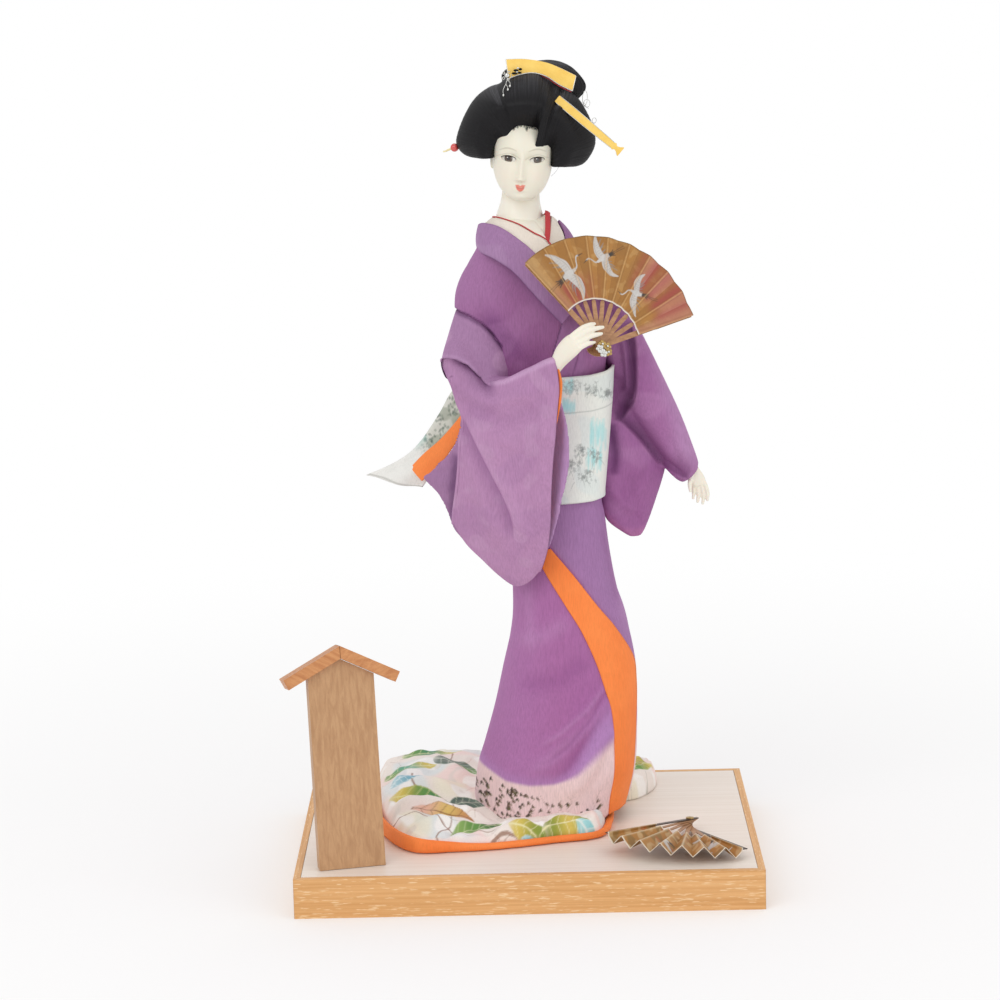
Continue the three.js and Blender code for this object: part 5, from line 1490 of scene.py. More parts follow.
def build_tail(brocade, orange):
    rows, columns = 180, 60
    grid = ribbon(TAIL_TOP, TAIL_FOOT, rows, columns, 2.0)
    t, s = np.linspace(0, 1, rows)[:, None], np.linspace(0, 1, columns)[None, :]
    out = unit(np.cross(np.gradient(grid, axis=0), np.gradient(grid, axis=1)))
    grid = grid + out * (1.0 * np.sin(9 * s + 3 * t) * smooth(t, 0.1, 0.5))[..., None]
    grid[..., 2] += 0.8 * np.sin(7.5 * s + 0.6) * smooth(t, 0.9, 1)
    made = grid_piece("obi_tail_cloth", grid, brocade, replaces=("obi_tail",), slot="obi_brocade")
    canvas = Canvas(front_view(grid), "dcdcd2")
    canvas.cloud(14, 73, "a9b0a0", 0.0, 0.8)
    canvas.wash((s + 0 * t).ravel() * 0.6, "8d866e")
    for k, (u, w) in enumerate(
        ((-42, 252), (-50, 240), (-46, 232), (-56, 226), (-60, 218), (-52, 222), (-40, 244))
    ):
        draw = np.random.default_rng(200 + k)
        for _ in range(16):
            a, h = u + draw.normal(0, 2.2), w + draw.normal(0, 2.2)
            canvas.disc(
                (a, h), (draw.uniform(0.5, 1.0), 0.5), draw.uniform(0, 180),
                draw.choice(["5e6f60", "7f8d7c", "46554c"]), 0.55, 0.5
            )
    canvas.wash(crease(canvas.uv, [[-58, 230], [-64, 218], [-66, 212]], 4, 0.1) * 0.5, "9fd6cf")
    canvas.wash((smooth(t, 0.62, 0.74) + 0 * s).ravel() * 0.9, "f0efea")
    canvas.wash((smooth(t, 0.965, 0.985) * fall(t, 0.985, 1.0) + 0 * s).ravel() * 0.5, "8d8c84")
    canvas.put_on(made)
    thicken(made, 1.6, 0.0)

    upper = [[-30, 40, 249], [-38, 44, 238], [-48, 48.5, 226.5], [-58, 52.5, 217.5], [-66.3, 56, 208.6]]
    lower = [[-30, 37, 239], [-38.4, 41, 226], [-46.4, 43.5, 214.5], [-53, 45.5, 207.5], [-59.8, 47, 201.8]]
    grid = ribbon(upper, lower, 120, 24, 0.8) - [0, 2.4, 0]
    made = grid_piece("obi_tail_lining", grid, orange, slot="orange_silk")
    thicken(made, 1.0, 0.0)


# The head, in its own frame at the neck

NECK = {"x": 2.8, "y": 4, "z": 364.6, "tilt": 3.5}
HEAD = {"jaw": 12, "height": 50, "half_width": 17.5, "half_depth": 22, "lean": -8}
HEAD_ROWS = [
    [0, 0.3, -0.5, 0.3, 0.3], [0.05, 0.3, -0.42, 0.52, 0.5], [0.16, 0.3, -0.28, 0.78, 0.72],
    [0.32, 0.2, -0.12, 0.95, 0.9], [0.52, 0, 0, 1, 1], [0.72, 0, 0.06, 0.96, 0.98],
    [0.88, 0, 0.1, 0.76, 0.8], [0.97, 0, 0.1, 0.42, 0.46], [1, 0, 0.1, 0.1, 0.1]
]
NECK_ROWS = [
    [-10, 13.0], [-5, 14.6], [-2.6, 14.4], [0.4, 13.8], [3.4, 13.0], [5.4, 12.4], [9.4, 11.4], [14, 10.9],
    [22, 11], [30, 10]
]
EAR = ((-17.0, -5.5, 32.5), (1.5, 2.6, 4.6))


def on_head(points):
    """From the head's own frame to the doll's."""
    turn = math.radians(NECK["tilt"])
    x, y, z = np.moveaxis(np.asarray(points, float), -1, 0)
    return np.stack([
        NECK["x"] + x * math.cos(turn) + z * math.sin(turn),
        NECK["y"] + y,
        NECK["z"] - x * math.sin(turn) + z * math.cos(turn),
    ], axis=-1)


def from_doll(points):
    turn = math.radians(NECK["tilt"])
    x, y, z = (np.asarray(points, float) - [NECK["x"], NECK["y"], NECK["z"]]).T
    return np.stack(
        [x * math.cos(turn) - z * math.sin(turn), y, x * math.sin(turn) + z * math.cos(turn)], axis=-1
    )


def head_ring_rows():
    """The plain head's rings from the jaw up: [z, x, y, half width, half depth]."""
    rows = (
        np.array(HEAD_ROWS, float)
        * [HEAD["height"], 1, HEAD["half_depth"], HEAD["half_width"], HEAD["half_depth"]]
    )
    return rows + [HEAD["jaw"], 0, HEAD["lean"], 0, 0]


def head_surface(x, z):
    """How far back the plain head's front lies at (x, z)."""
    fine = sampled(head_ring_rows(), 600)
    cx, cy, a, b = (np.interp(z, fine[:, 0], fine[:, k]) for k in range(1, 5))
    share = np.clip(1 - np.abs((x - cx) / a) ** 2.1, 0, 1) ** (1 / 2.1)
    return cy - b * share


EYES = [(-8.1, 36.0, -3.0), (8.6, 35.8, 3.0)]  # the middle of each eye, and its slant in degrees
EYE_SIZE = (4.0, 1.65)
MOUTH = (-0.7, 19.5)
NOSE = (-0.9, 24.6)


def by_mouth(*steps):
    """Places on the face from their steps off the mouth's middle."""
    return [[MOUTH[0] + x, MOUTH[1] + z] for x, z in steps]


def hill(x, z, place, width, height):
    return np.exp(-(((x - place[0]) / width) ** 2) - ((z - place[1]) / height) ** 2)


def eye_frame(x, z, eye):
    """Positions in an eye's own almond, where its edge is at 1."""
    turn = math.radians(eye[2])
    u = ((x - eye[0]) * math.cos(turn) + (z - eye[1]) * math.sin(turn)) / EYE_SIZE[0]
    v = (-(x - eye[0]) * math.sin(turn) + (z - eye[1]) * math.cos(turn)) / EYE_SIZE[1]
    return u, v, np.sqrt(np.abs(u) ** 2.0 + np.abs(v) ** 2 * (1 + 0.7 * u * u))


def face_relief(x, z):
    """The features of the face, in millimetres out from the plain head."""
    out = np.zeros_like(x)
    for side, eye in zip((-1, 1), EYES):
        out -= 1.5 * hill(x, z, (eye[0] - side * 0.6, eye[1] + 0.6), 5.2, 3.4)
        out -= 0.9 * hill(x, z, (side * 3.8 + NOSE[0] * 0.3, 36.5), 2.2, 3.0)
        out += 0.5 * hill(x, z, (eye[0], eye[1] + 0.3), 3.6, 2.0)
        out += 0.7 * hill(x, z, (side * 9.5, 26), 5, 5)
        out += 0.35 * hill(x, z, (side * 8, 42), 5, 2.2)
        _, v, edge = eye_frame(x, z, eye)
        out += 0.42 * bell(edge - 1.18, 0.2) * (v > 0)
        out += 0.2 * bell(edge - 1.15, 0.2) * (v <= 0)
        out -= 0.22 * bell(edge - 1.75, 0.16) * (v > 0.3)
        out -= 1.0 * fall(edge, 0.88, 1.08)
    down = np.clip((40 - z) / (40 - NOSE[1]), 0, 1.15)
    ridge = NOSE[0] * smooth(down, 0, 1)
    nose = (0.7 + 4.3 * down**1.35) * smooth(z, NOSE[1] - 1.7, NOSE[1] + 0.2) * fall(z, 37, 44)
    out += nose * bell(x - ridge, 1.5 + 0.75 * down)
    for side in (-1, 1):
        out += 1.25 * hill(x, z, (NOSE[0] + side * 2.0, NOSE[1] + 0.5), 1.15, 1.2)
        out -= 0.45 * hill(x, z, (NOSE[0] + side * 0.9, NOSE[1] - 1.3), 0.6, 0.5)
        out += 0.55 * hill(x, z, (MOUTH[0] + side * 1.0, MOUTH[1] + 0.75), 1.2, 0.65)
        out -= 0.3 * hill(x, z, (MOUTH[0] + side * 3.0, MOUTH[1] + 0.2), 0.8, 0.8)
    out += 0.9 * hill(x, z, (MOUTH[0], MOUTH[1]), 4.2, 3.6)
    out += 0.6 * hill(x, z, (MOUTH[0], MOUTH[1] - 0.95), 1.5, 0.75)
    out -= 0.5 * bell(z - MOUTH[1] - 0.05, 0.28) * smooth(3.0 - np.abs(x - MOUTH[0]), 0, 1)
    out -= 0.6 * hill(x, z, (MOUTH[0], MOUTH[1] - 3.2), 3.2, 1.1)
    out += 0.9 * hill(x, z, (0.6, 14.2), 4.2, 2.6)
    out -= 0.25 * hill(x, z, (MOUTH[0] - 0.3, MOUTH[1] + 2.9), 0.7, 1.1)
    return out


def build_head(skin, eye_gloss, lash):
    rows = np.linspace(0, 1, 120)
    z, cx, cy, a, b = along(head_ring_rows(), rows).T[:, :, None]
    s = circle(140)
    skull = np.stack([cx + a * bulge(np.cos(s), 2.1), cy + b * bulge(np.sin(s), 2.1), z + 0 * s], axis=-1)
    z, r = sampled(NECK_ROWS, 60).T[:, :, None]
    neck = np.stack([r * np.cos(s), r * np.sin(s), z + 0 * s], axis=-1)
    ear_place, ear_size = EAR
    ball, ball_faces = closed_ball(np.zeros(3), 1.0)
    ear = ball * ear_size + ear_place, ball_faces
    made = merged(
        "head_form", [(on_head(p), f) for p, f in (closed(skull), closed(neck), ear)], SKIN_VOXEL, 10
    )
    local = from_doll(coordinates(made))
    front = fall(local[:, 1] - HEAD["lean"], -10, -2) * smooth(local[:, 2], 10.5, 12.5)
    local[:, 1] -= face_relief(local[:, 0], local[:, 2]) * front
    set_coordinates(made, on_head(local))
    dress(made, skin, "head_unit", ("head",))

    flat = local[:, [0, 2]]
    canvas = Canvas(flat, "e9e4d3")
    facing = local[:, 1] < HEAD["lean"] - 4
    canvas.wash((1 - facing) * 0.35, "e6dfc9")
    # Painted light on the neck, which lies under the chin.
    canvas.wash(fall(local[:, 2], 8, 14), "f8f4e8")
    # A blush on each cheek, and painted shade beside the bridge of the nose.
    for side in (-1, 1):
        canvas.wash(hill(*flat.T, (side * 9.5, 27), 6, 5) * 0.22, "f2d9cb")
        canvas.wash(hill(*flat.T, (side * 4.2, 36.5), 2.4, 3.6) * 0.3, "cfc8b2")
    face = Canvas(flat[facing], "e9e4d3")
    face.colour = canvas.colour[facing]
    for eye, side in zip(EYES, (-1, 1)):
        _, v, edge = eye_frame(*flat[facing].T, eye)
        face.wash(bell(edge - 1.75, 0.13) * (v > 0.3) * 0.4, "8b8470")
        face.wash(fall(edge, 0.95, 1.12) * 0.8, "b4aa98")
        brow = [[side * 3.6, 40.6], [side * 6.5, 41.7], [side * 9.6, 41.9], [side * 13.2, 40.6]]
        face.curve(brow, [0.35, 0.8, 0.75, 0.3], "a8a290", strength=0.62, soft=0.6)
    lips = "e0604e"
    for side in (-1, 1):
        upper = by_mouth((0, 0.7), (side * 1.3, 1.35), (side * 2.75, 1.75))
        face.curve(upper, [1.2, 1.6, 0.4], lips, soft=0.35)
        lower = by_mouth((0, -0.9), (side * 1.2, -0.3), (side * 2.3, 1.0))
        face.curve(lower, [1.9, 1.5, 0.5], lips, soft=0.35)
    face.curve(by_mouth((-2.2, 0.9), (0, -0.1), (2.2, 0.9)), [0.2, 0.4, 0.2], "b04840", strength=0.5)
    # A painted highlight on the lips.
    face.disc(by_mouth((0.2, 0.5))[0], (0.9, 0.35), 0, "f3a597", 0.6)
    # Painted shade in the nostrils.
    for side in (-1, 1):
        face.disc((NOSE[0] + side * 0.9, NOSE[1] - 1.2), (0.4, 0.2), 0, "b9a894", 0.5)
    canvas.colour[facing] = face.colour
    canvas.put_on(made)
    for eye, name in zip(EYES, ("right", "left")):
        build_eye(eye, name, eye_gloss, lash)


def build_eye(eye, name, gloss, lash):
    rings, sides = 26, 72
    r = np.linspace(0.02, 1.16, rings)[:, None]
    angle = circle(sides)
    turn = math.radians(eye[2])
    u, v = r * np.cos(angle) * EYE_SIZE[0], r * np.sin(angle) * EYE_SIZE[1]
    x = eye[0] + u * math.cos(turn) - v * math.sin(turn)
    z = eye[1] + u * math.sin(turn) + v * math.cos(turn)
    base = head_surface(x, z) - (-1.5 * hill(x, z, (eye[0], eye[1] + 0.6), 5.2, 3.4) + 0.5)
    y = base + 0.05 + 0.55 * r**2
    grid = np.stack([x, y, z], axis=-1)
    points, faces = closed(np.concatenate([grid, grid[-1:] + [0, 0.5, 0]]))
    made = piece(name + "_eye", on_head(points), faces, gloss, "head_unit", slot="skin")
    canvas = Canvas(np.stack([points[:, 0] - eye[0], points[:, 2] - eye[1]], axis=-1), "d9d4c8")
    canvas.disc((0.1, 0.1), (2.25, 2.3), 0, "3a281c", 1.0, 0.1)
    canvas.disc((0.1, 0.1), (1.7, 1.75), 0, "54402e", 0.6, 0.2)
    canvas.disc((0.1, 0.1), (0.9, 0.95), 0, "140e0b", 1.0, 0.15)
    # A painted glint of light on the eye.
    canvas.disc((-0.5, 0.65), (0.3, 0.26), 0, "f4f2ea", 0.95, 0.2)
    canvas.put_on(made)

    theta = np.linspace(math.pi * 0.98, 0.02, 40)
    u, v = 1.05 * np.cos(theta) * EYE_SIZE[0], 1.02 * np.sin(theta) ** 0.9 * EYE_SIZE[1]
    x = eye[0] + u * math.cos(turn) - v * math.sin(turn)
    z = eye[1] + u * math.sin(turn) + v * math.cos(turn)
    y = head_surface(x, z) - face_relief(x, z) - 0.45
    y = np.minimum(y, head_surface(x, z) + 0.6)
    rows = np.stack([x, y, z, 0.13 + 0.1 * np.sin(theta), 0.13 + 0.08 * np.sin(theta)], axis=-1)
    points, faces = closed(tube(rows, side=(0, 1, 0), count=60, sides=8))
    piece(name + "_lashes", on_head(points), faces, lash, "head_unit", slot="hair")


# The hair

def strands(value, seed, fine=1.0):
    """Relief of combed strands across the given distance in millimetres, about -1 to 1."""
    draw = np.random.default_rng(seed)
    total = np.zeros_like(value)
    for size, share in ((2.6, 0.5), (1.3, 0.7), (0.7, 0.8), (0.45, 0.6)):
        for _ in range(3):
            total += share * np.sin(
                value * 2 * math.pi / (size * draw.uniform(0.75, 1.35) / fine) + draw.uniform(0, 7)
            )
    return total / 4.5


def put_uv(made, uv):
    layer = made.data.uv_layers.new(name="combed")
    loops = np.zeros(len(made.data.loops), np.int32)
    made.data.loops.foreach_get("vertex_index", loops)
    layer.data.foreach_set("uv", (np.asarray(uv, np.float32) * MM)[loops].ravel())


def hair_piece(name, grid, across, length, hair, depth=0.16, seed=1, replaces=()):
    """A roll of combed hair. Across tells the strands apart, and length runs along them."""
    out = unit(np.cross(np.gradient(grid, axis=0), np.roll(grid, -1, axis=1) - np.roll(grid, 1, axis=1)))
    middle = grid.reshape(-1, 3).mean(0)
    if ((grid - middle) * out).sum() < 0:
        out = -out
    relief = strands(across + 0.35 * np.sin(length / 9), seed)
    points, faces = closed(grid + out * (depth * relief)[..., None])
    made = piece(name, on_head(points), faces, hair, "head_unit", replaces, "hair")
    ends = np.array([[across[0].mean(), length[0].mean()], [across[-1].mean(), length[-1].mean()]])
    uv = np.concatenate([np.stack([across, length], axis=-1).reshape(-1, 2), ends])
    put_uv(made, uv)
    canvas = Canvas(uv, "100e11")
    lock = np.concatenate(
        [(strands(across + 0.5 * np.sin(length / 7), seed + 20, 0.8) * 0.5 + 0.5).ravel(), [0, 0]]
    )
    canvas.wash(lock * 0.5, "252328")
    # Painted sheen: lighter strands on the up-facing surfaces, where the light from above falls.
    sheen = np.concatenate([smooth(out[..., 2] - 0.1 * out[..., 1], 0.55, 1.1).ravel(), [0, 0]])
    canvas.wash(sheen * (0.3 + 0.7 * smooth(lock, 0.3, 0.8)) * 0.62, "77767d")
    canvas.put_on(made)
    return made


def shell(pole, outline, front, back):
    """A puffed form round a pole of [x, y, z], whose outline is a list of [x, z]."""
    rows, sides, power = 200, 260, 0.55
    outline = np.array([*outline, outline[0]], float)
    smoothed = sampled(outline, 400)
    angle = np.unwrap(np.arctan2(smoothed[:, 1] - pole[2], smoothed[:, 0] - pole[0]))
    reach = np.linalg.norm(smoothed - [pole[0], pole[2]], axis=1)
    if angle[-1] < angle[0]:
        angle, reach = angle[::-1], reach[::-1]
    phi = angle[0] + circle(sides)
    radius = np.interp(phi, angle, reach)[None, :]
    psi = np.linspace(0.03, math.pi - 0.03, rows)[:, None]
    width = np.sin(psi) ** power
    depth = np.where(psi < math.pi / 2, front, back)
    x = pole[0] + radius * width * np.cos(phi)
    z = pole[2] + radius * width * np.sin(phi)
    y = pole[1] - depth * np.cos(psi) + 0 * x
    across = psi / math.pi * 70 + 0 * phi
    length = phi[None, :] * 20 + 0 * psi
    return np.stack([x, y, z], axis=-1), across, length


# The combed hair, as stations from the nape round the head. Each has the hairline, as [x, z] on the face or
# [x, y, z] behind it, then the front swell, the widest line and the back, all as [x, y, z].
HAIR_STATIONS = [
    ((2, 10.5, 25), (2, 18.5, 21.5), (2, 28.5, 27.5), (2, 30.5, 43)),
    ((-7, 8, 27), (-7.5, 16, 24), (-8, 24.5, 30), (-8, 27, 44)),
    ((-14.5, 1, 33), (-15, 6, 31.5), (-15.5, 13, 34), (-15, 19, 45)),
    ((-16.8, -8, 36.5), (-20, -5, 34.8), (-23.5, 2, 35.0), (-21, 11, 42)),
    ((-16.9, 35.2), (-25.5, -14.0, 34.2), (-33, -3, 35.2), (-26, 9, 42)),
    ((-16.9, 38.3), (-27.5, -17.5, 39.5), (-37.8, -4, 40.6), (-29, 10, 48)),
    ((-15.9, 42.9), (-28, -19, 46), (-37.6, -5, 48.2), (-29, 10, 55)),
    ((-14, 45.7), (-26, -20.5, 54), (-34.8, -6, 57.6), (-26, 9, 61)),
    ((-9.9, 48.6), (-21, -24, 61), (-28.5, -7, 67.6), (-20, 7, 69)),
    ((-7, 51.7), (-14.5, -27.5, 65.5), (-19.3, -9, 75.5), (-13, 4, 75)),
    ((-4, 54.0), (-8, -30, 67), (-8.9, -14, 82.0), (-6, 0, 79)),
    ((0.4, 54.6), (0.5, -31, 68), (0.5, -15, 84), (1, 0, 81)),
    ((4.2, 54.0), (5.5, -31, 68), (7, -15, 84.2), (6, 0, 81)),
    ((7.5, 53.2), (9, -30.5, 67.5), (11.5, -14, 82.5), (10, 0, 80)),
    ((8.2, 49.5), (10.5, -30, 66.5), (14, -13, 80.4), (12, 1, 79)),
    ((7.2, 44.6), (12, -29.5, 65.5), (16.2, -12, 77.8), (14, 2, 78)),
    ((11, 43.9), (15, -28, 64), (19.5, -11, 75.8), (17, 3, 76)),
    ((14.7, 43.3), (19, -26, 61.5), (24.5, -9, 73.6), (20, 4, 74)),
    ((16.3, 42.2), (24, -23, 57), (31.5, -7, 69.3), (24, 6, 70)),
    ((16.9, 39.5), (28, -20.5, 51.5), (37.4, -5.5, 61), (28, 8, 63)),
    ((17.1, 36.5), (29.5, -19, 45), (41.0, -4.5, 50.5), (31, 10, 55)),
    ((17.2, 33.8), (29, -17, 38.5), (41.2, -4, 41.6), (31, 10, 48)),
    ((17.1, 31.6), (27, -14, 31.4), (35.8, -3, 33), (28, 9, 41)),
    ((17.3, -8, 33), (21, -5, 31.0), (25, 2, 31.6), (23, 11, 39)),
    ((16.0, 1, 32), (16.5, 6, 30), (17, 13, 33), (17, 19, 44)),
    ((10, 8, 27), (10.5, 16, 24), (11, 24.5, 30), (11, 27, 44)),
]
PARTINGS = (9.3, 16.4)  # the stations at which the wings part from the front roll
CROWN = (5, 9, 70)


def hair_rings():
    """The stations as six rings of points, from the hairline to the tie at the crown."""
    edge, close, swell, wide, back = [], [], [], [], []
    for start, *rest in HAIR_STATIONS:
        front, widest, behind = (np.array(p, float) for p in rest)
        if len(start) == 2:
            x, z = start
            root = np.array([x, float(head_surface(np.clip(x, -16.6, 16.6), z)) + 0.1, z])
            step = 1.3 * unit(front[[0, 2]] - root[[0, 2]])
            x, z = root[0] + step[0], root[2] + step[1]
            hugging = np.array([x, float(head_surface(np.clip(x, -15.8, 15.8), z)) - 1.3, z])
        else:
            root = np.array(start, float)
            hugging = root + 0.3 * (front - root)
        for ring, point in zip((edge, close, swell, wide, back), (root, hugging, front, widest, behind)):
            ring.append(point)
    centre = np.array(CROWN)
    tie = [centre + unit(p - centre) * [6, 6, 3] for p in back]
    return [np.array(ring) for ring in (edge, close, swell, wide, back, tie)]


def around(ring, share):
    """A closed ring of points, taken smoothly at shares of the way round."""
    rows = np.array([ring[-1], *ring, ring[0], ring[1]])
    return along(rows, (1 + (share % 1) * len(ring)) / (len(rows) - 1))


def build_combed_hair(hair):
    columns, rows = 1100, 150
    share = np.arange(columns) / columns
    rings = np.stack([around(ring, share) for ring in hair_rings()])
    t = np.linspace(0, 1, rows) ** 1.15
    grid = np.stack([along(rings[:, k], t) for k in range(columns)], axis=1)
    girth = np.linalg.norm(np.diff(rings[3], axis=0, append=rings[3][:1]), axis=1)
    across = np.cumsum(girth)[None, :] + np.zeros((rows, 1))
    length = t[:, None] * 95 + np.zeros((1, columns))
    out = unit(np.cross(np.gradient(grid, axis=0), np.roll(grid, -1, axis=1) - np.roll(grid, 1, axis=1)))
    if ((grid - grid.reshape(-1, 3).mean(0)) * out).sum() < 0:
        out = -out
    station = share[None, :] * len(HAIR_STATIONS)
    level = t[:, None] * 5
    for parting, deep in zip(PARTINGS, (1.3, 1.1)):
        groove = bell(station - parting, 0.28) * smooth(level, 0.9, 1.8) * fall(level, 3, 4.2)
        grid = grid - out * (deep * groove)[..., None]
    wave = 0.35 * np.sin(station * 2.1 + level) * smooth(level, 0.8, 1.6)
    grid = grid + out * wave[..., None]
    return hair_piece("combed_hair", grid, across, length, hair, 0.13, 5,
                      ("hair_wing_right", "hair_wing_left", "hair_front_roll", "hair_back_roll"))


def build_hair(hair):
    build_combed_hair(hair)
    crown = [
        [-12, 74], [-13.5, 82], [-6, 87.5], [6, 90.2], [14.3, 91], [22, 89.6], [28.4, 86], [34, 80],
        [35.2, 75.5], [32.6, 71], [26, 66], [10, 64], [-2, 66]
    ]
    grid, across, length = shell((12, 5, 77), crown, 11, 13)
    hair_piece("hair_topknot_combed", grid, across, length, hair, 0.15, 9, ("hair_topknot",))
    build_stray_hairs(hair)
    draw = np.random.default_rng(92)
    fringe = []
    for _ in range(70):
        x = draw.uniform(-6.5, 7.6)
        top = np.interp(x, [-7, -4, 0.4, 4.2, 7.5], [51.9, 54.1, 54.7, 54.1, 53.2]) + 0.5
        length = draw.uniform(0.5, 1.5) + (1.9 if abs(x - 1.6) < 0.9 else 0)
        lean = 0.25 * (1.6 - x) / 6 * length
        path = [[x + lean * k, 0, top - length * k] for k in (0, 0.5, 1)]
        fringe.append(
            [[p[0], float(head_surface(p[0], p[2])) - 0.25 + 0.15 * k, p[2]] for k, p in enumerate(path)]
        )
    wire("hairline_strands", fringe, 0.09, hair, slot="hair", sides=4)


def wire(name, paths, radius, material, slot, sides=6):
    """Thin round strands on the head, along lists of points."""
    forms = []
    for path in paths:
        rows = np.concatenate([np.asarray(path, float), np.full((len(path), 2), radius)], axis=1)
        forms.append(closed(tube(rows, side=(0.31, 0.87, 0.38), count=6 * len(path), sides=sides)))
    points, faces = joined(forms)
    return piece(name, on_head(points), faces, material, "head_unit", slot=slot, out=False)


def build_stray_hairs(hair):
    """One hair beside the left ear, and others that stand off the left wing."""
    paths = [[[21.3, -14, 31.5], [19.6, -15, 28.6], [17, -15.5, 25.8]]]
    wing_middle, wing_radius = np.array([22, 50]), 21
    draw = np.random.default_rng(91)
    for _ in range(20):
        angle = draw.uniform(0.5, 2.4)
        outward = np.array([math.cos(angle), math.sin(angle)])
        step = np.array([-math.sin(angle), math.cos(angle)]) * draw.uniform(3, 6)
        y = draw.uniform(-9, 4)
        out = outward * draw.uniform(-0.6, 0.2)
        start = wing_middle + wing_radius * outward
        middle = start + step + out
        end = start + 2 * step + 0.4 * out - 0.25 * (start + 2 * step - wing_middle) * 0.3
        paths.append([[start[0], y, start[1]], [middle[0], y - 0.3, middle[1]], [end[0], y, end[1]]])
    wire("stray_hairs", paths, 0.06, hair, slot="hair", sides=4)


# Hair ornaments

COMB_TOP = [[-11.6, 91.3], [-1, 91.8], [10.5, 90.4], [19.1, 87.7], [28.8, 83.5]]
COMB_FOOT = [[-9.8, 80.4], [-3.7, 83.0], [3.9, 84.4], [11.6, 82.8], [19.5, 78.2], [27.1, 75.0]]
COMB = {"y": -15, "thick": 1.4, "back": 2.2, "crown": 0.8}


def comb_point(t, s, out=0.0):
    """A place on the comb, t along it and s down it. Out lifts it above the top edge or below the foot."""
    t, s = np.broadcast_arrays(np.asarray(t, float), np.asarray(s, float))
    top, foot = along(COMB_TOP, t.ravel()), along(COMB_FOOT, t.ravel())
    share = (s.ravel() - out / 10)[:, None]
    x, z = (top * (1 - share) + foot * share).T
    y = (
        COMB["y"] + COMB["back"] * (1 - s.ravel())
        - COMB["crown"] * np.sin(math.pi * np.clip(s.ravel(), 0, 1))
    )
    return np.stack([x, y, z], axis=-1).reshape(*t.shape, 3)


def build_comb(gilt, silver, red, hair):
    t, s = np.meshgrid(np.linspace(0, 1, 80), np.linspace(0, 1, 16), indexing="ij")
    made = grid_piece(
        "comb_band", on_head(comb_point(t, s)), gilt, body="head_unit", replaces=("comb",), slot="gilt"
    )
    thicken(made, COMB["thick"], 0.0)
    soften(made, 0.3)
    t = np.linspace(0, 1, 40)
    s = np.linspace(0, 1, 8)
    rim = [
        comb_point(t, 0 * t), comb_point(0 * s + 1, s), comb_point(t[::-1], 0 * t + 1),
        comb_point(0 * s, s[::-1])
    ]
    wire("comb_edging", [edge - [0, 0.5, 0] for edge in rim], 0.28, silver, slot="silver")
    below = comb_point(np.linspace(0.02, 0.98, 40), np.full(40, 1.0), -0.8)
    wire("comb_red_line", [below - [0, 0.2, 0]], 0.3, red, slot="red_silk")
    beads = [comb_point(np.array([v]), np.array([1.0]), 0.1)[0] for v in np.linspace(0.02, 0.98, 56)]
    spheres(
        "comb_silver_beads", [(b - [0, 1.0, 0], (0.42, 0.42, 0.42)) for b in beads], silver, slot="silver"
    )
    spheres(
        "comb_fitting",
        [
            ((-5.6, -18.4, 85.6), (1.5, 0.5, 0.75)), ((-3.2, -18.4, 86.4), (1.1, 0.5, 0.7)),
            ((-6.4, -18.6, 83.9), (1.7, 0.5, 0.7)), ((-3.6, -18.6, 84.4), (1.3, 0.5, 0.6))
        ],
        hair, slot="hair"
    )
    spheres(
        "comb_fitting_silver",
        [((-4.6, -19.0, 87.0), (0.8, 0.4, 0.5)), ((-5.0, -19.1, 84.8), (0.6, 0.4, 0.5))], silver,
        slot="silver"
    )


def spheres(name, places, material, body="head_unit", slot=None, place=on_head):
    """Small round or oval beads, as (centre, half sizes)."""
    ball = ball_rings(14, 20, 0.08)
    points, faces = joined([closed(ball * size + centre) for centre, size in places])
    return piece(name, place(points), faces, material, body, slot=slot)


def build_bar(gilt, silver):
    start, end = np.array([18.4, -21.4, 70.8]), np.array([56.2, -21.4, 41.8])
    stations = [
        [0, 1.9], [0.02, 2.3], [0.2, 2.5], [0.5, 2.4], [0.8, 2.1], [0.87, 1.9], [0.895, 2.2], [0.92, 1.3],
        [0.95, 1.7], [0.985, 2.9], [1.0, 3.0]
    ]
    rows = [[*(start + (end - start) * t), w, 0.8] for t, w in stations]
    points, faces = closed(tube(rows, side=(0.6, 0, 0.8), count=140, sides=40, power=5.0))
    piece("hair_bar_gilt", on_head(points), faces, gilt, "head_unit", ("hair_bar",), "gilt")
    ahead = unit(end - start)
    side = unit(np.cross(ahead, [0, 1, 0]))
    rim = [
        [
            start + (end - start) * t + side * k * w * 0.96 - [0, 0.72, 0] for t, w in stations[1:6]
        ] for k in (-1, 1)
    ]
    wire("hair_bar_edging", rim, 0.2, silver, slot="silver")


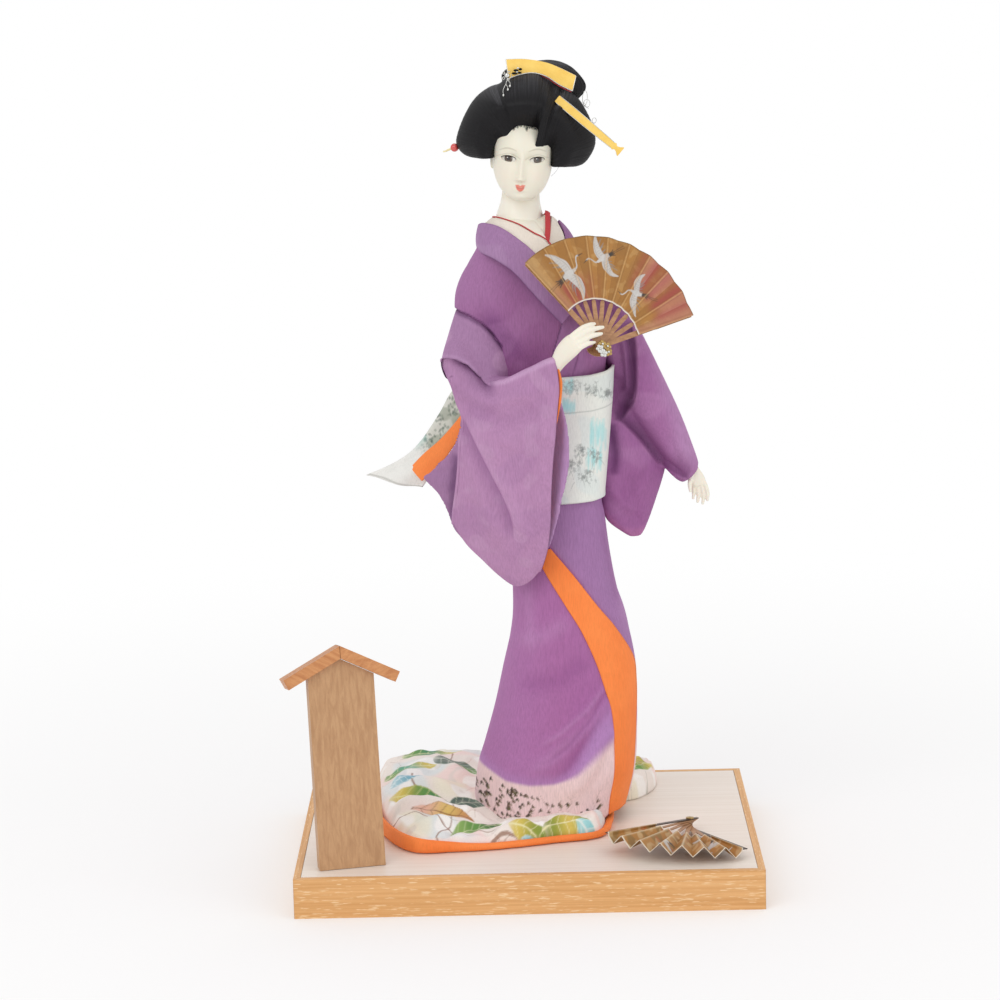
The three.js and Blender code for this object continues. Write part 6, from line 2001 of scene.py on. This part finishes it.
def build_pin_and_wires(coral, stem, silver):
    x, y, z = -39.4, -2.0, 39.0
    s = circle(48)
    t = np.linspace(0.05, math.pi - 0.05, 32)[:, None]
    r = 2.45 * (1 + 0.03 * np.cos(5 * s) * np.sin(t))
    ball = np.stack([r * np.sin(t) * np.cos(s), r * np.sin(t) * np.sin(s), r * np.cos(t)], axis=-1)
    points, faces = closed(ball + [x, y, z])
    piece("bead", on_head(points), faces, coral, "head_unit", ("bead_pin",), "coral")
    rows = [
        [x + 10, y + 3, z + 4.4, 0.6, 0.6], [x, y, z, 0.6, 0.6], [x - 3.4, y, z - 1.4, 0.75, 0.6],
        [x - 5.2, y, z - 2.3, 1.1, 0.5], [x - 6.6, y, z - 2.6, 0.5, 0.4]
    ]
    points, faces = closed(tube(rows, side=(0, 1, 0), count=60, sides=16))
    piece("bead_stem", on_head(points), faces, stem, "head_unit", slot="gilt")

    boss = np.array([-10.6, -20.6, 82.6])
    drops, ends = [], []
    for k, (aside, hang) in enumerate(((-2.0, 11.5), (0.2, 8), (1.6, 5.5))):
        path = [boss]
        for j in range(1, 9):
            share = j / 8
            curl = 0.55 * math.sin(7 * share + k)
            path.append(
                boss
                + [aside * share + curl, -3.4 * share**2, -hang * share + 0.5 * math.cos(6 * share + k)]
            )
        drops.append(path)
        ends.append((path[-1], (0.55, 0.4, 0.8)))
    for k in range(5):
        turn = 2 * math.pi * k / 5
        drops.append(
            [
                boss
                + [
                    2.6 * math.cos(turn + 0.35 * math.cos(a)), -0.6 - 0.3 * math.sin(a),
                    2.6 * math.sin(turn + 0.35 * math.sin(a))
                ] for a in np.linspace(0, 2 * math.pi, 12)
            ]
        )
    made = wire("silver_spray", drops, 0.2, silver, slot="silver")
    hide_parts("silver_ornament")
    spheres("silver_spray_beads", [(boss, (1.5, 1.0, 1.5)), *ends], silver, slot="silver")
    loops = []
    for centre, size in (
        ((34.8, -4, 70.5), (1.4, 4.2)), ((36.0, -3, 67.5), (1.8, 2.2)), ((33.6, -5, 66.6), (1.6, 1.4)),
        ((40.6, -8, 58.2), (1.2, 1.5))
    ):
        loops.append(
            [
                [
                    centre[0] + size[0] * math.cos(a), centre[1] + 0.5 * math.sin(2 * a),
                    centre[2] + size[1] * math.sin(a)
                ] for a in np.linspace(0, 2 * math.pi, 16)
            ]
        )
    wire("silver_loops", loops, 0.16, silver, slot="silver")


# Hands

FAN_PLACE, FAN_TURNED = (46.1, -49.8, 295.5), (70.83, 20.3, 20.61)
RIGHT_PALM = [
    [-26.5, -6.2, -24.5, 4.2, 4], [-24.3, -3.6, -20.2, 4, 3.8], [-21.5, -0.5, -14.5, 4.4, 3.3],
    [-19, 3, -7, 5.8, 3.4], [-16.2, 5.4, 0.5, 6.2, 3.1], [-13.6, 6.4, 5.4, 5.4, 2.2]
]
RIGHT_FINGERS = [
    [
        [-16, 9.6, 3.2, 1.9, 1.8], [-12.5, 11.2, 5.6, 1.75, 1.75], [-8, 12.6, 6.5, 1.55, 1.6],
        [-3, 12.9, 6.0, 1.35, 1.35], [0, 12.6, 5.3, 0.95, 0.9]
    ],
    [
        [-16, 7.4, 3.6, 1.9, 1.8], [-11.5, 8.9, 6.1, 1.75, 1.75], [-5.5, 9.9, 6.7, 1.55, 1.6],
        [0.8, 9.6, 6.0, 1.35, 1.35], [4.2, 9.2, 5.3, 0.95, 0.9]
    ],
    [
        [-16, 5.0, 3.6, 1.9, 1.8], [-12, 5.6, 6.0, 1.75, 1.75], [-6.5, 6.5, 6.7, 1.55, 1.6],
        [-1.2, 6.3, 6.0, 1.35, 1.35], [2, 6, 5.3, 0.95, 0.9]
    ],
    [
        [-16, 2.6, 3.2, 1.7, 1.7], [-12.5, 2.8, 5.6, 1.6, 1.6], [-9, 3.1, 6.5, 1.4, 1.45],
        [-6, 2.9, 5.9, 1.2, 1.2], [-3.9, 2.6, 5.3, 0.85, 0.8]
    ],
    [
        [-20, 0.8, -8.5, 2.7, 2.6], [-16.5, 1.2, -7.6, 2.5, 2.4], [-12, 2, -7.8, 2.1, 2.0],
        [-7.5, 3.9, -7.2, 1.7, 1.6], [-3.9, 5.6, -5.8, 1.1, 1.0]
    ]
]
LEFT_HAND_SHIFT = (3.2, 0, 3.4)
LEFT_PALM = [
    [96.6, 23.2, 214, 3.2, 3], [97.8, 23.6, 211, 3.1, 2.9], [99.6, 24, 206, 3.5, 2.7],
    [102, 24.4, 200, 4.8, 2.5], [103.4, 24.6, 196, 4.6, 2]
]
LEFT_FINGERS = [
    [
        [105.6, 24.4, 199, 1.7, 1.6], [107.4, 24.1, 195, 1.5, 1.45], [108.4, 23.5, 191, 1.3, 1.3],
        [108.3, 22.6, 187.2, 0.85, 0.8]
    ],
    [
        [103.9, 24.6, 199, 1.7, 1.6], [105.3, 24.4, 194, 1.5, 1.45], [106, 23.8, 189.4, 1.3, 1.3],
        [105.4, 22.8, 185.2, 0.85, 0.8]
    ],
    [
        [102, 24.8, 199, 1.7, 1.6], [102.8, 24.7, 194, 1.5, 1.45], [103, 24.2, 189.8, 1.3, 1.3],
        [102.4, 23.4, 186.2, 0.85, 0.8]
    ],
    [
        [100.2, 24.8, 200, 1.6, 1.5], [100.3, 24.7, 195.5, 1.4, 1.35], [100.2, 24.5, 191.5, 1.2, 1.2],
        [99.8, 24, 188.2, 0.8, 0.8]
    ],
    [
        [99.4, 23.8, 205, 2.0, 1.9], [98.4, 22.2, 200.5, 1.6, 1.6], [97.8, 20.9, 197, 1.4, 1.4],
        [98, 20, 193.4, 0.9, 0.9]
    ]
]


def build_hands(skin):
    fan = fan_matrix(FAN_PLACE, FAN_TURNED)
    sets = (
        ("right", RIGHT_PALM, RIGHT_FINGERS, (0, 1, 0), fan),
        ("left", LEFT_PALM, LEFT_FINGERS, (1, 0, 0), np.array(Matrix.Translation(LEFT_HAND_SHIFT)))
    )
    for name, palm, fingers, side, matrix in sets:
        forms = [closed(tube(palm, side=side, count=40, sides=32, power=2.3))]
        forms += [closed(tube(rows, side=side, count=30, sides=20)) for rows in fingers]
        forms += [closed_ball(np.array(rows[-1][:3]), rows[-1][3] * 1.05) for rows in fingers]
        forms = [(points @ matrix[:3, :3].T + matrix[:3, 3], faces) for points, faces in forms]
        made = merged(name + "_hand_form", forms, SKIN_VOXEL, 5)
        dress(made, skin, replaces=(name + "_hand",))
        points = coordinates(made)
        Canvas(points[:, [0, 2]], "f0eadb").put_on(made)


# Fans

def fan_matrix(place, turned):
    a, b, c = (math.radians(t) for t in turned)
    turn = Matrix.Rotation(a, 4, "X") @ Matrix.Rotation(b, 4, "Y") @ Matrix.Rotation(c, 4, "Z")
    return np.array(Matrix.Translation(place) @ turn)


STICK_THICK, STICK_PITCH, LEAF_LIFT = 0.5, 0.8, 0.9
LEAF_INNER, LEAF_OUTER = 27, 64
HAND_FAN = {
    "name": "hand_fan", "sticks": 10, "spread": 113.7, "first": 113.7, "way": -1, "crease": 2.0,
    "beside": -1.2
}
TABLE_FAN = {
    "name": "table_fan", "sticks": 8, "spread": 80, "first": 0, "way": 1, "crease": 6.4, "beside": 2.0
}


def build_leaf(fan, matrix, paper, paint):
    """The pleated leaf, one piece for each gap between two sticks."""
    last = fan["sticks"] - 1
    rows, columns = 100, 41
    for gap in range(last):
        k = gap + np.linspace(0, 1, columns)[None, :] + np.zeros((rows, 1))
        radius = LEAF_INNER + (LEAF_OUTER - LEAF_INNER) * np.linspace(0, 1, rows)[:, None] + 0 * k
        dip = 1 - np.abs(1 - 2 * (k - gap))
        round_dip = np.where(dip < 0.08, dip**2 / 0.16, dip - 0.04)
        turn = np.radians(fan["first"] + fan["way"] * fan["spread"] * k / last)
        beside = fan["beside"] / radius
        turn = (
            turn
            + fan["way"] * (beside * np.clip(1 - k * 5, 0, 1) - beside * np.clip((k - last) * 5 + 1, 0, 1))
        )
        layer = (last / 2 - k) * STICK_PITCH
        z = layer + STICK_THICK / 2 + LEAF_LIFT - fan["crease"] * round_dip * radius / LEAF_OUTER
        x, y = radius * np.cos(turn), radius * np.sin(turn)
        local = np.stack([x, y, z], axis=-1).reshape(-1, 3)
        points = local @ matrix[:3, :3].T + matrix[:3, 3]
        made = new_object("%s_pleat_%d" % (fan["name"], gap + 1), world(points), grid_faces(rows, columns))
        made.data.materials.append(paper)
        canvas = Canvas(local[:, :2], GOLD_PAPER)
        paint(canvas, k.ravel(), radius.ravel())
        canvas.put_on(made)
        thicken(made, 0.3, 0.0)
        if gap == 0:
            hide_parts(fan["name"] + "_leaf")
        ends = [radius_point(fan, matrix, gap + e) for e in (0, 1)]
        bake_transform(made)


def radius_point(fan, matrix, k):
    middle = (LEAF_INNER + LEAF_OUTER) / 2
    turn = math.radians(fan["first"] + fan["way"] * fan["spread"] * k / (fan["sticks"] - 1))
    local = np.array([middle * math.cos(turn), middle * math.sin(turn), 0])
    return tuple(world(local @ matrix[:3, :3].T + matrix[:3, 3]))


def crane(canvas, place, angle, size, flip=1):
    """A plain flying crane: two long wings, a thin neck, dark tail feathers and trailing legs."""
    silver, grey, dark = "cbc8c4", "8f8a86", "35302d"
    turn = math.radians(angle)
    across = np.array([[math.cos(turn), math.sin(turn)], [-math.sin(turn), math.cos(turn)]])

    def at(*points):
        return [np.array([p[0], p[1] * flip]) * size @ across + place for p in points]

    wings = [(0.1, 0.06), (0.12, 0.42), (-0.02, 0.8), (-0.24, 1.12)], [
        (0.06, -0.06), (0.16, -0.4), (0.1, -0.74), (-0.1, -1.0)
    ]
    for wing in wings:
        for k in range(5):
            root = (
                np.array(wing[1]) * (0.3 + 0.3 * k) if k < 3 else np.array(wing[2]) * (0.55 + 0.2 * (k - 3))
            )
            canvas.curve(
                at(root, root + [-0.14, 0.02 * k], root + [-0.3, 0.05 * np.sign(wing[2][1]) * k]),
                [size * 0.09, size * 0.03], grey, strength=0.7
            )
        canvas.curve(at(*wing), [size * 0.3, size * 0.36, size * 0.24, size * 0.05], silver, strength=0.92)
        for k in range(1, 6):
            a = np.array(wing[1]) * (0.2 + 0.25 * k) if k < 4 else np.array(wing[2]) * (0.7 + 0.12 * (k - 4))
            canvas.curve(at(a + [0.08, 0], a + [-0.12, 0.01]), [0.22, 0.15], grey, strength=0.6)
        canvas.curve(at(*[(p[0] + 0.1, p[1]) for p in wing]), [0.25, 0.2], dark, strength=0.45)
    canvas.curve(
        at((-0.34, 0.0), (0.0, 0.03), (0.34, 0.02)), [size * 0.1, size * 0.25, size * 0.12], silver,
        strength=0.95
    )
    canvas.curve(
        at((0.28, 0.02), (0.5, 0.06), (0.62, 0.24), (0.74, 0.36), (0.86, 0.34)),
        [size * 0.1, size * 0.055, size * 0.05, size * 0.06], silver, strength=0.95
    )
    canvas.curve(at((0.85, 0.34), (1.02, 0.3)), [size * 0.05, size * 0.02], dark, strength=0.85)
    for k in range(4):
        canvas.curve(
            at((-0.28, 0.03 * k - 0.04), (-0.44, 0.05 * k - 0.09), (-0.56, 0.09 * k - 0.15)),
            [size * 0.09, size * 0.03], dark, strength=0.85
        )
    for k in (-1, 1):
        canvas.curve(at((-0.4, 0.02 * k), (-1.1, -0.04 + 0.05 * k)), [0.35, 0.25], dark, strength=0.75)


def paint_hand_fan(canvas, k, radius):
    canvas.cloud(22, 101, "a5763c", 0.1, 0.6)
    canvas.cloud(9, 102, "c69a5e", 0.4, 0.5)
    # Painted shade on every other pleat, the ones turned away from the light.
    odd = (np.floor(2 * k) % 2).astype(float)
    canvas.wash(odd * 0.42, "82551f")
    red = smooth(k, 5.3, 6.3) * smooth(radius, 36, 46) + fall(k, 1.4, 4.4) * fall(radius, 36, 47)
    canvas.wash(red * (0.62 + 0.25 * np.sin(k * 9)), "a04440")
    # Painted light on every other pleat of the red part.
    canvas.wash(smooth(k, 5.3, 6.3) * (1 - odd) * smooth(radius, 40, 50) * 0.35, "cf8f80")
    canvas.wash(fall(k, 0.1, 0.9) * 0.4, "c9a878")
    canvas.wash(smooth(k, 8.3, 8.9) * 0.45, "c98c7a")
    for place, angle, size, flip in (
        ((-3.6, 43.5), 19, 15.5, 1), ((22.5, 46.5), 192, 13, -1), ((35, 21.5), 142, 12, 1)
    ):
        crane(canvas, np.array(place, float), angle, size, flip)
    crest = np.abs(k - np.round(k)) * radius * 0.22
    canvas.wash(bell(crest, 0.32) * 0.55, "d9ae74")
    canvas.wash(bell(crest - 0.9, 0.3) * 0.3, "7a4f24")
    canvas.wash(fall(radius, 27.4, 28.0) * 0.9, "f1ece2")
    canvas.wash(smooth(radius, 63.2, 63.9) * 0.7, "6f5228")


def paint_table_fan(canvas, k, radius):
    canvas.cloud(16, 105, "8a6a36", 0.0, 0.8)
    canvas.cloud(9, 106, "c8a878", 0.3, 0.8)
    canvas.cloud(12, 107, "b8642e", 0.9, 0.7)
    for place, angle, size in (((20, 42), 30, 11), ((44, 30), -20, 9)):
        crane(canvas, np.array(place, float), angle, size)
    crest = np.abs(k - np.round(k))
    canvas.wash(bell(crest * radius * 0.17, 0.45) * 0.6, "e8d8b4")
    canvas.wash(smooth(radius, 63.0, 63.8) * 0.9, "f2ead8")
    canvas.wash(fall(radius, 27.4, 28.2) * 0.9, "efe6d6")


def table_fan_matrix():
    """The second fan's frame, from the pin that its sticks turn on."""
    low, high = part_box("table_fan_rivet")
    middle = (np.array(low) + np.array(high)) / 2
    place = (middle - ORIGIN) / MM
    turned, spread, rise = 217.0, TABLE_FAN["spread"], 4.9
    heading = math.radians(turned + spread / 2)
    axis = Vector((-math.sin(heading), math.cos(heading), 0))
    turn = Matrix.Rotation(-math.radians(rise), 4, axis) @ Matrix.Rotation(math.radians(turned), 4, "Z")
    return np.array(Matrix.Translation(place) @ turn)


def build_fans(paper, brass, silver):
    hand = fan_matrix(FAN_PLACE, FAN_TURNED)
    build_leaf(HAND_FAN, hand, paper, paint_hand_fan)
    build_leaf(TABLE_FAN, table_fan_matrix(), paper, paint_table_fan)
    front = 4.5 * STICK_PITCH + STICK_THICK / 2 + 0.3

    def place(points):
        return np.asarray(points) @ hand[:3, :3].T + hand[:3, 3]

    golden, bright = [], []
    for i, (x, y) in enumerate(((-0.2, 0.2), (-2.9, -1.8), (2.2, -2), (-1.8, -4.9), (1.6, -5.2))):
        z = front + 2.2 + (i % 2) * 0.8
        for k in range(5):
            turn = 2 * math.pi * (k + 0.3 * i) / 5
            target = golden if i % 2 == 0 else bright
            target.append(((x + 1.45 * math.cos(turn), y + 1.45 * math.sin(turn), z), (1.05, 1.05, 0.6)))
        bright.append(((x, y, z + 0.5), (0.75, 0.75, 0.75)))
        golden.append(((x, y, z - 1.2), (1.0, 1.0, 1.6)))
    golden.append(((0, 0, front + 0.4), (2.5, 2.5, 0.9)))
    golden.append(((0, 0, -front - 0.4), (2.4, 2.4, 0.8)))
    made = spheres("hand_fan_ornament", golden, brass, ROOT, "brass", place)
    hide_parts("hand_fan_rivet")
    spheres("hand_fan_ornament_silver", bright, silver, ROOT, "silver", place)


# The kept wooden, bamboo and metal pieces

def finish_kept_pieces(materials):
    quarter = math.pi / 2
    rail_x = wood("base wood", "e6b277", "d29a5c", flecks="f3d2a4")
    rail_y = wood("base wood across", "e6b277", "d29a5c", turn=(0, 0, quarter), flecks="f3d2a4")
    panel = wood("panel wood", "f0e5da", "e9dccf", grain=0.02, roughness=0.35)
    board = wood("board wood", "c4996f", "b0845c", turn=(0, quarter, 0), grain=0.03)
    roofs = [
        wood("roof wood " + side, "d2945f", "b97746", turn=(0, turn, 0), grain=0.03) for side,
        turn in (("left", 0.45), ("right", -0.45))
    ]
    choose = {
        "base_front_rail": (rail_x, 0.5), "base_back_rail": (rail_x, 0.5), "base_left_rail": (rail_y, 0.5),
        "base_right_rail": (rail_y, 0.5), "base_top_panel": (panel, 0.25), "board_panel": (board, 0.7),
        "board_roof_left": (roofs[0], 0.6), "board_roof_right": (roofs[1], 0.6),
        "leg_rod_right": (materials["silver"], 0.2), "leg_rod_left": (materials["silver"], 0.2),
        "table_fan_rivet": (materials["brass"], 0.15)
    }
    for name, node in frame["nodes"].items():
        material, width = choose.get(name, (None, 0))
        if "_rib_" in name or "_guard_" in name:
            dark = name.startswith("table_fan_guard")
            material, width = materials["dark bamboo" if dark else "bamboo"], 0.1
        if material is None:
            continue
        for slot in node.material_slots:
            slot.material = material
        soften(node, width)


def make_materials():
    gold = Finish("gilt paper", "f4c95e", 0.42, metallic=0.1, coat_weight=0.2)
    shade = gold.noise(0.12, detail=4)
    gold.colour(gold.mix(gold.ramp(shade, (0.35, 0.0), (0.7, 0.7)), "f8d26c", "edbd50"))
    gold.rough(shade, 0.3, 0.5)
    gold.bump(gold.noise(1.2), 0.03)
    silver = Finish("silver wire", "d8d8d4", 0.25, metallic=1.0)
    silver.rough(silver.noise(0.8), 0.18, 0.4)
    brass = Finish("brass", "c2a468", 0.28, metallic=1.0)
    tone = brass.noise(0.6)
    brass.colour(brass.mix(tone, "d4b678", "94784a")).rough(tone, 0.2, 0.45)
    coral = Finish("coral bead", "d84b46", 0.18, coat_weight=0.6)
    coral.colour(coral.mix(coral.noise(0.5), "e0605a", "c83c3a"))
    stem = Finish("pale stem", "efe3ae", 0.4)
    stem.colour(stem.mix(stem.noise(0.4), "f3e9bc", "e2d08c"))
    hair = Finish("combed hair", HAIR, 0.4, anisotropic=0.6, specular_ior_level=0.22)
    fine = hair.noise((5.0, 0.12, 1.0), flat=True, detail=4, roughness=0.7)
    hair.colour(hair.mix(1.0, hair.paint(), hair.ramp(fine, (0.35, 0.35), (0.7, 1.0)), "MULTIPLY"))
    hair.rough(fine, 0.28, 0.52).bump(fine, 0.08)
    skin = Finish("white skin", SKIN, 0.42, subsurface_weight=0.06, subsurface_scale=0.002, coat_weight=0.08)
    grain = skin.noise(1.1, detail=4)
    skin.colour(skin.mix(skin.ramp(skin.noise(0.06), (0.3, 0.0), (0.8, 0.25)), skin.paint(), "e9e0ca"))
    skin.rough(grain, 0.36, 0.5).bump(grain, 0.012)
    gloss = Finish("glass eye", "3a281c", 0.08, coat_weight=1.0)
    gloss.colour(gloss.paint())
    lash = Finish("lashes", "1c1612", 0.6)
    lash.colour(lash.mix(lash.noise(1.5), "17110e", "2e241d"))
    paper = Finish("fan paper", GOLD_PAPER, 0.5, metallic=0.0, specular_ior_level=0.4)
    fibre = paper.noise(0.9, detail=5, roughness=0.7)
    paper.colour(paper.mix(paper.ramp(fibre, (0.3, 0.14), (0.62, 0.0)), paper.paint(), "5f3f1c"))
    paper.rough(fibre, 0.36, 0.62).bump(fibre, 0.06)
    brocade = Finish("obi brocade", "e6e8e1", 0.55, sheen_weight=0.25, sheen_roughness=0.4)
    warp = brocade.noise((2.2, 2.2, 0.3), detail=2)
    weft = brocade.noise((0.3, 0.3, 2.4), detail=2)
    brocade.colour(brocade.mix(1.0, brocade.paint(), brocade.ramp(warp, (0.3, 0.9), (0.6, 1.0)), "MULTIPLY"))
    brocade.rough(weft, 0.45, 0.62).bump(warp, 0.07).bump(weft, 0.09)
    found = {
        "gilt": gold, "silver": silver, "brass": brass, "coral": coral, "stem": stem, "hair": hair,
        "skin": skin, "eye": gloss, "lash": lash, "paper": paper, "brocade": brocade
    }
    found = {name: finish.material for name, finish in found.items()}
    found["bamboo"] = wood("bamboo", "b98a62", "9c6f4a", grain=0.12, roughness=0.38)
    found["dark bamboo"] = wood("dark bamboo", "5f3f26", "2f1c10", grain=0.2, roughness=0.35)
    found["purple"] = cloth("purple crepe", PURPLE, LILAC, painted=True)
    found["orange"] = cloth("orange lining", ORANGE, "f47a36", weave=0.6, streak=0.2)
    found["printed"] = cloth("printed silk", "f0dcd8", "f8e8e6", painted=True, weave=0.7, streak=0.15)
    found["cream"] = cloth("cream collar", "ece2d6", "e0d4c4", weave=0.8, streak=0.15)
    found["red"] = cloth("red collar", "c8464b", "b03a40", weave=0.8, streak=0.2)
    return found


def main():
    build_camera()
    build_stage()
    m = make_materials()
    finish_kept_pieces(m)
    build_skirt(m["purple"])
    build_strip(m["orange"])
    build_train(m["printed"], m["orange"])
    build_bodice(m["purple"])
    build_collars(m["purple"], m["cream"], m["red"], m["skin"])
    build_right_sleeve(m["purple"], m["orange"])
    build_left_sleeve(m["purple"])
    build_obi(m["brocade"], m["orange"])
    build_head(m["skin"], m["eye"], m["lash"])
    build_hair(m["hair"])
    build_comb(m["gilt"], m["silver"], m["red"], m["hair"])
    build_bar(m["gilt"], m["silver"])
    build_pin_and_wires(m["coral"], m["stem"], m["silver"])
    build_hands(m["skin"])
    build_fans(m["paper"], m["brass"], m["silver"])


main()
